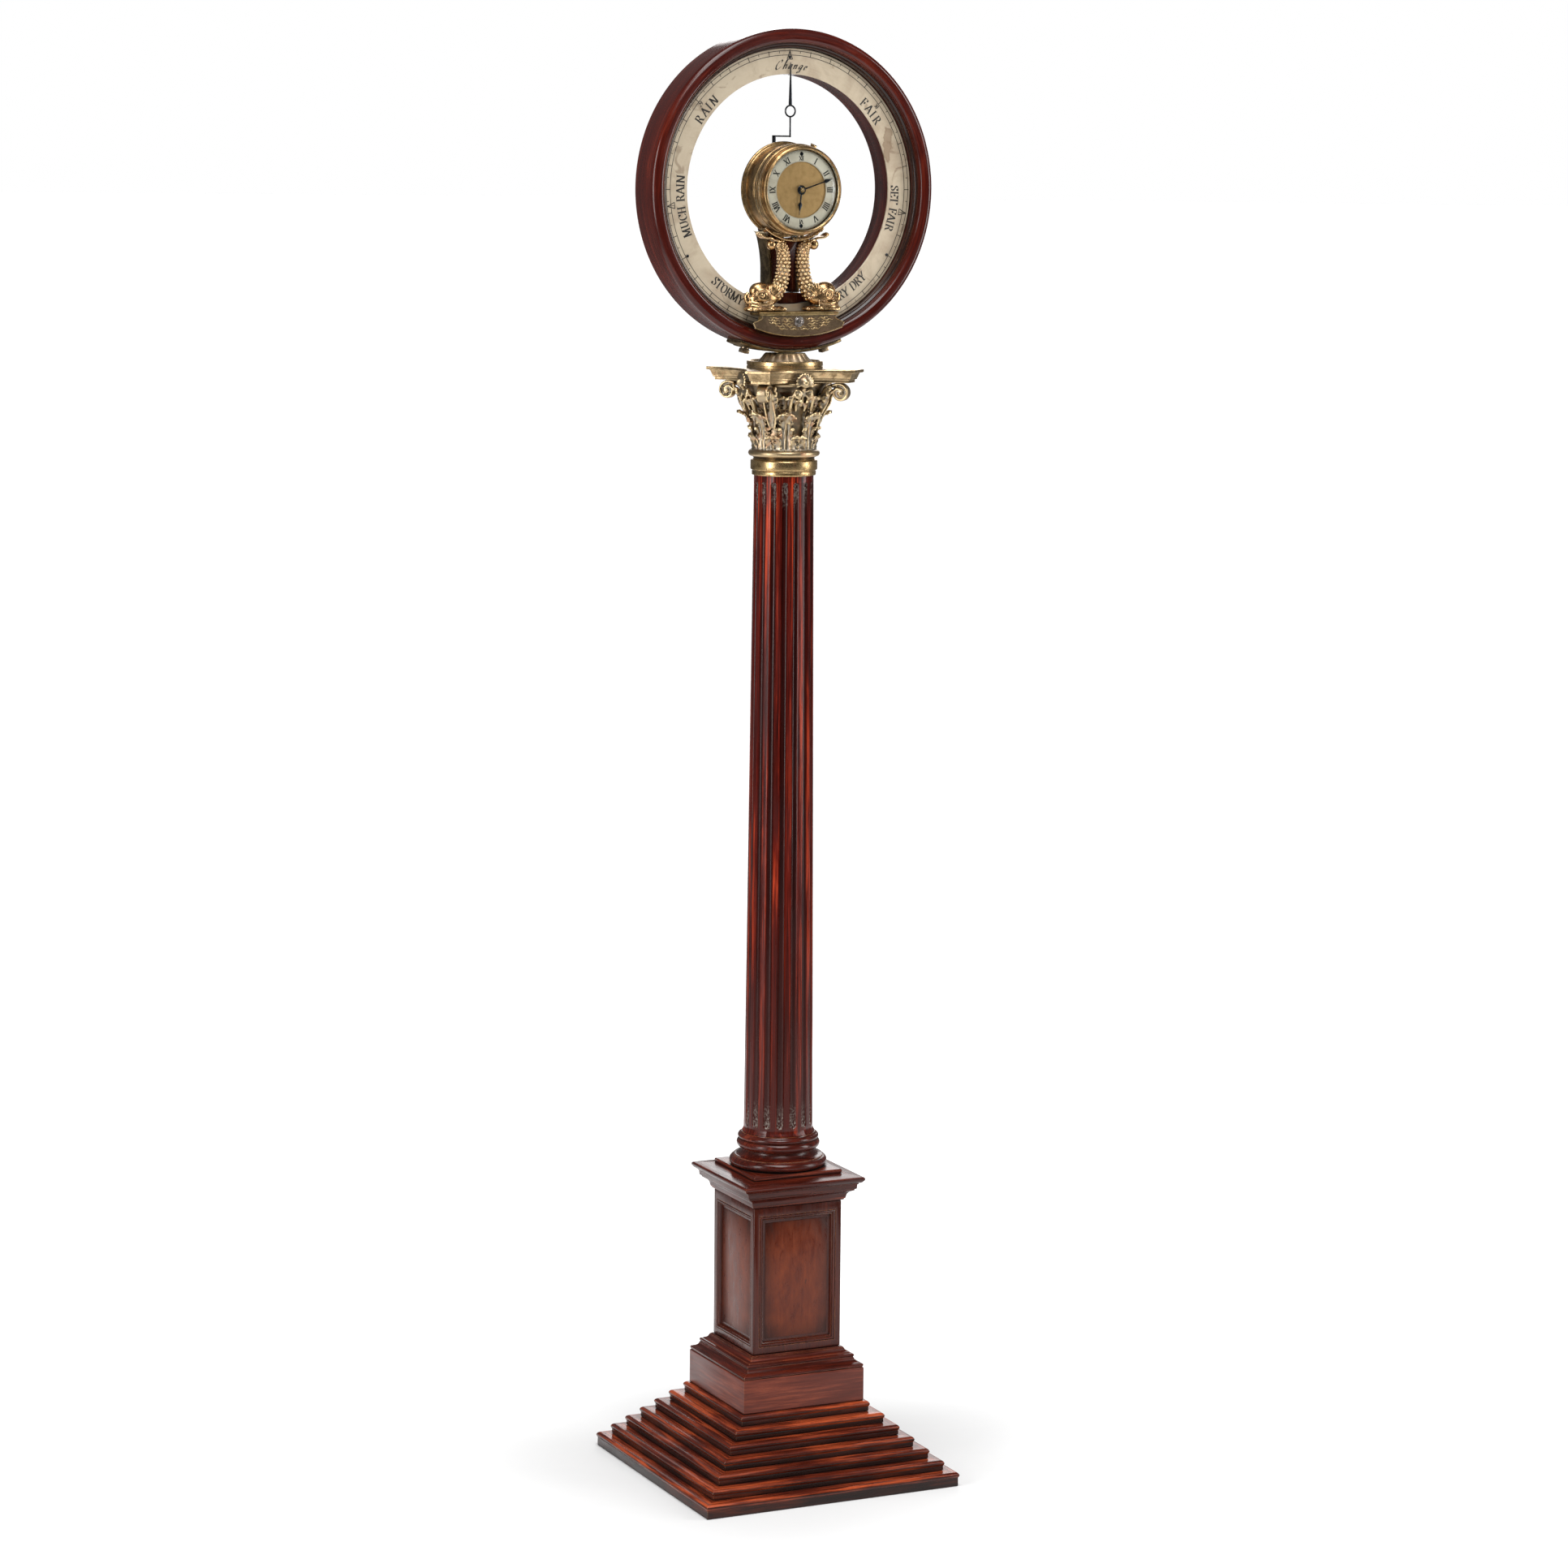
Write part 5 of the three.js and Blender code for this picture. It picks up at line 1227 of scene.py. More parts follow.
@dataclass
class Pedestal:
    """Seven square steps, a plinth block with its moulding, and a panelled case under a cornice."""

    base_half: float = 140.0
    slab_height: float = 14.5
    rise: float = 10.7
    tread: float = 11.35
    steps: int = 7
    nose: float = 3.7
    block_half: float = 66.8
    block_height: float = 34.9
    case_half: float = 48.6
    case_low: float = 133.4
    case_high: float = 284.9
    case_wall: float = 9.0
    border: float = 7.5
    panel_depth: float = 3.5
    cornice_top: float = 310.4
    plinth_half: float = 48.6
    plinth_top: float = 316.8
    well: float = 15.0

    def top_of(self, index: int) -> float:
        """Height of a step's tread."""
        return self.slab_height + index * self.rise

    def step(self, index: int) -> Form:
        """One step with a rounded nose over a riser that falls back a little."""
        half = self.base_half - index * self.tread
        low = self.top_of(index - 1) + GAP if index else 0.0
        high = self.top_of(index)
        foot = [(0.0, low), (half - 1.6, low), (half - 1.1, low + 0.6)]
        face = [(half - 1.2, high - self.nose - 1.9), (half - 0.5, high - self.nose - 0.8)]
        nose = arc((half - self.nose, high - self.nose), self.nose, 5, 82, 6)
        return Form().square([*foot, *face, *nose, (half - self.nose - 1.5, high), (0.0, high)], corner=2.4)

    def build_steps(self) -> None:
        """The slab and the six steps on it."""
        for index in range(self.steps):
            finish_piece(f"step_{index + 1}", self.step(index), RUBBED_STEP, "stand",
                         [f"base_step_{index + 1}"])

    def build_plinth(self) -> None:
        """The block and the run of mouldings on it."""
        low = self.top_of(self.steps - 1) + GAP
        high = low - GAP + self.block_height
        half = self.block_half
        block = Form().square([(0, low), (half - 0.3, low), (half, low + 0.8), (half, high - 1.0),
                               (half - 0.5, high - 0.2), (half - 1.4, high), (0, high)], corner=0.9)
        finish_piece("plinth_block_wood", block, BLOCK_WOOD, "stand", ["plinth_block"])
        low = high + GAP
        profile = [(0, low), (65.6, low), (66.3, low + 0.3), *arc((65.0, low + 1.9), 1.5, -35, 70, 5),
                   (64.6, low + 3.5), (64.1, low + 3.9), *arc((64.4, low + 9.2), 5.2, 262, 188, 6),
                   (58.7, low + 8.7), (58.7, low + 9.5), *arc((57.7, low + 11.0), 1.7, -50, 95, 6),
                   (56.3, low + 12.9), (56.1, low + 13.6), *arc((55.8, low + 17.8), 3.9, 262, 190, 5),
                   (51.6, low + 17.3), (51.4, low + 18.3), (50.4, low + 18.6), (50.1, low + 19.2),
                   (0, low + 19.2)]
        finish_piece("plinth_moulding_wood", Form().square(profile, corner=0.4), SQUARE_WOOD, "stand",
                     ["plinth_moulding"])

    def case(self) -> Form:
        """The hollow case with a sunk field and a double bead in each side."""
        inner = self.case_half - self.case_wall
        form = Form().square([(inner, self.case_low), (self.case_half, self.case_low),
                              (self.case_half, self.case_high),
                              (inner, self.case_high)], corner=1.1, closed=True)
        mesh = form.mesh
        sides = [f for f in mesh.faces if f.calc_area() > 9000
                 and max(abs(v) for v in f.calc_center_median()[:2]) > self.case_half - 1]
        bmesh.ops.inset_individual(mesh, faces=sides, thickness=self.border, depth=0.0)
        for corner in {v for f in sides for v in f.verts}:
            corner.co.z += 1.0 if corner.co.z < 200 else -3.0
        bead = [(0.35, -0.8), (0.35, 0.55), (0.6, 0.35), (0.8, 0.10), (0.8, -0.10), (0.6, -0.35), (0.35, -0.75),
                (0.45, -0.35), (0.35, 0.25), (0.5, 0.15), (0.5, -0.15), (0.35, -0.45), (0.5, -0.5), (0.4, -1.9)]
        for thickness, depth in bead:
            bmesh.ops.inset_individual(mesh, faces=sides, thickness=thickness, depth=depth)
        return form

    def build_case(self) -> None:
        """The case and its four panels."""
        finish_piece("case_wood", self.case(), CASE_WOOD, "stand", ["pedestal_case"], sharp=40)
        low, high = self.case_low + self.border + 1.0, self.case_high - self.border - 3.0
        for turn, side in enumerate(("front", "right", "rear", "left")):
            rim = 6.6
            half = self.case_half - self.border - rim
            face = self.case_half - self.panel_depth
            panel = Form().box((0, -face + 0.6, (low + high) / 2), (2 * half, 1.2, high - low - 2 * rim))
            panel.soften(0.4).turn(turn * 90)
            finish_piece(f"panel_{side}", panel, PanelMahogany(), "stand", [f"pedestal_panel_{side}"])

    def build_cornice(self) -> None:
        """The cornice and the square plinth under the column."""
        low = self.case_high + GAP
        profile = [(self.well, low), (49.6, low), (50.4, low + 0.4), (50.6, low + 1.6), (51.5, low + 1.8),
                   (51.7, low + 2.9), *arc((58.6, 288.6), 6.6, 178, 112, 6), (57.2, 295.4), (58.3, 295.8),
                   (58.5, 297.0), (59.2, 297.4), (60.2, 297.9), (60.5, 302.2), (61.4, 302.6), (61.6, 303.7),
                   *arc((61.6, 307.9), 4.0, -82, -28, 4), (66.0, 306.9), (66.3, 307.6), (66.4, 308.9),
                   (65.9, 309.9), (64.9, 310.5), (self.plinth_half, self.cornice_top + 2),
                   (self.well, self.cornice_top + 2)]
        finish_piece("cornice_wood", Form().square(profile, corner=0.5, closed=True), SQUARE_WOOD, "stand",
                     ["pedestal_cornice"])
        low = self.cornice_top + 2 + GAP
        half = self.plinth_half
        plinth = [(self.well, low), (half - 0.3, low), (half, low + 0.7), (half - 0.1, self.plinth_top - 1.4),
                  *arc((half - 1.4, self.plinth_top - 1.3), 1.3, 10, 85, 4), (self.well, self.plinth_top)]
        finish_piece("column_plinth_wood", Form().square(plinth, corner=2.2, closed=True), SQUARE_WOOD, "stand",
                     ["column_plinth"])

    def build(self) -> None:
        """Builds the whole pedestal."""
        self.build_steps()
        self.build_plinth()
        self.build_case()
        self.build_cornice()


@dataclass
class Column:
    """The turned base, the fluted shaft and the brass neck."""

    bore: float = 19.0
    foot: float = 317.1
    base_top: float = 351.5
    shaft_top: float = 1015.7
    radius_low: float = 35.0
    radius_high: float = 29.6
    flutes: int = 16
    flute_low: float = 358.5
    flute_high: float = 1010.0
    flute_depth: float = 2.7
    flute_share: float = 0.58
    faces_per_flute: int = 12
    neck_top: float = 1032.3

    def base(self) -> Form:
        """Torus, hollow, torus and bead, with fillets between."""
        profile = [(self.bore, self.foot), (45.6, self.foot), *arc((44.8, 321.8), 4.6, -70, 82, 12),
                   (45.2, 326.5), (45.3, 327.5), (44.6, 327.9), *arc((44.4, 336.2), 8.2, 262, 196, 8),
                   (36.8, 334.0), (37.6, 334.4), (37.8, 335.2), *arc((37.4, 339.8), 4.7, -72, 62, 10),
                   (39.2, 344.3), *arc((38.3, 346.9), 2.6, -62, 78, 8), (38.5, 349.7), (37.6, 350.2),
                   (37.3, self.base_top), (self.bore, self.base_top)]
        return Form().spin(profile, 128, closed=True)

    def radius_at(self, height: float) -> float:
        """The shaft's radius at a height."""
        share = (height - self.base_top) / (self.shaft_top - self.base_top)
        flare = 1.7 * (1.0 - ease(height, self.base_top, self.base_top + 4.5))
        return self.radius_low + (self.radius_high - self.radius_low) * share + flare

    def flute_width(self, height: float) -> float:
        """Half a flute's width at a height, away from its ends."""
        return math.pi * self.radius_at(height) / self.flutes * self.flute_share

    def fullness(self, height: float) -> float:
        """How wide a flute is at a height, as a share of its full width: 0 past its round ends."""
        low, high = self.flute_width(self.flute_low), self.flute_width(self.flute_high)
        miss = max((self.flute_low + low - height) / low, (height - self.flute_high + high) / high, 0.0)
        return math.sqrt(max(0.0, 1.0 - miss * miss))

    def levels(self) -> list[float]:
        """Heights of the shaft's rings of corners, close together at the flutes' ends."""
        low, high = self.flute_width(self.flute_low), self.flute_width(self.flute_high)
        turns = [math.radians(90 * i / 9) for i in range(10)]
        foot = [self.flute_low + low * (1 - math.cos(a)) for a in turns]
        head = [self.flute_high - high * (1 - math.cos(a)) for a in reversed(turns)]
        middle = [foot[-1] + (head[0] - foot[-1]) * i / 26 for i in range(1, 26)]
        start = self.base_top + GAP
        return [start, start + 1, start + 2.2, start + 3.8, start + 5.4, *foot, *middle, *head,
                self.flute_high + 2.5, self.shaft_top]

    def shaft(self) -> Form:
        """The shaft, whose columns of corners close in at each flute's round ends, for a crisp edge."""
        rings = [(self.radius_at(z), z) for z in self.levels()]
        count = self.flutes * self.faces_per_flute
        form = Form().spin([(self.bore, rings[0][1]), *rings, (self.bore, rings[-1][1])], count, closed=True)
        depth_layer = form.mesh.verts.layers.float.new("flute")
        stop_layer = form.mesh.verts.layers.float.new("stop")
        inside = self.faces_per_flute - 2
        for vert in form.mesh.verts:
            radius = math.hypot(vert.co.x, vert.co.y)
            if radius < self.bore + 1:
                continue
            column = round(math.atan2(vert.co.y, vert.co.x) / math.tau * count + inside / 2) % count
            flute, place = divmod(column, self.faces_per_flute)
            height = vert.co.z
            ends = min(height - self.flute_low, self.flute_high - height)
            vert[stop_layer] = 1.0 - ease(ends, 3.0, 17.0)
            if place > inside:
                continue
            across = 2 * place / inside - 1
            full = self.fullness(height) if ends >= -0.01 else 0.0
            angle = flute * math.tau / self.flutes + across * self.flute_width(height) * full / radius
            hollow = full * (1 - abs(across) ** 2.3) ** 0.62
            radius -= self.flute_depth * hollow
            vert.co.x, vert.co.y = radius * math.cos(angle), radius * math.sin(angle)
            vert[depth_layer] = hollow
        return form

    def neck(self) -> Form:
        """A ring, a broad band and the dip above it."""
        low = self.shaft_top + GAP
        profile = [(self.bore, low), (31.5, low), (31.8, low + 0.7), (31.8, 1019.6), (31.2, 1020.4),
                   (31.6, 1020.9),
                   (32.9, 1021.4), (33.2, 1022.2), (33.2, 1029.6), (32.9, 1030.6), (31.9, 1031.2),
                   *arc((32.0, 1032.9), 1.7, 262, 200, 4), (self.bore, self.neck_top)]
        return Form().spin(profile, 128, closed=True)

    def build(self) -> None:
        """Builds the column up to the capital."""
        finish_piece("column_base_turning", self.base(), TURNED_WOOD, "stand", ["column_base"], sharp=50)
        finish_piece("fluted_shaft", self.shaft(), ShaftMahogany(), "stand", ["column_shaft"], sharp=38)
        finish_piece("neck_rings", self.neck(), PALE_BRASS, "stand", ["neck_collar"], sharp=45)


def even(radius: float) -> Callable[[float], Pair]:
    """A round section that keeps its radius."""
    return lambda share: (radius, radius)


def tapered(start: float, end: float, flat: float = 1.0) -> Callable[[float], Pair]:
    """A section that runs from one radius to another; flat is its second width's share of the first."""
    return lambda share: (start + (end - start) * share, flat * (start + (end - start) * share))


@dataclass
class Capital:
    """A cast capital: two rows of leaves round a bell, scrolls at the corners and a flower on each side."""

    bore: float = 19.0
    low: float = 1032.6
    high: float = 1108.2
    voxel: float = 0.93
    eye: Pair = (58.9, 1097.9)
    scroll_radius: float = 9.6
    band_half: float = 5.8

    def bell(self) -> Form:
        """The core with the bead round its foot and the lip under the abacus."""
        bead = arc((32.3, 1037.7), 3.3, -82, 84, 9)
        profile = [(self.bore, self.low), (30.4, self.low), (30.8, 1034.3), *bead, (30.6, 1041.4),
                   (29.2, 1052), (29.6, 1066), (31.6, 1082), (35.0, 1095), (38.6, 1102), (41.5, 1105),
                   (42.2, 1106.6), (41.6, self.high), (self.bore, self.high)]
        return Form().spin(profile, 96, closed=True)

    def leaf(self, spine: Sequence[Pair], widths: Sequence[Pair], lobes: int, ribs: float) -> Form:
        """One leaf with lobed edges, a raised rib and veins, standing in front of the bell at +X.

        Args:
            spine: (radius, height) points up its middle.
            widths: Half width at shares of its length.
            lobes: Lobes down each side.
            ribs: Height of its ribs.

        Returns:
            The leaf, as a thin closed body.
        """
        path = curve(spine, 12)
        form = Form()
        bmesh.ops.create_grid(form.mesh, x_segments=22, y_segments=44, size=1.0)

        def rule(point: Vector) -> Vector:
            """Bends the flat grid."""
            side, share = point.x, (point.y + 1) / 2
            place = share * (len(path) - 1)
            index = min(int(place), len(path) - 2)
            spot = path[index].lerp(path[index + 1], place - index)
            ahead = (path[index + 1] - path[index]).normalized()
            outward = Vector((ahead.y, -ahead.x))
            half = 0.0
            for (s0, w0), (s1, w1) in zip(widths, widths[1:]):
                if s0 <= share <= s1:
                    half = w0 + (w1 - w0) * ease(share, s0, s1)
            wave = 0.5 - 0.5 * math.cos(math.tau * (lobes * share - 0.12 * abs(side)))
            width = half * (1.0 - 0.34 * (1.0 - wave) * abs(side) ** 1.5)
            rib = math.exp(-(side / 0.13) ** 2) * 1.2
            vein = 0.55 * wave * math.sin(math.pi * min(1.0, abs(side) * 1.15)) ** 2
            curl = 1.3 * abs(side) ** 3 * (0.4 + wave)
            fold = -0.9 * math.exp(-((abs(side) - 0.38) / 0.10) ** 2)
            height = ribs * (rib + vein + curl + fold)
            reach = spot.x + outward.x * height
            angle = side * width / max(28.0, spot.x * 0.82)
            return Vector((reach * math.cos(angle), reach * math.sin(angle), spot.y + outward.y * height))

        form.warp(rule)
        bmesh.ops.solidify(form.mesh, geom=list(form.mesh.faces), thickness=2.1)
        return form.heal()

    def spiral(self, centre: Pair, radius: float, turns: float, inner: float, steps: int = 46) -> list[Vector]:
        """Points that wind inwards from the top, in the plane of x and z."""
        path = []
        for i in range(steps + 1):
            share = i / steps
            angle = math.radians(112) - math.tau * turns * share
            reach = radius + (inner - radius) * share ** 0.8
            path.append(Vector((centre[0] + reach * math.cos(angle), 0.0, centre[1] + reach * math.sin(angle))))
        return path

    def corner_scroll(self) -> Form:
        """The scroll towards +X with its stalk, its rolled band and its eye on both sides."""
        form = Form()
        winding = self.spiral(self.eye, self.scroll_radius, 1.55, 2.4)
        start = winding[0]
        stalk = curve([(32.0, 1064.0), (35.0, 1080.0), (39.5, 1093.0), (46.0, 1103.0), (start.x, start.z)], 9)
        rise = [Vector((p.x, 0.0, p.y)) for p in stalk[:-1]]
        band = self.band_half
        form.tube(rise + winding, lambda share: (3.3 - 2.0 * ease(share, 0.1, 0.5),
                                                 band * (0.50 + 0.5 * ease(share, 0.0, 0.42))), 16, boxy=0.55)
        core = Form().spin([(0.0, -3.2), (7.2, -3.2), (8.0, -2.2), (8.0, 2.2), (7.2, 3.2), (0.0, 3.2)], 32, "Y")
        form.add(core.shift(self.eye[0], 0.0, self.eye[1]))
        for side in (-1, 1):
            form.ball(2.7, (self.eye[0], side * 4.0, self.eye[1]), (1, 0.8, 1), 8)
            form.tube([p + Vector((0, side * 4.7, 0)) for p in winding], tapered(1.05, 0.55), 8)
            for lift, reach in ((0.0, 1.0), (-2.6, 0.9), (-5.0, 0.78)):
                leafy = [Vector((34.0, side * 2.2, 1062.0)), Vector((39.0, side * 4.6, 1080.0 + lift)),
                         Vector((47.0, side * (5.6 + lift * 0.2), 1094.5 + lift)),
                         Vector((56.0 * reach + 1, side * 4.4, 1103.6 + lift))]
                form.tube(curve(leafy, 7), lambda share: (1.35 - 0.5 * share, 1.0), 8)
        return form

    def flower(self) -> Form:
        """The sunburst with its ball and ring, and the two small scrolls under it, towards +X."""
        form = Form()
        ring = Form().hoop(4.3, 0.95, (0, 0, 0), "Y", 24).turn(90).shift(48.6, 0.0, 1109.0)
        for i in range(13):
            angle = -24 + 19 * i
            petal = Form().ball(1.0, (0, 0, 0), (1.5, 1.25, 4.6), 6).shift(z=6.0).turn(90 - angle, "X")
            form.add(petal.shift(47.2, 0.0, 1109.0))
        form.ball(3.3, (49.4, 0.0, 1109.0), (0.9, 1, 1), 10).add(ring)
        form.tube([Vector((36.0, 0, 1086.0)), Vector((42.0, 0, 1096.0)), Vector((46.6, 0, 1106.0))],
                  tapered(2.6, 1.8), 10)
        for side in (-1, 1):
            small = self.spiral((0.0, 0.0), 4.6, 1.3, 0.9, 30)
            winding = [Vector((44.0 + 0.05 * i, side * (6.6 - p.x), 1097.0 + p.z)) for i, p in enumerate(small)]
            stem = [Vector((33.5, side * 11.0, 1068.0)), Vector((37.5, side * 11.6, 1084.0)),
                    Vector((42.0, side * 11.2, 1096.0))]
            form.tube(curve(stem, 6)[:-1] + winding, tapered(1.9, 1.0, 1.2), 8, (1, 0, 0))
            form.ball(1.7, (45.4, side * 6.6, 1097.0), (1, 1, 1), 7)
            frond = [Vector((35.0, side * 4.5, 1080.0)), Vector((39.5, side * 5.5, 1088.0)),
                     Vector((45.0, side * 3.6, 1091.0)), Vector((46.6, side * 1.4, 1088.6))]
            form.tube(curve(frond, 6), lambda share: (2.4 * math.sin(math.pi * (0.15 + 0.8 * share)), 1.1), 8,
                      (1, 0, 0))
        return form

    def rosette(self) -> Form:
        """The knot of leaves above a corner scroll's back and the stalks beside it, towards +X."""
        form = Form()
        for side in (-1, 1):
            for height, reach, size in ((1086, 39.6, 2.3), (1092, 43.6, 2.6), (1098, 47.4, 2.4),
                                        (1103, 50.6, 2.0)):
                form.ball(size, (reach, side * (6.4 + 0.10 * (height - 1086)), height), (1.0, 0.9, 1.5), 6)
        return form

    def build(self) -> None:
        """Fuses all of it into one casting."""
        form = self.bell()
        lower = self.leaf([(30.2, 1041.0), (31.0, 1046), (32.2, 1051), (34.4, 1055.0), (36.6, 1056.6),
                           (37.4, 1056.2)],
                          [(0, 6.4), (0.3, 7.4), (0.7, 7.0), (1, 2.0)], 4, 1.1)
        upper = self.leaf([(30.4, 1042.0), (30.8, 1054), (32.0, 1065), (35.0, 1072.6), (39.6, 1077.4),
                           (44.4, 1079.4), (47.2, 1080.0)],
                          [(0, 4.6), (0.35, 6.0), (0.62, 8.8), (0.84, 6.6), (1, 1.0)], 6, 1.25)
        third = self.leaf([(29.8, 1060.0), (31.6, 1074), (34.6, 1085), (39.0, 1092.6), (43.6, 1095.6),
                           (46.0, 1094.0)],
                          [(0, 5.6), (0.4, 7.4), (0.75, 8.0), (1, 1.6)], 4, 1.1)
        form.add(lower.ringed(8), upper.ringed(8, start=22.5), third.ringed(8, start=22.5))
        sprig = self.leaf([(30.6, 1050.0), (32.0, 1058), (34.6, 1064.5), (36.6, 1063.6)],
                          [(0, 2.4), (0.5, 3.4), (1, 1.0)], 2, 0.9)
        form.add(sprig.ringed(16, start=11.25))
        form.add(self.corner_scroll().ringed(4, start=45), self.rosette().ringed(4, start=45))
        form.add(self.flower().ringed(4))
        cast = remeshed(form, self.voxel, 1).keep_relief(0.30)
        finish_piece("capital_casting", cast, CAST, "stand", ["capital"], sharp=180)


@dataclass
class Abacus:
    """The hollow-sided plate on the capital, and the collar that the head turns in."""

    corner: float = 78.2
    corner_width: float = 25.9
    middle: float = 48.0
    low: float = 1108.5
    high: float = 1121.5
    bore: float = 16.0
    collar: float = 37.7
    collar_wall: float = 3.2
    collar_top: float = 1128.8
    steps: int = 18

    def outline(self, inset: float, height: float) -> list[Triple]:
        """The hollow-sided outline, moved in and put at a height."""
        corner = self.corner - inset
        half = self.corner_width / 2 - inset * 0.4
        end, reach = (corner - half) / math.sqrt(2), (corner + half) / math.sqrt(2)
        outline = []
        for side in range(4):
            turn = side * math.pi / 2
            for i in range(self.steps + 1):
                t = 2 * i / self.steps - 1
                out = self.middle - inset + (reach - self.middle + inset) * t * t
                outline.append((out * math.sin(turn) + t * end * math.cos(turn),
                                -out * math.cos(turn) + t * end * math.sin(turn), height))
        return outline

    def plate(self) -> Form:
        """The tiers with their mouldings, round a bore."""
        low, high = self.low, self.high
        tiers = [(8.4, low), (8.1, low + 0.4), (8.1, low + 2.5), (7.6, low + 3.0), (6.3, low + 3.2),
                 (6.1, low + 3.6),
                 (6.1, low + 4.4), (5.7, low + 4.8), (5.2, low + 5.8), (4.7, low + 7.2), (4.0, low + 8.6),
                 (3.2, low + 9.7), (0.9, low + 9.9), (0.3, low + 10.2), (0.0, low + 10.7), (0.0, high - 0.6),
                 (0.5, high - 0.1), (1.1, high)]
        form = Form().loft([self.outline(inset, height) for inset, height in tiers], capped=False)
        mesh = form.mesh
        steps = 4 * (self.steps + 1)
        for height, way in ((low, -1), (high, 1)):
            rim = [e for e in mesh.edges if all(abs(v.co.z - height) < 0.01 for v in e.verts)
                   and len(e.link_faces) == 1]
            bore = form.chain([(self.bore * math.cos(a), self.bore * math.sin(a), height)
                               for a in (math.tau * i / steps for i in range(steps))], True)
            bmesh.ops.bridge_loops(mesh, edges=rim + bore)
        bores = [e for e in mesh.edges if all(abs(math.hypot(*v.co[:2]) - self.bore) < 0.01 for v in e.verts)
                 and len(e.link_faces) == 1]
        bmesh.ops.bridge_loops(mesh, edges=bores)
        return form.heal()

    def build(self) -> None:
        """Builds the plate and the collar."""
        finish_piece("abacus_plate", self.plate(), ABACUS_BRASS, "stand", ["abacus"], sharp=28)
        low, high, outer = self.high + GAP, self.collar_top, self.collar
        profile = [(outer - self.collar_wall, low), (outer - 0.2, low), (outer, low + 0.3), (outer, low + 1.6),
                   (outer - 0.7, low + 2.0), (outer - 0.7, low + 2.5), (outer, low + 2.9), (outer, high - 1.2),
                   (outer - 0.4, high - 0.3), (outer - 1.2, high), (outer - 2.4, high),
                   (outer - 3.1, high - 0.5),
                   (outer - 3.2, high - 1.2)]
        finish_piece("collar_ring", Form().spin(profile, 128, closed=True), PALE_BRASS, "stand",
                     ["swivel_collar"])


@dataclass
class HeadMount:
    """The lobed socle, the strap under the ring and its two bolts."""

    ring_radius: float = 156.0
    strap_thickness: float = 3.0
    strap_angle: float = 20.8
    strap_front: float = 15.0
    strap_back: float = -19.0
    bolt_angle: float = 15.8
    bolt_depth: float = -2.0
    bolt_radius: float = 2.2
    lobes: int = 16

    def socle(self) -> Form:
        """The spigot and a flared foot of rounded lobes that rises to the strap."""
        top = DIAL_HEIGHT - self.ring_radius - self.strap_thickness - 3 * GAP
        profile = [(11.0, 1112.5), (15.5, 1112.5), (15.5, 1121.8), (33.2, 1121.8), (33.8, 1122.6),
                   (33.6, 1124.2),
                   (31.6, 1125.6), (28.2, 1127.4), (25.2, 1129.8), (22.8, 1132.4), (21.0, 1134.8),
                   (20.2, top - 0.5),
                   (19.6, top), (11.0, top)]
        form = Form().spin(profile, self.lobes * 12, closed=True)

        def lobed(point: Vector) -> Vector:
            """Pushes the flare in between the lobes."""
            radius = math.hypot(point.x, point.y)
            if radius < 17 or point.z < 1122.0:
                return point
            angle = math.atan2(point.y, point.x) * self.lobes / 2
            depth = 2.5 * (1 - abs(math.cos(angle)) ** 0.7) * ease(point.z, 1122.2, 1125.0)
            share = (radius - depth) / radius
            return Vector((point.x * share, point.y * share, point.z))

        return form.warp(lobed).keep_relief(0.35)

    def strap(self) -> Form:
        """The bent strap with rounded edges."""
        inner, outer = self.ring_radius + GAP, self.ring_radius + GAP + self.strap_thickness
        front, back = self.strap_front, self.strap_back
        section = [(inner, back + 0.5), (inner + 0.5, back), (outer - 0.7, back), (outer, back + 0.7),
                   (outer, front - 0.7), (outer - 0.7, front), (inner + 0.5, front), (inner, front - 0.5)]
        sections = []
        for i in range(41):
            share = i / 20 - 1
            angle = math.radians(180 + share * self.strap_angle)
            sections.append([(r * math.sin(angle), -d * (1 - 0.10 * abs(share) ** 12), r * math.cos(angle))
                             for r, d in section])
        return Form().loft(sections)

    def bolt(self, side: int) -> Form:
        """A bolt with a domed square head under the strap and a nut's boss on top of its lug."""
        form = Form()
        stem = [(0.0, 9.0), (self.bolt_radius, 9.0), (self.bolt_radius, -3.6), (3.9, -3.8), (4.3, -4.3),
                (4.3, -5.4),
                (0.0, -5.6)]
        form.spin(stem, 32)
        form.add(Form().box((0, 0, -7.6), (8.2, 8.2, 4.2)).soften(0.7, 2))
        form.shift(z=-self.ring_radius).turn(side * self.bolt_angle, "Y")
        return form.shift(y=-self.bolt_depth)

    def build(self) -> None:
        """Builds the mount."""
        finish_piece("lobed_socle", self.socle(), SOCLE_CAST, "head", ["head_socle"], Place.NECK, sharp=60)
        finish_piece("ring_strap", self.strap(), DARK_BRASS, "head", ["saddle_strap"], Place.HEAD, sharp=50)
        for side, word in ((-1, "left"), (1, "right")):
            finish_piece(f"ring_bolt_{word}", self.bolt(-side), BOLT_STEEL, "head", [f"strap_bolt_{word}"],
                         Place.HEAD)
            lug = Form().spin([(self.bolt_radius + 0.4, -0.2), (4.6, -0.2), (4.4, 1.6), (3.4, 2.6),
                               (self.bolt_radius + 0.4, 2.8)], 32, closed=True)
            lug.shift(z=-self.ring_radius - self.strap_thickness - GAP).turn(-side * self.bolt_angle, "Y")
            finish_piece(f"strap_washer_{word}", lug.shift(y=18.0), DARK_BRASS, "head", (), Place.HEAD)


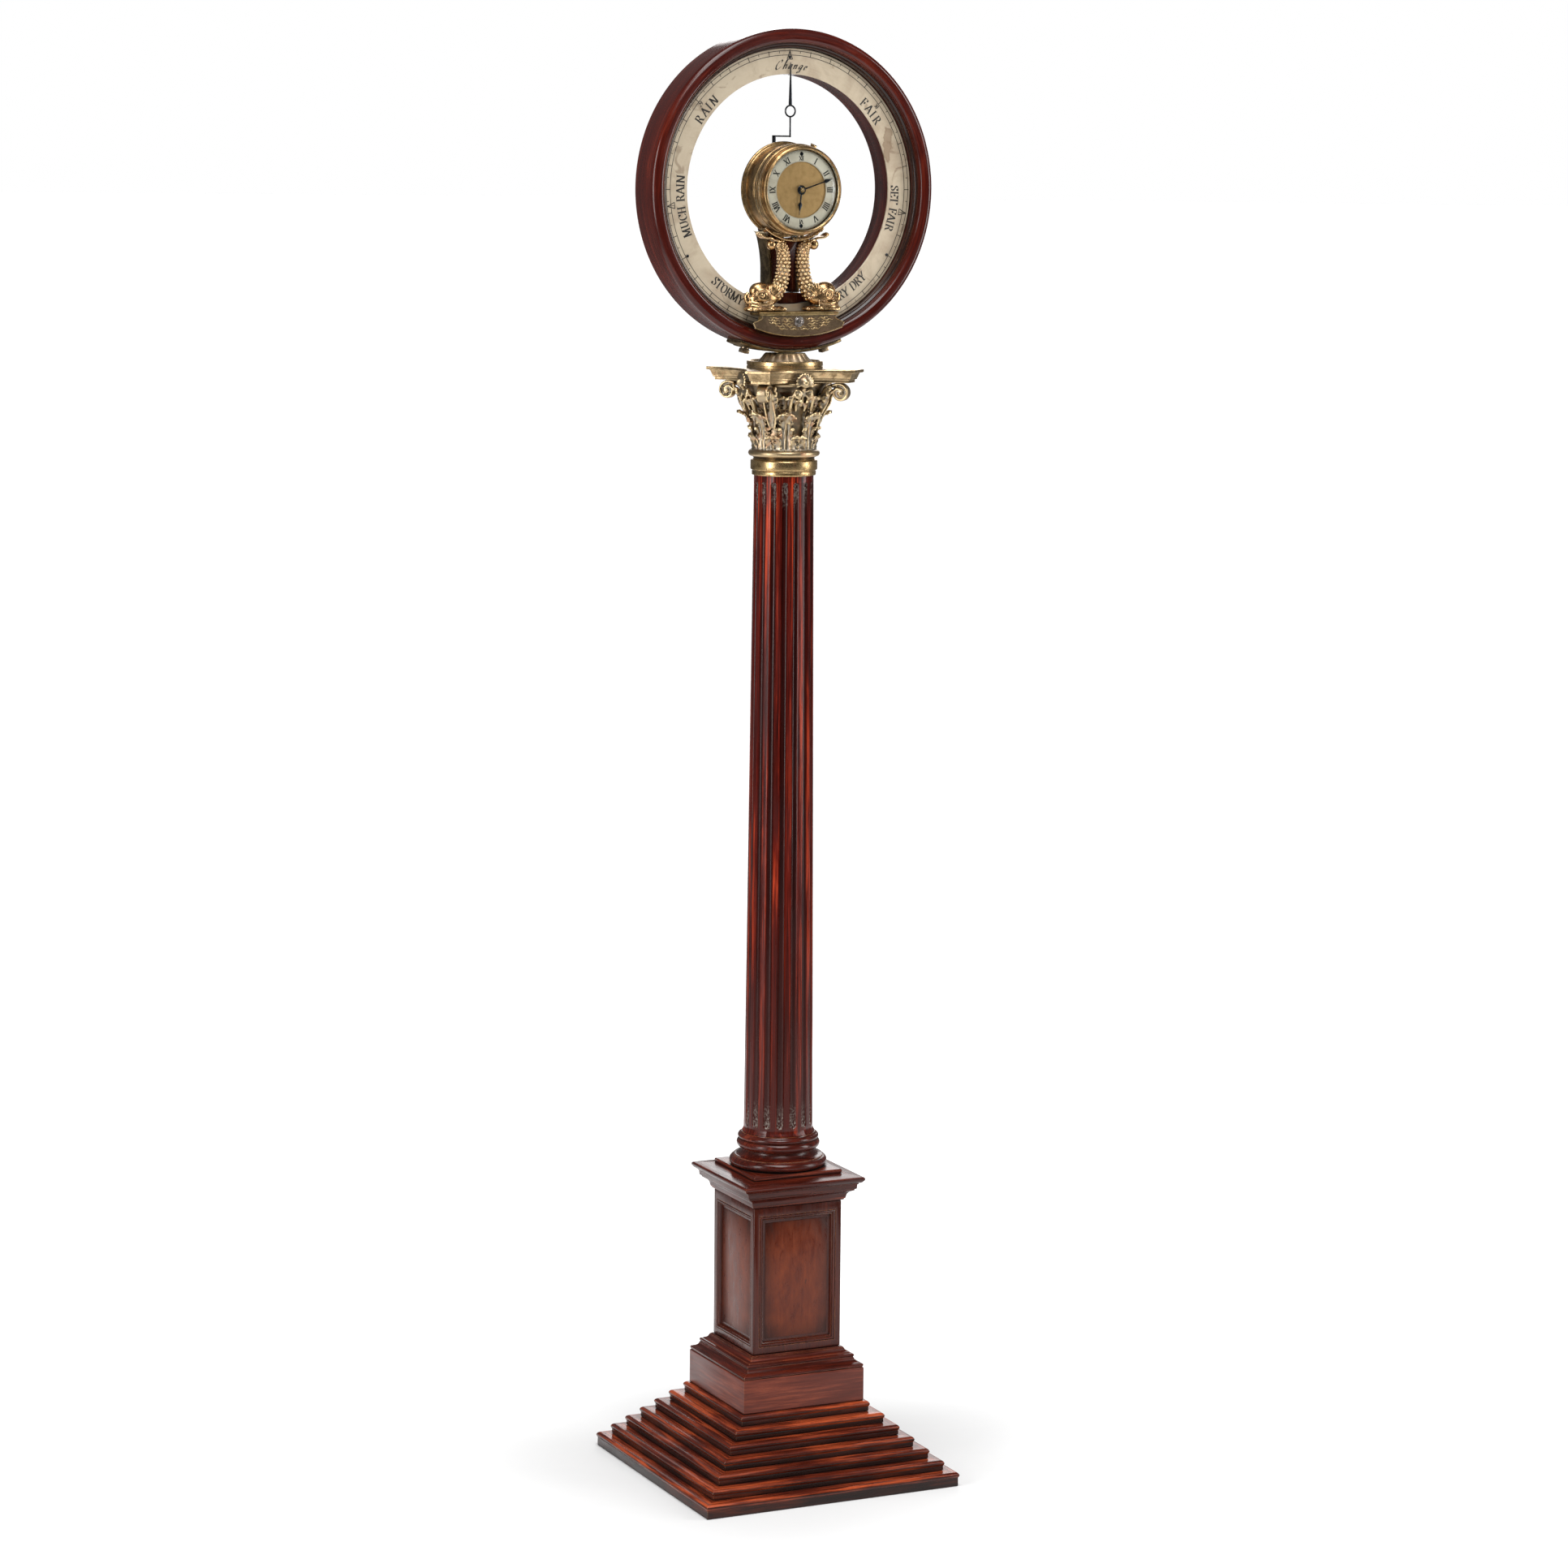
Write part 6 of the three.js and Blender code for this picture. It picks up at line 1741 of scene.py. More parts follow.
@dataclass
class WeatherRing:
    """The turned mahogany ring and its silvered weather dial."""

    outer: float = 156.0
    bore: float = 112.0
    back: float = -22.0
    dial_radius: float = 137.1
    dial_front: float = 5.2
    scale_outer: float = 134.6
    scale_inner: float = 130.4
    word_foot: float = 115.2
    word_height: float = 8.8
    screw_ring: float = 128.4

    def ring(self) -> Form:
        """The ring's section: rounded band, quirk, cove and bead down to the dial."""
        back = self.back
        profile = [(self.bore + 0.5, back), *arc((152.6, back + 3.4), 3.4, -90, 0, 5), (self.outer, 12.8),
                   *arc((150.4, 13.9), 5.6, 2, 88, 9), *arc((147.2, 14.6), 4.9, 92, 176, 6), (142.4, 13.9),
                   (142.0, 13.0), (141.2, 12.7), *arc((144.6, 7.4), 6.4, 124, 152, 3), (138.9, 11.0),
                   *arc((138.7, 10.0), 1.0, 80, 200, 4), (137.7, 8.6), (137.7, 3.7), (self.bore + 0.8, 3.7),
                   (self.bore, 3.1), (self.bore, back + 0.6)]
        return Form().spin(profile, 224, "Y", closed=True)

    def lettering(self) -> Form:
        """The scale, the weather words and the inch numbers."""
        mark = Engraving(self.dial_front)
        mark.circle(self.scale_outer, 0.62)
        mark.circle(self.scale_inner, 0.62)
        for i in range(72):
            clock = 5 * i
            if abs(clock - 180) < 18:
                continue
            if i % 2:
                mark.tick(clock, self.scale_outer - 2.2, self.scale_outer, 0.62)
            else:
                mark.tick(clock, self.scale_inner, self.scale_outer + 0.9, 0.70)
        foot, height = self.word_foot, self.word_height
        for text, clock, spread in (("RAIN", -50, 1.30), ("MUCH RAIN", -98, 1.0), ("FAIR", 50, 1.32),
                                    ("SET FAIR", 99, 0.98)):
            mark.word(text, clock, foot, height, Nib.ROMAN, spread=spread)
        for text, clock in (("STORMY", -146), ("VERY DRY", 146)):
            mark.word(text, clock, foot + height, height, Nib.ROMAN, outward=False)
        mark.word("Khange", 0, foot + 1.6, 9.0, Nib.SCRIPT, spread=1.22, slant=0.42)
        mark.word("29", -50, 125.4, 4.2, Nib.NUMERAL)
        mark.word("30", 50, 125.4, 4.2, Nib.NUMERAL)
        for clock in (0, -97, 100):
            corners = [mark.at(clock, 126.4, -3.0), mark.at(clock, self.scale_outer),
                       mark.at(clock, 126.4, 3.0)]
            for start, end in zip(corners, corners[1:] + corners[:1]):
                mark.line(start, end, 0.80)
            mark.line(mark.at(clock, 126.4), mark.at(clock, self.scale_outer), 0.5)
        return mark.finished()

    def screws(self) -> Form:
        """The small dark screws in the dial."""
        form = Form()
        for clock in (0, 120, 240):
            head = Form().spin([(0, 1.0), (0.9, 0.95), (1.35, 0.55), (1.5, -0.3), (0, -0.3)], 20, "Y")
            head.shift(y=-self.dial_front, z=self.screw_ring).turn(clock, "Y")
            form.add(head)
        return form

    def build(self) -> None:
        """Builds the ring, the dial and what is cut in it."""
        finish_piece("weather_ring", self.ring(), RING_WOOD, "head", ["ring_rim"], Place.HEAD, sharp=40)
        back, front = self.dial_front - 1.5 + GAP, self.dial_front
        profile = [(self.bore, back), (self.dial_radius, back), (self.dial_radius, front - 0.15),
                   (self.dial_radius - 0.2, front), (self.bore + 0.3, front), (self.bore, front - 0.25)]
        finish_piece("silvered_dial", Form().spin(profile, 224, "Y", closed=True), DIAL_SILVER, "head",
                     ["weather_dial"], Place.HEAD)
        finish_piece("dial_words", self.lettering(), WAX, "head", (), Place.HEAD)
        finish_piece("dial_screws", self.screws(), BLUED, "head", (), Place.HEAD)


@dataclass
class Trunk:
    """The wooden block on the ring, the trunk with its arch and curved brass sides, and the thumb screw."""

    base_top: float = -101.1
    base_half: float = 42.0
    top: float = -38.1
    seat: float = 111.7
    back: float = -22.0
    drum_clear: float = 47.6
    spring: float = -90.1
    arch_half: float = 10.5

    def half_at(self, height: float) -> float:
        """The trunk's half width: straight at the foot and flared under the drum."""
        share = max(0.0, (height + 80.1) / 42.0)
        return 14.2 + 7.2 * share * share

    def seat_curve(self, half: float, steps: int = 20) -> list[Pair]:
        """Points along the ring's bore from the right to the left."""
        edge = math.asin(half / self.seat)
        turns = [math.pi - edge + 2 * edge * i / steps for i in range(steps + 1)]
        return [(self.seat * math.sin(a), self.seat * math.cos(a)) for a in turns]

    def top_curve(self, half: float, steps: int = 12) -> list[Pair]:
        """Points under the drum from the left to the right."""
        xs = [-half + 2 * half * i / steps for i in range(steps + 1)]
        return [(x, min(self.top, -math.sqrt(self.drum_clear ** 2 - x * x))) for x in xs]

    def base(self) -> Form:
        """The block with a moulded front edge."""
        outline = [(-self.base_half, self.base_top), (self.base_half, self.base_top),
                   *self.seat_curve(self.base_half)]
        return Form().plate(outline, self.back, 2.0).soften(0.7, 2, 40)

    def core(self) -> Form:
        """Two wooden cheeks under a head with a round arch between them."""
        heights = [self.base_top + GAP + (self.top - self.base_top - GAP) * i / 14 for i in range(15)]
        right = [(self.half_at(z), z) for z in heights]
        over = list(reversed(self.top_curve(self.half_at(self.top))))
        left = [(-self.half_at(z), z) for z in reversed(heights)]
        arch = [(self.arch_half * math.cos(a), self.spring + self.arch_half * math.sin(a))
                for a in (math.pi * (1 - i / 16) for i in range(17))]
        outline = [*right, *over[1:-1], *left, (-self.arch_half, heights[0]), *arch,
                   (self.arch_half, heights[0])]
        return Form().plate(outline, -20.0, -4.5).soften(0.5, 2, 40)

    def side(self, way: int) -> Form:
        """A curved brass side."""
        heights = [self.base_top + GAP + (self.top + 3.0 - self.base_top - GAP) * i / 18 for i in range(19)]
        inner = [(way * (self.half_at(z) + GAP), z) for z in heights]
        outer = [(way * (self.half_at(z) + GAP + 2.0), z) for z in heights]
        outline = [*inner, *reversed(outer)]
        clear = self.drum_clear + 0.4
        outline = [(x, min(z, -math.sqrt(clear ** 2 - x * x))) for x, z in outline]
        return Form().plate(outline, self.back, -2.0).soften(0.35, 2, 40)

    def thumb_screw(self) -> Form:
        """A milled head on a short shank, on the left."""
        form = Form()
        knob = Form().spin([(0, -3.0), (3.0, -3.0), (3.6, -2.4), (3.6, 2.2), (3.0, 2.9), (1.2, 3.1), (0, 3.1)],
                           48)
        for vert in knob.mesh.verts:
            if math.hypot(vert.co.x,
                          vert.co.y) > 3.5 and round(math.atan2(vert.co.y, vert.co.x) * 24 / math.pi) % 2:
                vert.co.x, vert.co.y = vert.co.x * 0.94, vert.co.y * 0.94
        form.add(knob.turn(-90, "Y").shift(-22.2, 12.0, -95.6))
        shank = Form().spin([(0, -2.0), (1.2, -2.0), (1.2, 2.0), (0, 2.0)], 20).turn(90, "Y")
        return form.add(shank.shift(-18.6, 12.0, -95.6))

    def build(self) -> None:
        """Builds the trunk."""
        finish_piece("trunk_block", self.base(), TRUNK_WOOD, "head", ["trunk_base"], Place.HEAD)
        finish_piece("trunk_wood", self.core(), TRUNK_WOOD, "head", ["trunk_core"], Place.HEAD)
        for way, word in ((-1, "left"), (1, "right")):
            finish_piece(f"trunk_cheek_{word}", self.side(way), DARK_BRASS, "head", [f"trunk_side_{word}"],
                         Place.HEAD)
        finish_piece("milled_screw", self.thumb_screw(), BOLT_STEEL, "head", ["thumb_screw"], Place.HEAD)


@dataclass
class Platform:
    """The shelf the dolphins stand on and the engraved apron under it."""

    top: float = -118.5
    thickness: float = 3.8
    half: float = 44.0
    front: float = 30.0
    back: float = 8.6
    apron_front: float = 29.0
    apron_thickness: float = 1.6
    apron_radius: float = 143.0
    screw_height: float = -128.2

    def shelf(self) -> Form:
        """The shelf with a rounded nosing, over the block that holds the apron."""
        low = self.top - self.thickness
        tiers = [(1.6, low), (0.9, low + 0.5), (0.8, low + 1.0), (0.1, low + 1.4), (0.0, low + 2.2),
                 (0.2, self.top - 0.8), (0.8, self.top - 0.2), (1.6, self.top)]
        form = Form().loft([[(-self.half + i, -self.front + i, z), (self.half - i, -self.front + i, z),
                             (self.half - i, -self.back, z),
                             (-self.half + i, -self.back, z)] for i, z in tiers])
        edge = 0.31
        seat = [(141 * math.sin(a),
                 141 * math.cos(a)) for a in (math.pi + edge - 2 * edge * i / 16 for i in range(17))]
        block = Form().plate([(40.0, low + 0.1), (-40.0, low + 0.1), *seat], 20.3,
                             self.apron_front - self.apron_thickness - GAP)
        return form.add(block)

    def outline(self, inset: float) -> list[Pair]:
        """The apron's outline: hollow ends and an arched foot."""
        low = self.top - self.thickness - GAP
        ends = []
        for i in range(9):
            share = i / 8
            ends.append((41 + 10 * share * share - inset * (1 - 0.3 * share),
                         low - 7 * share - inset * (1 - 2 * share)))
        radius = self.apron_radius - inset
        edge = math.asin(ends[-1][0] / radius)
        foot = [(radius * math.sin(a), radius * math.cos(a))
                for a in (math.pi - edge + 2 * edge * i / 40 for i in range(1, 40))]
        return [*ends, *foot, *[(-x, z) for x, z in reversed(ends)]]

    def apron(self) -> Form:
        """The plate with a bevelled edge."""
        back = self.apron_front - self.apron_thickness
        sections = [(0.0, back), (0.0, self.apron_front - 0.4), (0.35, self.apron_front)]
        return Form().loft([[(x, -depth, z) for x, z in self.outline(inset)] for inset, depth in sections])

    def waves(self) -> Form:
        """Rows of engraved wavelets round the screw."""
        form = Form()
        rows = ((-125.6, 33, 5, 0.0), (-128.0, 37, 5, 2.0), (-130.6, 35, 5, 1.0), (-133.0, 30, 5, 3.0),
                (-135.4, 24, 4, 0.5))
        for height, reach, pieces, shift in rows:
            span = 2 * reach / pieces
            for k in range(pieces):
                middle = -reach + span * (k + 0.5) + shift
                if abs(middle) < 7 and height > -132:
                    continue
                path = []
                for i in range(19):
                    x = middle + (i / 18 - 0.5) * span * 0.86
                    dip = 0.0016 * x * x
                    path.append(Vector((x, -self.apron_front - 0.02,
                                        height + dip + 0.55 * math.sin(x * 1.1 + shift))))
                form.tube(path, lambda share: (0.60 * math.sin(math.pi * (0.08 + 0.84 * share)), 0.2), 8)
        return form

    def rim(self) -> Form:
        """The rubbed line along the apron's edge."""
        line = [Vector((x, -self.apron_front - 0.05, z)) for x, z in self.outline(0.75)]
        return Form().tube(line, even(0.48), 6)

    def screw(self) -> Form:
        """A domed screw in a ring, with its slot level."""
        profile = [(0, 1.25), (1.5, 1.2), (2.5, 1.0), (3.0, 0.6), (3.2, 0.1), (3.2, -0.2), (0, -0.2)]
        head = Form().spin(profile, 40, "Y")
        slot = [f for f in head.mesh.faces if abs(f.calc_center_median().z) < 0.42
                and f.calc_center_median().y < -0.6]
        made = bmesh.ops.extrude_face_region(head.mesh, geom=slot)
        bmesh.ops.translate(head.mesh, verts=new_corners(made), vec=(0, 0.7, 0))
        bmesh.ops.delete(head.mesh, geom=slot, context="FACES")
        head.heal()
        head.hoop(3.5, 0.5, (0, 0, 0), "Y", 40).stretch(x=1.3, z=1.3)
        return head.shift(y=-self.apron_front, z=self.screw_height)

    def build(self) -> None:
        """Builds the shelf and the apron."""
        finish_piece("shelf", self.shelf(), PLAIN_BRASS, "head", ["clock_platform"], Place.HEAD, sharp=45)
        finish_piece("apron", self.apron(), APRON_BRASS, "head", ["apron_plate"], Place.HEAD)
        finish_piece("apron_rim", self.rim(), PALE_BRASS, "head", (), Place.HEAD)
        finish_piece("apron_waves", self.waves(), PALE_BRASS, "head", (), Place.HEAD)
        finish_piece("slotted_screw", self.screw(), SCREW_STEEL, "head", ["apron_screw"], Place.HEAD)


@dataclass
class Dolphins:
    """Two cast dolphins that stand on their chins, and the cradle on their tails."""

    floor: float = -118.2
    voxel: float = 0.50
    drum_clear: float = 47.2
    hand_clear: float = -8.3
    dial_clear: float = -6.2
    shoulder: float = -96.0
    rows: int = 18
    cradle_reach: float = 41.0

    def body_path(self) -> list[Vector]:
        """The middle line from the neck to the tail, for the dolphin on the right."""
        places = [(23.0, -14.6, -105.0), (16.4, -14.8, -97.0), (12.6, -15.2, -87.5), (10.9, -15.4, -77.0),
                  (10.5, -15.0, -67.0), (11.4, -14.6, -59.0), (14.2, -14.2, -53.5), (18.5, -14.0, -51.5)]
        return curve(places, 8)

    def body(self) -> Form:
        """The neck and tail with rows of scales and a belly ridge."""
        path = self.body_path()
        form = Form().tube(path, lambda share: (7.0 - 2.6 * share, 6.2 - 2.0 * share), 20)
        for row in range(self.rows):
            place = (row + 1.0) / (self.rows + 1) * (len(path) - 2)
            index = int(place)
            spot = path[index].lerp(path[index + 1], place - index)
            ahead = (path[index + 1] - path[index]).normalized()
            across = ahead.cross(Vector((0, 1, 0))).normalized()
            size = 6.9 - 2.5 * place / len(path)
            for k in range(9):
                angle = math.tau * (k + 0.5 * (row % 2)) / 9
                spot_k = spot + across * size * math.cos(angle) + Vector((0, 1, 0)) * size * math.sin(angle)
                form.ball(1.95, tuple(spot_k), (1.0, 0.9, 0.85), 4)
        return form

    def head(self) -> Form:
        """Forehead, cheeks, ringed eyes, lips, a curled snout and gill leaves."""
        form = Form()
        base = self.floor
        form.ball(1.0, (31.0, -14.4, base + 12.0), (14.0, 8.6, 8.6), 16)
        form.ball(1.0, (35.5, -14.4, base + 17.0), (9.8, 8.0, 7.6), 14)
        form.ball(1.0, (25.5, -14.2, base + 15.5), (8.6, 8.0, 8.0), 14)
        form.ball(1.0, (43.0, -14.4, base + 8.2), (5.6, 6.0, 5.2), 12)
        snout = [(44.0, -14.4, base + 7.0), (47.6, -14.6, base + 9.4), (48.2, -14.8, base + 13.4),
                 (46.2, -14.9, base + 15.2)]
        form.tube(curve(snout, 6), tapered(3.4, 1.9), 12)
        for way in (-1, 1):
            front = -14.4 + way * 7.2
            eye = Form().ball(2.1, (0, 0, 0), (1, 0.8, 1), 8).hoop(3.2, 0.95).turn(-way * 8)
            form.add(eye.shift(36.0, front, base + 13.4))
            brow = [(29.8, front + way * 0.2, base + 15.8), (34.4, front + way * 0.9, base + 18.4),
                    (39.6, front, base + 17.0), (41.4, front - way * 1.2, base + 13.4)]
            form.tube(curve(brow, 6), tapered(1.5, 0.9), 10)
            for lift, size in ((3.6, 1.7), (6.6, 1.4)):
                lip = [(26.0, front + way * 0.6, base + lift + 1.4),
                       (33.0, front + way * 1.4, base + lift - 0.4),
                       (40.0, front + way * 0.6, base + lift), (46.0, front - way * 2.6, base + lift + 1.2)]
                form.tube(curve(lip, 6), even(size), 10)
            for k in range(5):
                angle = math.radians(150 - 26 * k)
                tip = Vector((22.5 + 7.2 * math.cos(angle), front + way * 0.4,
                              base + 16.0 + 8.2 * math.sin(angle)))
                root = Vector((26.0, front - way * 1.0, base + 12.5))
                form.tube([root, root.lerp(tip, 0.5) + Vector((0, way * 1.1, 0)), tip],
                          lambda share: (1.9 - 1.1 * share, 1.3 - 0.6 * share), 10)
        return form

    def rock(self) -> Form:
        """The wavelets under the chin."""
        form = Form()
        lumps = ((18.0, 4.6), (23.0, 5.6), (29.0, 6.2), (35.5, 6.4), (41.5, 5.6), (46.0, 4.2))
        for index, (x, size) in enumerate(lumps):
            form.ball(1.0, (x, -16.0 + 1.2 * (index % 2), self.floor + 1.9),
                      (size, 8.2 - 0.6 * (index % 2), 2.6), 10)
        for depth, start, end in ((-23.4, 15.0, 33.0), (-24.2, 28.0, 46.0), (-8.6, 18.0, 44.0)):
            line = [(start, depth, self.floor + 1.3), ((start + end) / 2, depth - 0.8, self.floor + 1.6),
                    (end, depth, self.floor + 1.2)]
            form.tube(curve(line, 6), tapered(1.5, 0.9), 10)
            form.ball(1.7, (start, depth, self.floor + 1.8), (1, 1, 1), 6)
        return form

    def tail(self) -> Form:
        """The ball and the leafy cup that reaches out under the drum."""
        form = Form()
        form.ball(5.0, (23.7, -13.6, -53.4), (1, 1, 1.04), 14)
        for k in range(6):
            root = Vector((17.0, -13.0, -52.0))
            middle = Vector((25.5, -13.0 - 5.2 + 2.0 * k, -47.9 + 0.25 * abs(k - 2.5)))
            tip = Vector((39.4 - 0.6 * abs(k - 2.5), -13.0 - 6.4 + 2.6 * k, -41.6 - 0.6 * abs(k - 2.5)))
            path = curve([root, middle, middle.lerp(tip, 0.6) - Vector((0, 0, 1.6)), tip], 6)
            form.tube(path, lambda share: (1.35 - 0.3 * share, 1.7 * math.sin(math.pi * (0.25 + 0.62 * share))),
                      10)
        for way in (-1, 1):
            curl = curve([(15.0, -13.0 + way * 4.4, -52.6), (19.0, -13.0 + way * 6.0, -49.4),
                          (23.0, -13.0 + way * 5.6, -49.0)], 6)
            form.tube(curl, tapered(1.7, 0.9), 10)
        return form

    def dolphin(self, way: int) -> Form:
        """One dolphin, fused, flat under its foot and hollowed for the drum."""
        foot = self.head().add(self.rock()).shift(-30.0, 0.0, -self.floor)
        foot.stretch(x=1.14, z=1.16).shift(30.0, 0.0, self.floor)
        form = self.body().add(foot, self.tail())
        cast = remeshed(form, self.voxel, 1).stretch(x=way)
        for vert in cast.mesh.verts:
            vert.co.z = max(vert.co.z, self.floor)
            vert.co.y = min(vert.co.y, self.hand_clear if vert.co.z > self.shoulder else self.dial_clear)
            radius = math.hypot(vert.co.x, vert.co.z)
            if radius < self.drum_clear:
                share = self.drum_clear / radius
                vert.co.x, vert.co.z = vert.co.x * share, vert.co.z * share
        if way < 0:
            bmesh.ops.reverse_faces(cast.mesh, faces=cast.mesh.faces)
        return cast.keep_relief(0.16)

    def cradle(self) -> Form:
        """The ribbed band under the drum, between the tails."""
        form = Form()
        for k in range(5):
            depth = 9.4 + 2.1 * k
            path = []
            for i in range(33):
                angle = math.radians(180 + self.cradle_reach * (i / 16 - 1))
                path.append(Vector((49.2 * math.sin(angle), -depth, 49.2 * math.cos(angle))))
            form.tube(path, even(1.35), 10)
        for side in (-1, 1):
            for k in range(4):
                angle = math.radians(180 + side * (self.cradle_reach - 3 - 7 * k))
                form.ball(1.9, (50.2 * math.sin(angle), -13.6, 50.2 * math.cos(angle)), (1, 2.6, 1), 7)
        return remeshed(form, 0.5, 1).keep_relief(0.16)

    def build(self) -> None:
        """Builds both dolphins and the cradle."""
        for way, word in ((-1, "left"), (1, "right")):
            finish_piece(f"cast_dolphin_{word}", self.dolphin(way), GILT, "head", [f"dolphin_{word}"],
                         Place.HEAD, 180)
        finish_piece("leaf_cradle", self.cradle(), GILT, "head", ["drum_cradle"], Place.HEAD, 180)


@dataclass
class DrumClock:
    """The drum, its back cover, the hinged bezel with its domed glass, and the dial."""

    radius: float = 43.2
    wall: float = 1.8
    back: float = -7.5
    front: float = 21.4
    bezel_radius: float = 44.8
    lip: float = 39.6
    seat: float = 41.2
    glass_front: float = 34.7
    glass_rise: float = 4.2
    chapter_outer: float = 38.6
    chapter_inner: float = 27.4
    chapter_front: float = 31.2
    hinge_depth: float = 24.0
    hinge_drop: float = 47.6
    knurls: int = 160

    def knuckle(self, start: float, end: float, radius: float = 2.0) -> Form:
        """A hinge knuckle round the pin, with a leaf up to the drum or the bezel."""
        form = Form().spin([(0.96, start), (radius - 0.25, start), (radius, start + 0.25), (radius, end - 0.25),
                            (radius - 0.25, end), (0.96, end)], 24, closed=True)
        return form.turn(90, "Y").shift(0.0, -self.hinge_depth, -self.hinge_drop)

    def block(self, x: Pair, y: Pair, z: Pair, round_by: float = 0.3) -> Form:
        """A small block with softened edges between bounds."""
        middle = [(low + high) / 2 for low, high in (x, y, z)]
        return Form().box(middle, [high - low for low, high in (x, y, z)]).soften(round_by, 2)

    def drum(self) -> Form:
        """The case: rear flange, plain wall, and a double line before the bezel."""
        inner, wall = self.radius - self.wall, self.radius
        profile = [(inner, self.back), (45.6, self.back), (46.6, self.back + 0.3), (46.9, self.back + 1.0),
                   (46.9, self.back + 2.0), (46.4, self.back + 2.6), (45.0, self.back + 2.9),
                   (44.8, self.back + 3.6), (44.2, self.back + 4.0), (wall, self.back + 4.3), (wall, 11.6),
                   *arc((wall + 0.1, 12.7), 0.9, -80, 80, 5), (wall + 0.2, 13.9), (44.5, 14.2), (44.8, 14.7),
                   (44.8, 16.2), (44.4, 16.7), (wall + 0.1, 17.0), (wall, 17.5), (wall, self.front),
                   (inner, self.front)]
        form = Form().spin(profile, 160, "Y", closed=True)
        for start, end in ((-5.0, -2.2), (2.2, 5.0)):
            form.add(self.knuckle(start, end))
            form.add(self.block((start, end), (-self.hinge_depth, -self.front + 1.2),
                                (-self.hinge_drop - 1.2, -self.hinge_drop + 1.2)))
            form.add(self.block((start, end), (-self.front + 0.2, -self.front + 2.4),
                                (-self.hinge_drop - 1.2, -self.radius + 0.6)))
        return form

    def cover(self) -> Form:
        """The domed back cover with rings and a boss."""
        face = self.back - GAP
        profile = [(1.6, face), (1.6, face - 5.0), (4.1, face - 5.0), (4.5, face - 4.6), (4.5, face - 2.4),
                   (5.4, face - 2.0), (24.0, face - 1.9), (24.6, face - 2.3), (25.8, face - 2.3),
                   (26.4, face - 1.9),
                   (39.6, face - 1.6), (40.4, face - 2.0), (42.4, face - 1.9), (43.2, face - 1.3),
                   (45.0, face - 1.1),
                   (45.5, face - 0.6), (45.5, face)]
        return Form().spin(profile, 128, "Y", closed=True)

    def knurled_ring(self) -> Form:
        """The milled ring next to the bezel's seat."""
        ring = Form().spin([(43.5, 18.0), (44.5, 18.2), (44.8, 19.0), (44.5, 19.8), (43.5, 20.0)], self.knurls,
                           "Y",
                           closed=True)
        for vert in ring.mesh.verts:
            reach = math.hypot(vert.co.x, vert.co.z)
            column = round(math.atan2(vert.co.z, vert.co.x) / math.tau * self.knurls)
            if reach > 44 and column % 2:
                vert.co.x, vert.co.z = vert.co.x * (reach - 0.5) / reach, vert.co.z * (reach - 0.5) / reach
        return ring

    def bezel(self) -> Form:
        """The bezel: rounded band, groove, bead, broad cove and lip, with its knuckle and its tab."""
        profile = [(self.seat, self.front + GAP), (44.2, self.front + GAP), (44.8, 22.3), (44.8, 24.0),
                   (44.4, 24.7), (43.5, 25.0), (43.4, 25.6), *arc((43.4, 26.6), 0.95, -70, 70, 5), (42.7, 27.7),
                   (42.3, 28.6), (42.1, 30.2), (42.3, 31.8), (42.9, 33.2), (43.0, 34.0), (42.6, 34.8),
                   (41.9, 35.3), *arc((40.9, 35.1), 0.9, 70, 130, 3), (self.lip + 0.3, 35.5), (self.lip, 35.0),
                   (self.seat, 35.0), (self.seat, 33.3), (39.8, 33.2), (39.5, 32.5), (40.1, 31.3),
                   (self.seat, 31.0)]
        form = Form().spin(profile, 160, "Y", closed=True)
        form.add(self.knuckle(-1.9, 1.9))
        form.add(self.block((-1.9, 1.9), (-self.hinge_depth - 1.2, -self.hinge_depth + 0.8),
                            (-self.hinge_drop, -self.bezel_radius + 1.4)))
        tab = self.block((-3.0, 3.0), (-24.6, -23.0), (self.bezel_radius - 1.0, self.bezel_radius + 1.8))
        tab.tube([Vector((-3.2, -23.8, self.bezel_radius + 1.9)),
                  Vector((3.2, -23.8, self.bezel_radius + 1.9))],
                 even(0.8), 12)
        return form.add(tab.turn(math.degrees(0.38), "Y"))

    def glass(self) -> Form:
        """A low dome with a flat rim behind the lip."""
        radius = self.lip - 0.5
        shares = [i / 10 for i in range(11)]
        inside = [(radius * t, self.glass_front - 1.2 + self.glass_rise * (1 - t * t)) for t in shares]
        outside = [(radius * t, self.glass_front + self.glass_rise * (1 - t * t)) for t in reversed(shares)]
        rim = [(self.seat - GAP, self.glass_front - 1.2), (self.seat - GAP, self.glass_front)]
        return Form().spin([*inside, *rim, *outside], 96, "Y")

    def chapter(self) -> Form:
        """Roman hours, minute dots and two circles."""
        mark = Engraving(self.chapter_front, thickness=0.06)
        mark.circle(self.chapter_inner + 0.5, 0.14, 160)
        for minute in range(60):
            clock = 6 * minute
            mark.dot(clock, 37.0, 0.28 if minute % 5 else 0.42, 8)
        hours = ("I", "II", "III", "IIII", "V", "VI", "VII", "VIII", "IX", "X", "XI", "XII")
        for hour, text in enumerate(hours, 1):
            small = hour in (6, 12)
            mark.word(text, 30 * hour, 28.9 if not small else 28.7, 4.2 if small else 6.2, Nib.NUMERAL,
                      spread=0.66 if len(text) > 2 else 0.8)
        return mark.finished()

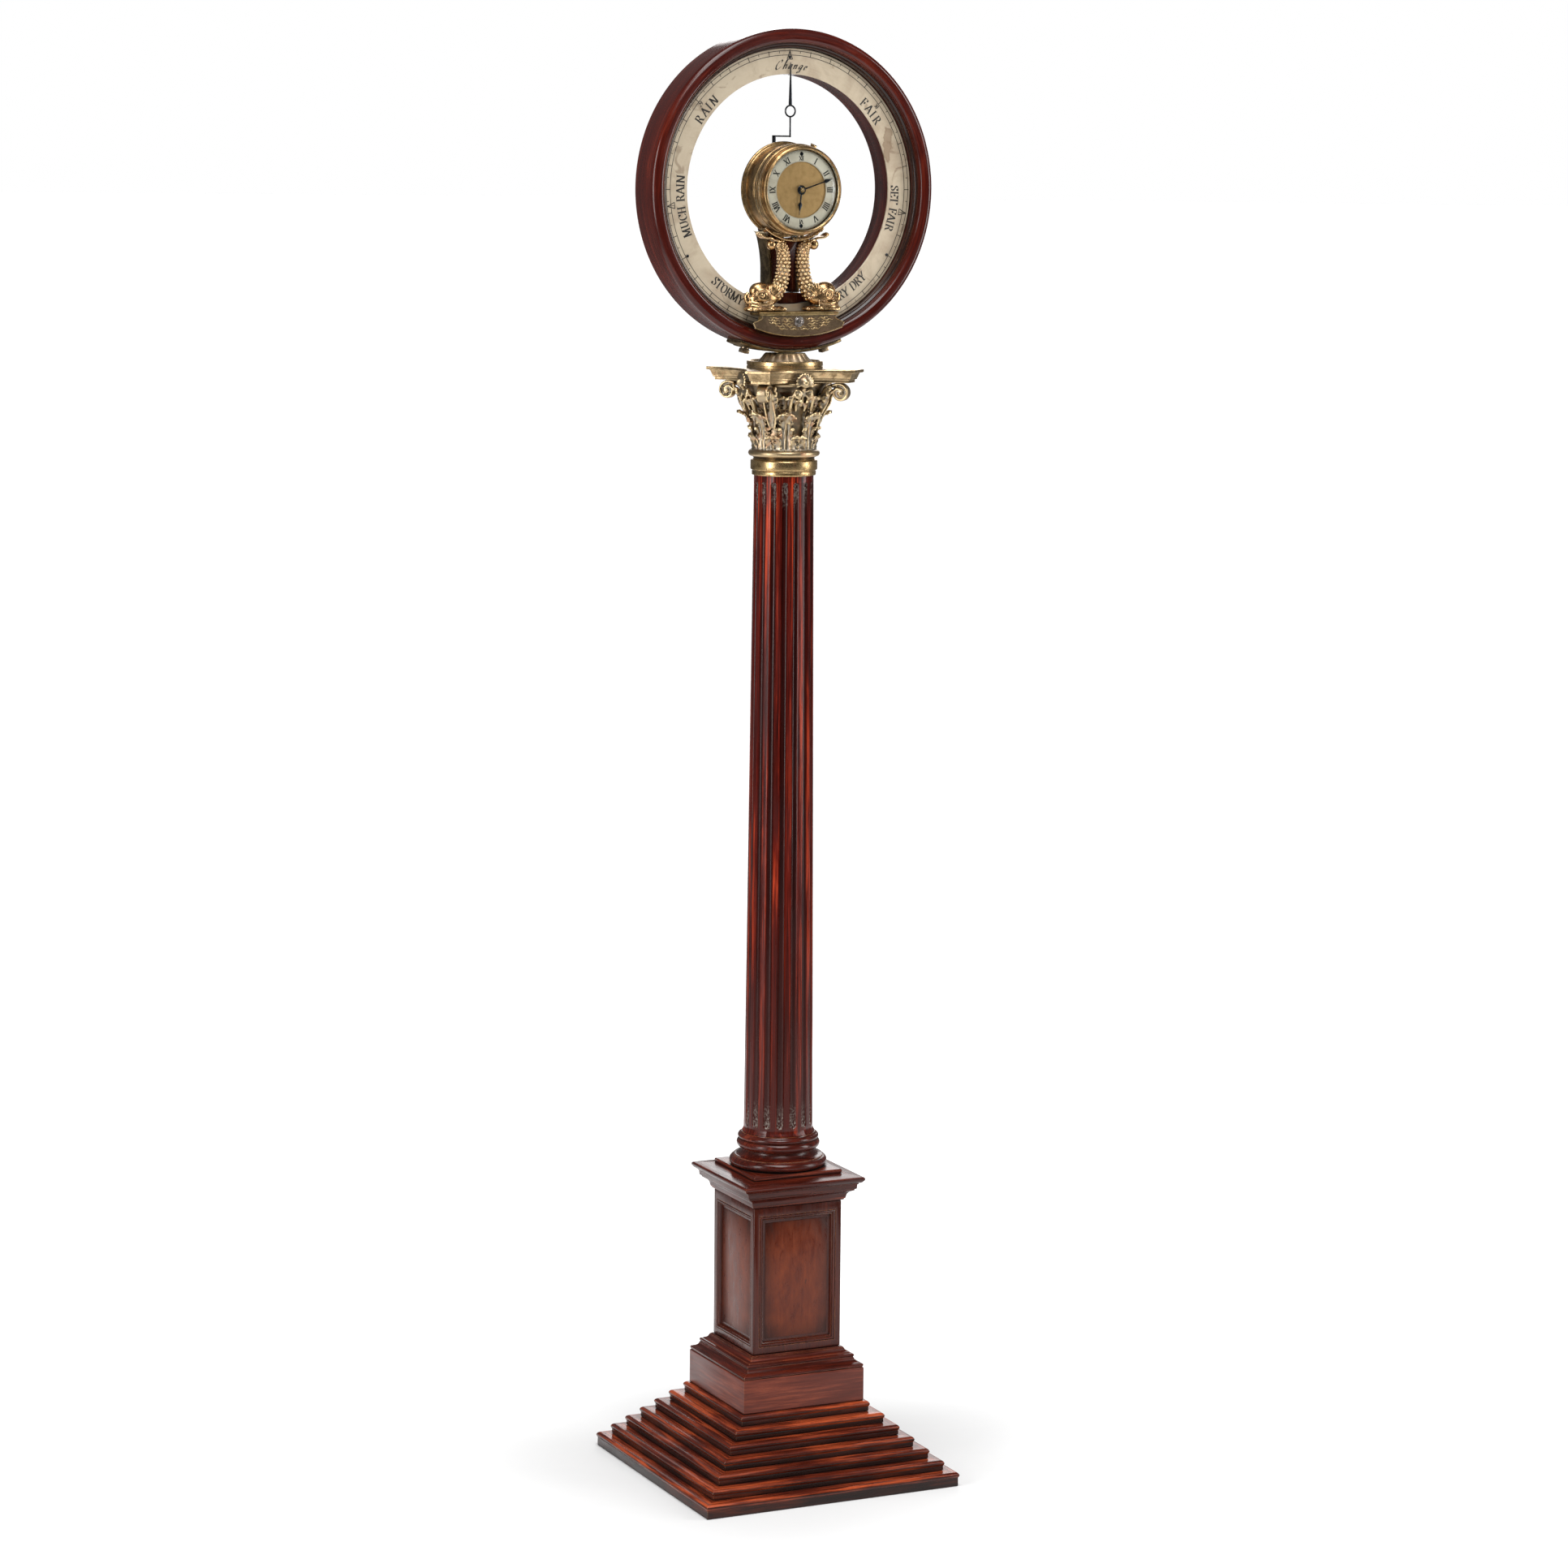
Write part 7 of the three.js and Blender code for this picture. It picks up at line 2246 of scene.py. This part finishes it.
    def screws(self) -> Form:
        """The two screws in the chapter ring."""
        form = Form()
        for clock in (0, 180):
            head = Form().spin([(0, 0.7), (1.3, 0.62), (1.75, 0.3), (1.85, -0.1), (0, -0.1)], 24, "Y")
            form.add(head.shift(y=-self.chapter_front - 0.02, z=34.9).turn(clock, "Y"))
        return form

    def build(self) -> None:
        """Builds the clock's case and dial."""
        finish_piece("drum", self.drum(), DRUM_BRASS, "head", ["drum_case"], Place.HEAD, 40)
        finish_piece("drum_knurling", self.knurled_ring(), PALE_BRASS, "head", (), Place.HEAD, 40)
        finish_piece("drum_cover", self.cover(), DRUM_BRASS, "head", ["drum_back_cover"], Place.HEAD, 40)
        pin = Form().spin([(0, -5.4), (0.7, -5.4), (0.9, -5.2), (0.9, 5.2), (0.7, 5.4), (0, 5.4)], 20)
        pin.turn(90, "Y").shift(0.0, -self.hinge_depth, -self.hinge_drop)
        finish_piece("hinge_pin", pin, SCREW_STEEL, "head", ["bezel_hinge_pin"], Place.HEAD)
        finish_piece("bezel_ring", self.bezel(), DRUM_BRASS, "bezel", ["bezel"], Place.HEAD, 40)
        finish_piece("domed_glass", self.glass(), GLASS, "bezel", ["bezel_glass"], Place.HEAD, 40)
        low = self.chapter_front - 2.6
        centre = Form().spin([(3.0, low), (39.5, low), (39.7, low + 0.2), (39.7, 29.8), (39.5, 30.0),
                              (3.2, 30.0),
                              (3.0, 29.8)], 128, "Y", closed=True)
        for clock in (90, 210, 330):
            foot = Form().spin([(0, 16.3), (1.2, 16.3), (1.2, low + 0.2), (0, low + 0.2)], 16, "Y")
            centre.add(foot.shift(z=33.0).turn(clock, "Y"))
        finish_piece("matted_dial", centre, DIAL_GOLD, "head", ["clock_dial"], Place.HEAD)
        top = self.chapter_front
        ring = Form().spin([(self.chapter_inner, top - 0.9), (self.chapter_outer, top - 0.9),
                            (self.chapter_outer, top - 0.15), (self.chapter_outer - 0.2, top),
                            (self.chapter_inner + 0.2, top), (self.chapter_inner, top - 0.15)], 128, "Y",
                           closed=True)
        finish_piece("hour_ring", ring, CHAPTER_SILVER, "head", ["chapter_ring"], Place.HEAD)
        finish_piece("hour_numerals", self.chapter(), WAX, "head", (), Place.HEAD)
        finish_piece("hour_ring_screws", self.screws(), BLUED, "head", (), Place.HEAD)


@dataclass
class ClockHands:
    """The blued hour and minute hands with the collet that holds them."""

    face: float = 31.2
    hour_angle: float = 186.0
    minute_angle: float = 72.0

    def hand(self, length: float, leaf: float, leaf_foot: float, back: float, boss: float, bore: float) -> Form:
        """A hand along +Z with a domed boss, a slim stem and a leaf.

        Args:
            length: From the axis to the tip.
            leaf: The leaf's half width.
            leaf_foot: Where the leaf starts.
            back: Depth of its back.
            boss: The boss's radius.
            bore: The hole's radius.

        Returns:
            The hand.
        """
        right = [(0.8, boss - 0.4), (0.62, leaf_foot), (leaf * 0.72, leaf_foot + 1.0), (leaf, leaf_foot + 2.6),
                 (leaf * 0.72, leaf_foot + 4.6), (0.55, leaf_foot + 7.6), (0.40, leaf_foot + 8.2),
                 (0.22, length)]
        form = Form().plate(both_sides(right), back, back + 0.45).soften(0.12, 2, 40)
        hub = Form().spin([(bore, back), (boss, back), (boss, back + 0.4), (boss - 0.4, back + 0.75),
                           (bore, back + 0.8)], 32, "Y", closed=True)
        return form.add(hub)

    def build(self) -> None:
        """Builds the hands."""
        hour = self.hand(24.5, 2.2, 12.0, self.face + 0.5, 4.6, 2.76).turn(self.hour_angle, "Y")
        finish_piece("hour_pointer", hour, BLUED, "hour_hand", ["hour_hand"], Place.HEAD)
        minute = self.hand(35.5, 1.9, 25.6, self.face + 1.6, 3.4, 1.56).turn(self.minute_angle, "Y")
        finish_piece("minute_pointer", minute, BLUED, "minute_hand", ["minute_hand"], Place.HEAD)
        dome = arc((0.0, self.face + 2.5), 2.1, 90, 0, 8)
        nut = Form().spin([*dome, (2.6, self.face + 2.5), (2.6, self.face + 2.45), (1.56, self.face + 2.45),
                           (1.56, self.face + 3.7), (0, self.face + 3.7)], 32, "Y")
        finish_piece("hand_nut", nut, PALE_BRASS, "minute_hand", ["hand_collet"], Place.HEAD)


@dataclass
class WeatherHand:
    """The long blued hand that is cranked round the drum, and the pulley that turns it."""

    front: float = 7.4
    thickness: float = 0.9
    rear: float = -27.2
    tip: float = 123.4
    ring: float = 76.2
    crank: float = 51.8
    arbor: float = 1.56

    def hand(self) -> Form:
        """Blade, ring, stem, crank and rear strip."""
        back = self.front - self.thickness
        right = [(1.7, self.ring + 6.0), (1.75, self.ring + 8.0), (1.3, self.ring + 20.0), (0.32, self.tip)]
        blade = Form().plate(both_sides(right), back, self.front).soften(0.2, 2, 40)
        stem = [(0.85, self.ring - 5.6), (0.7, self.ring - 12.0), (0.85, self.crank - 0.8)]
        form = blade.add(Form().plate(both_sides(stem), back, self.front).soften(0.2, 2, 40))
        eye = Form().spin([(4.75, back), (6.05, back), (6.2, back + 0.2), (6.2, self.front - 0.2),
                           (6.05, self.front),
                           (4.75, self.front), (4.6, self.front - 0.2),
                           (4.6, back + 0.2)], 48, "Y", closed=True)
        form.add(eye.shift(z=self.ring))
        bend = [Vector((0, -self.front + 0.5, self.crank)), Vector((0, -self.rear - 0.8, self.crank))]
        form.tube(bend, lambda share: (0.8, 0.8), 12, (0, 0, 1), 0.6)
        form.ball(1.05, (0.0, -self.front + 0.5, self.crank), (1, 1, 1), 6)
        strip = [(1.9, self.crank + 0.8), (1.4, 2.0), (-1.4, 2.0), (-1.9, self.crank + 0.8)]
        form.add(Form().plate(strip, self.rear, self.rear + 1.4).soften(0.25, 2, 40))
        hub = Form().spin([(self.arbor, self.rear), (4.1, self.rear), (4.4, self.rear + 0.3),
                           (4.4, self.rear + 1.1),
                           (4.1, self.rear + 1.4), (self.arbor, self.rear + 1.4)], 32, "Y", closed=True)
        return form.add(hub)

    def build(self) -> None:
        """Builds the hand."""
        finish_piece("weather_pointer", self.hand(), BLUED, "weather_hand", ["weather_hand"], Place.HEAD)


@dataclass
class InnerWorks:
    """What lies inside or behind: the CAD shapes stay, and get their metals and glass."""

    brass: tuple[str, ...] = ("movement_back_plate", "movement_front_plate", "mainspring_barrel",
                              "minute_wheel",
                              "hour_wheel", "weather_pulley")
    steel: tuple[str, ...] = ("cannon_pinion",)
    glass: tuple[str, ...] = ("mercury_tube", "float_weight")
    cock_back: float = -31.0
    cock_front: float = -28.8

    def cock(self) -> Form:
        """The cock that carries the weather arbor behind the drum."""
        right = [(9.0, -100.8), (8.2, -88.0), (7.0, -66.1), (5.6, -40.0), (5.0, -20.0), (5.0, 0.0)]
        top = [(5 * math.cos(a), 5 * math.sin(a)) for a in (math.pi * i / 12 for i in range(1, 12))]
        outline = [*right, *top, *[(-x, z) for x, z in reversed(right)]]
        form = Form().plate(outline, self.cock_back, self.cock_front).soften(0.4, 2, 40)
        form.add(Form().box((0, 25.8, -96.8), (18.0, 7.0, 8.0)).soften(0.5, 2))
        rim = [(1.6, 31.6), (2.6, 31.6), (3.2, 31.2), (3.2, 30.8), (1.6, 30.8)]
        return form.add(Form().spin([(r, -d) for r, d in rim], 32, "Y", closed=True))

    def build(self) -> None:
        """Dresses the inner nodes."""
        finish_piece("weather_cock", self.cock(), DARK_BRASS, "head", ["arbor_cock"], Place.HEAD)
        for names, finish in ((self.brass, WORKS_BRASS), (self.steel, SCREW_STEEL), (self.glass, GLASS)):
            for name in names:
                dress_node(name, finish)


# ---- studio --------------------------------------------------------------------------------------


@dataclass
class Studio:
    """A white room with wide soft lights, and the camera."""

    floor_near: float = 2.2
    floor_far: float = 80.0
    floor_drop: float = -0.0002
    dark_side: float = 0.05
    light_side: float = 0.16
    fill: float = 0.30
    sun_strength: float = 2.5
    sun_size: float = 34.0
    camera_place: Triple = (-1.9057, -4.0274, 1.3595)
    azimuth: float = -25.36
    pitch: float = 8.35
    roll: float = 0.5
    lens: float = 103.2

    def build_floor(self) -> None:
        """A wide pale floor, a little uneven in tone, that glows as painted light: dim near the stand and
        bright farther out.
        """
        shop = NodeShop("studio_floor")
        place = shop.place()
        haze = shop.noise(place, 0.0012, 3, 0.5)
        grain = shop.noise(place, 0.05, 2, 0.5)
        tone = shop.mix(shop.band(haze, 0.3, 0.7), (0.535, 0.535, 0.535), (0.55, 0.55, 0.55))
        reach = shop.node("ShaderNodeVectorMath", {"operation": "LENGTH"}, {0: place}, output="Value")
        # Painted light: the floor's glow rises from almost nothing near the stand to bright farther out.
        glow = shop.mix(shop.band(reach, 150.0, 560.0), (0.02, 0.02, 0.02), (0.5, 0.5, 0.5))
        shop.surface(Base_Color=tone, Roughness=shop.band(grain, 0.3, 0.7, 0.7, 0.8), Specular_IOR_Level=0.1,
                     Emission_Color=glow, Emission_Strength=1.0)
        rings = (("studio_floor", 0.0, self.floor_near), ("studio_floor_far", self.floor_near, self.floor_far))
        for name, inner, outer in rings:
            sheet = Form().spin([(outer, self.floor_drop), (inner, self.floor_drop)], 96).mesh
            bmesh.ops.reverse_faces(sheet, faces=sheet.faces[:])
            mesh = bpy.data.meshes.new(name)
            sheet.to_mesh(mesh)
            sheet.free()
            mesh.materials.append(shop.material)
            floor = bpy.data.objects.new(name, mesh)
            floor.visible_glossy = outer < self.floor_far
            bpy.context.scene.collection.objects.link(floor)

    def build_world(self) -> None:
        """A white background; the room itself is light behind the object and dark on the camera's side."""
        world = bpy.data.worlds.new("studio")
        shop = NodeShop("studio", world)
        depth = shop.split(shop.node("ShaderNodeTexCoord", output="Generated"))[1]
        level = shop.node("ShaderNodeMapRange", sockets={
            0: depth, 1: -0.15, 2: 0.5, 3: self.dark_side, 4: self.light_side})
        strength = shop.blend(shop.node("ShaderNodeLightPath", output="Is Glossy Ray"), self.fill, level)
        fill = shop.node("ShaderNodeBackground", sockets={"Color": WHITE, "Strength": strength})
        seen = shop.node("ShaderNodeBackground", sockets={"Color": WHITE, "Strength": 1.0})
        camera_ray = shop.node("ShaderNodeLightPath", output="Is Camera Ray")
        shop.finish(shop.node("ShaderNodeMixShader", sockets={0: camera_ray, 1: fill, 2: seen}),
                    "ShaderNodeOutputWorld")
        bpy.context.scene.world = world

    def aim(self, item: bpy.types.Object, place: Triple, target: Triple) -> None:
        """Puts a light at a place and points it at a target."""
        item.location = place
        item.rotation_euler = (Vector(target) - Vector(place)).to_track_quat("-Z", "Y").to_euler()

    def softbox(self, name: str, place: Triple, target: Triple, size: Pair, power: float) -> None:
        """A wide soft light that the camera does not see.

        Args:
            name: The light's name.
            place: Where it stands, in metres.
            target: Where it points.
            size: Width and height in metres.
            power: Its power in watts.
        """
        light = bpy.data.lights.new(name, "AREA")
        light.shape = "RECTANGLE"
        light.size, light.size_y = size
        light.energy = power
        item = bpy.data.objects.new(name, light)
        item.visible_camera = False
        bpy.context.scene.collection.objects.link(item)
        self.aim(item, place, target)

    def build_lights(self) -> None:
        """Sun from above, a box of light on each side and one above the front."""
        sun = bpy.data.lights.new("sun", "SUN")
        sun.energy = self.sun_strength
        sun.angle = math.radians(self.sun_size)
        item = bpy.data.objects.new("sun", sun)
        bpy.context.scene.collection.objects.link(item)
        self.aim(item, (-0.5, -1.0, 4.0), (0.0, 0.0, 0.0))
        self.softbox("left_box", (-3.4, -0.9, 1.4), (0.0, 0.0, 0.75), (1.0, 2.6), 85.0)
        self.softbox("right_box", (2.9, -1.7, 1.4), (0.0, 0.0, 0.8), (0.9, 2.6), 70.0)
        self.softbox("front_box", (-0.6, -3.0, 4.4), (0.0, 0.0, 0.6), (2.0, 1.6), 90.0)
        self.softbox("rear_box", (1.8, 3.2, 2.2), (0.0, 0.0, 0.8), (1.6, 2.4), 40.0)

    def build_camera(self) -> None:
        """The camera, by its place and its angles."""
        turn, dip, lean = (math.radians(a) for a in (self.azimuth, self.pitch, self.roll))
        ahead = Vector((-math.sin(turn) * math.cos(dip), math.cos(turn) * math.cos(dip), -math.sin(dip)))
        right = ahead.cross(Vector((0, 0, 1))).normalized()
        up = right.cross(ahead)
        right, up = right * math.cos(lean) + up * math.sin(lean), up * math.cos(lean) - right * math.sin(lean)
        lens = bpy.data.cameras.new("camera")
        lens.lens = self.lens
        lens.sensor_width = 36.0
        camera = bpy.data.objects.new("camera", lens)
        axes = Matrix((right, up, -ahead)).transposed().to_4x4()
        camera.matrix_world = Matrix.Translation(self.camera_place) @ axes
        bpy.context.scene.collection.objects.link(camera)
        bpy.context.scene.camera = camera

    def build(self) -> None:
        """Builds the whole studio."""
        bpy.context.scene.view_settings.view_transform = "Standard"
        self.build_floor()
        self.build_world()
        self.build_lights()
        self.build_camera()


def main() -> None:
    """Builds every sub-assembly, dresses what stays of the CAD, and sets up the studio."""
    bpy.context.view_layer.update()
    parts = (Pedestal(), Column(), Capital(), Abacus(), HeadMount(), WeatherRing(), Trunk(), Platform(),
             Dolphins(),
             DrumClock(), ClockHands(), WeatherHand(), InnerWorks(), Studio())
    for part in parts:
        log.info("building %s", type(part).__name__)
        part.build()
    log.info("size check written")


if __name__ == "__main__":
    main()
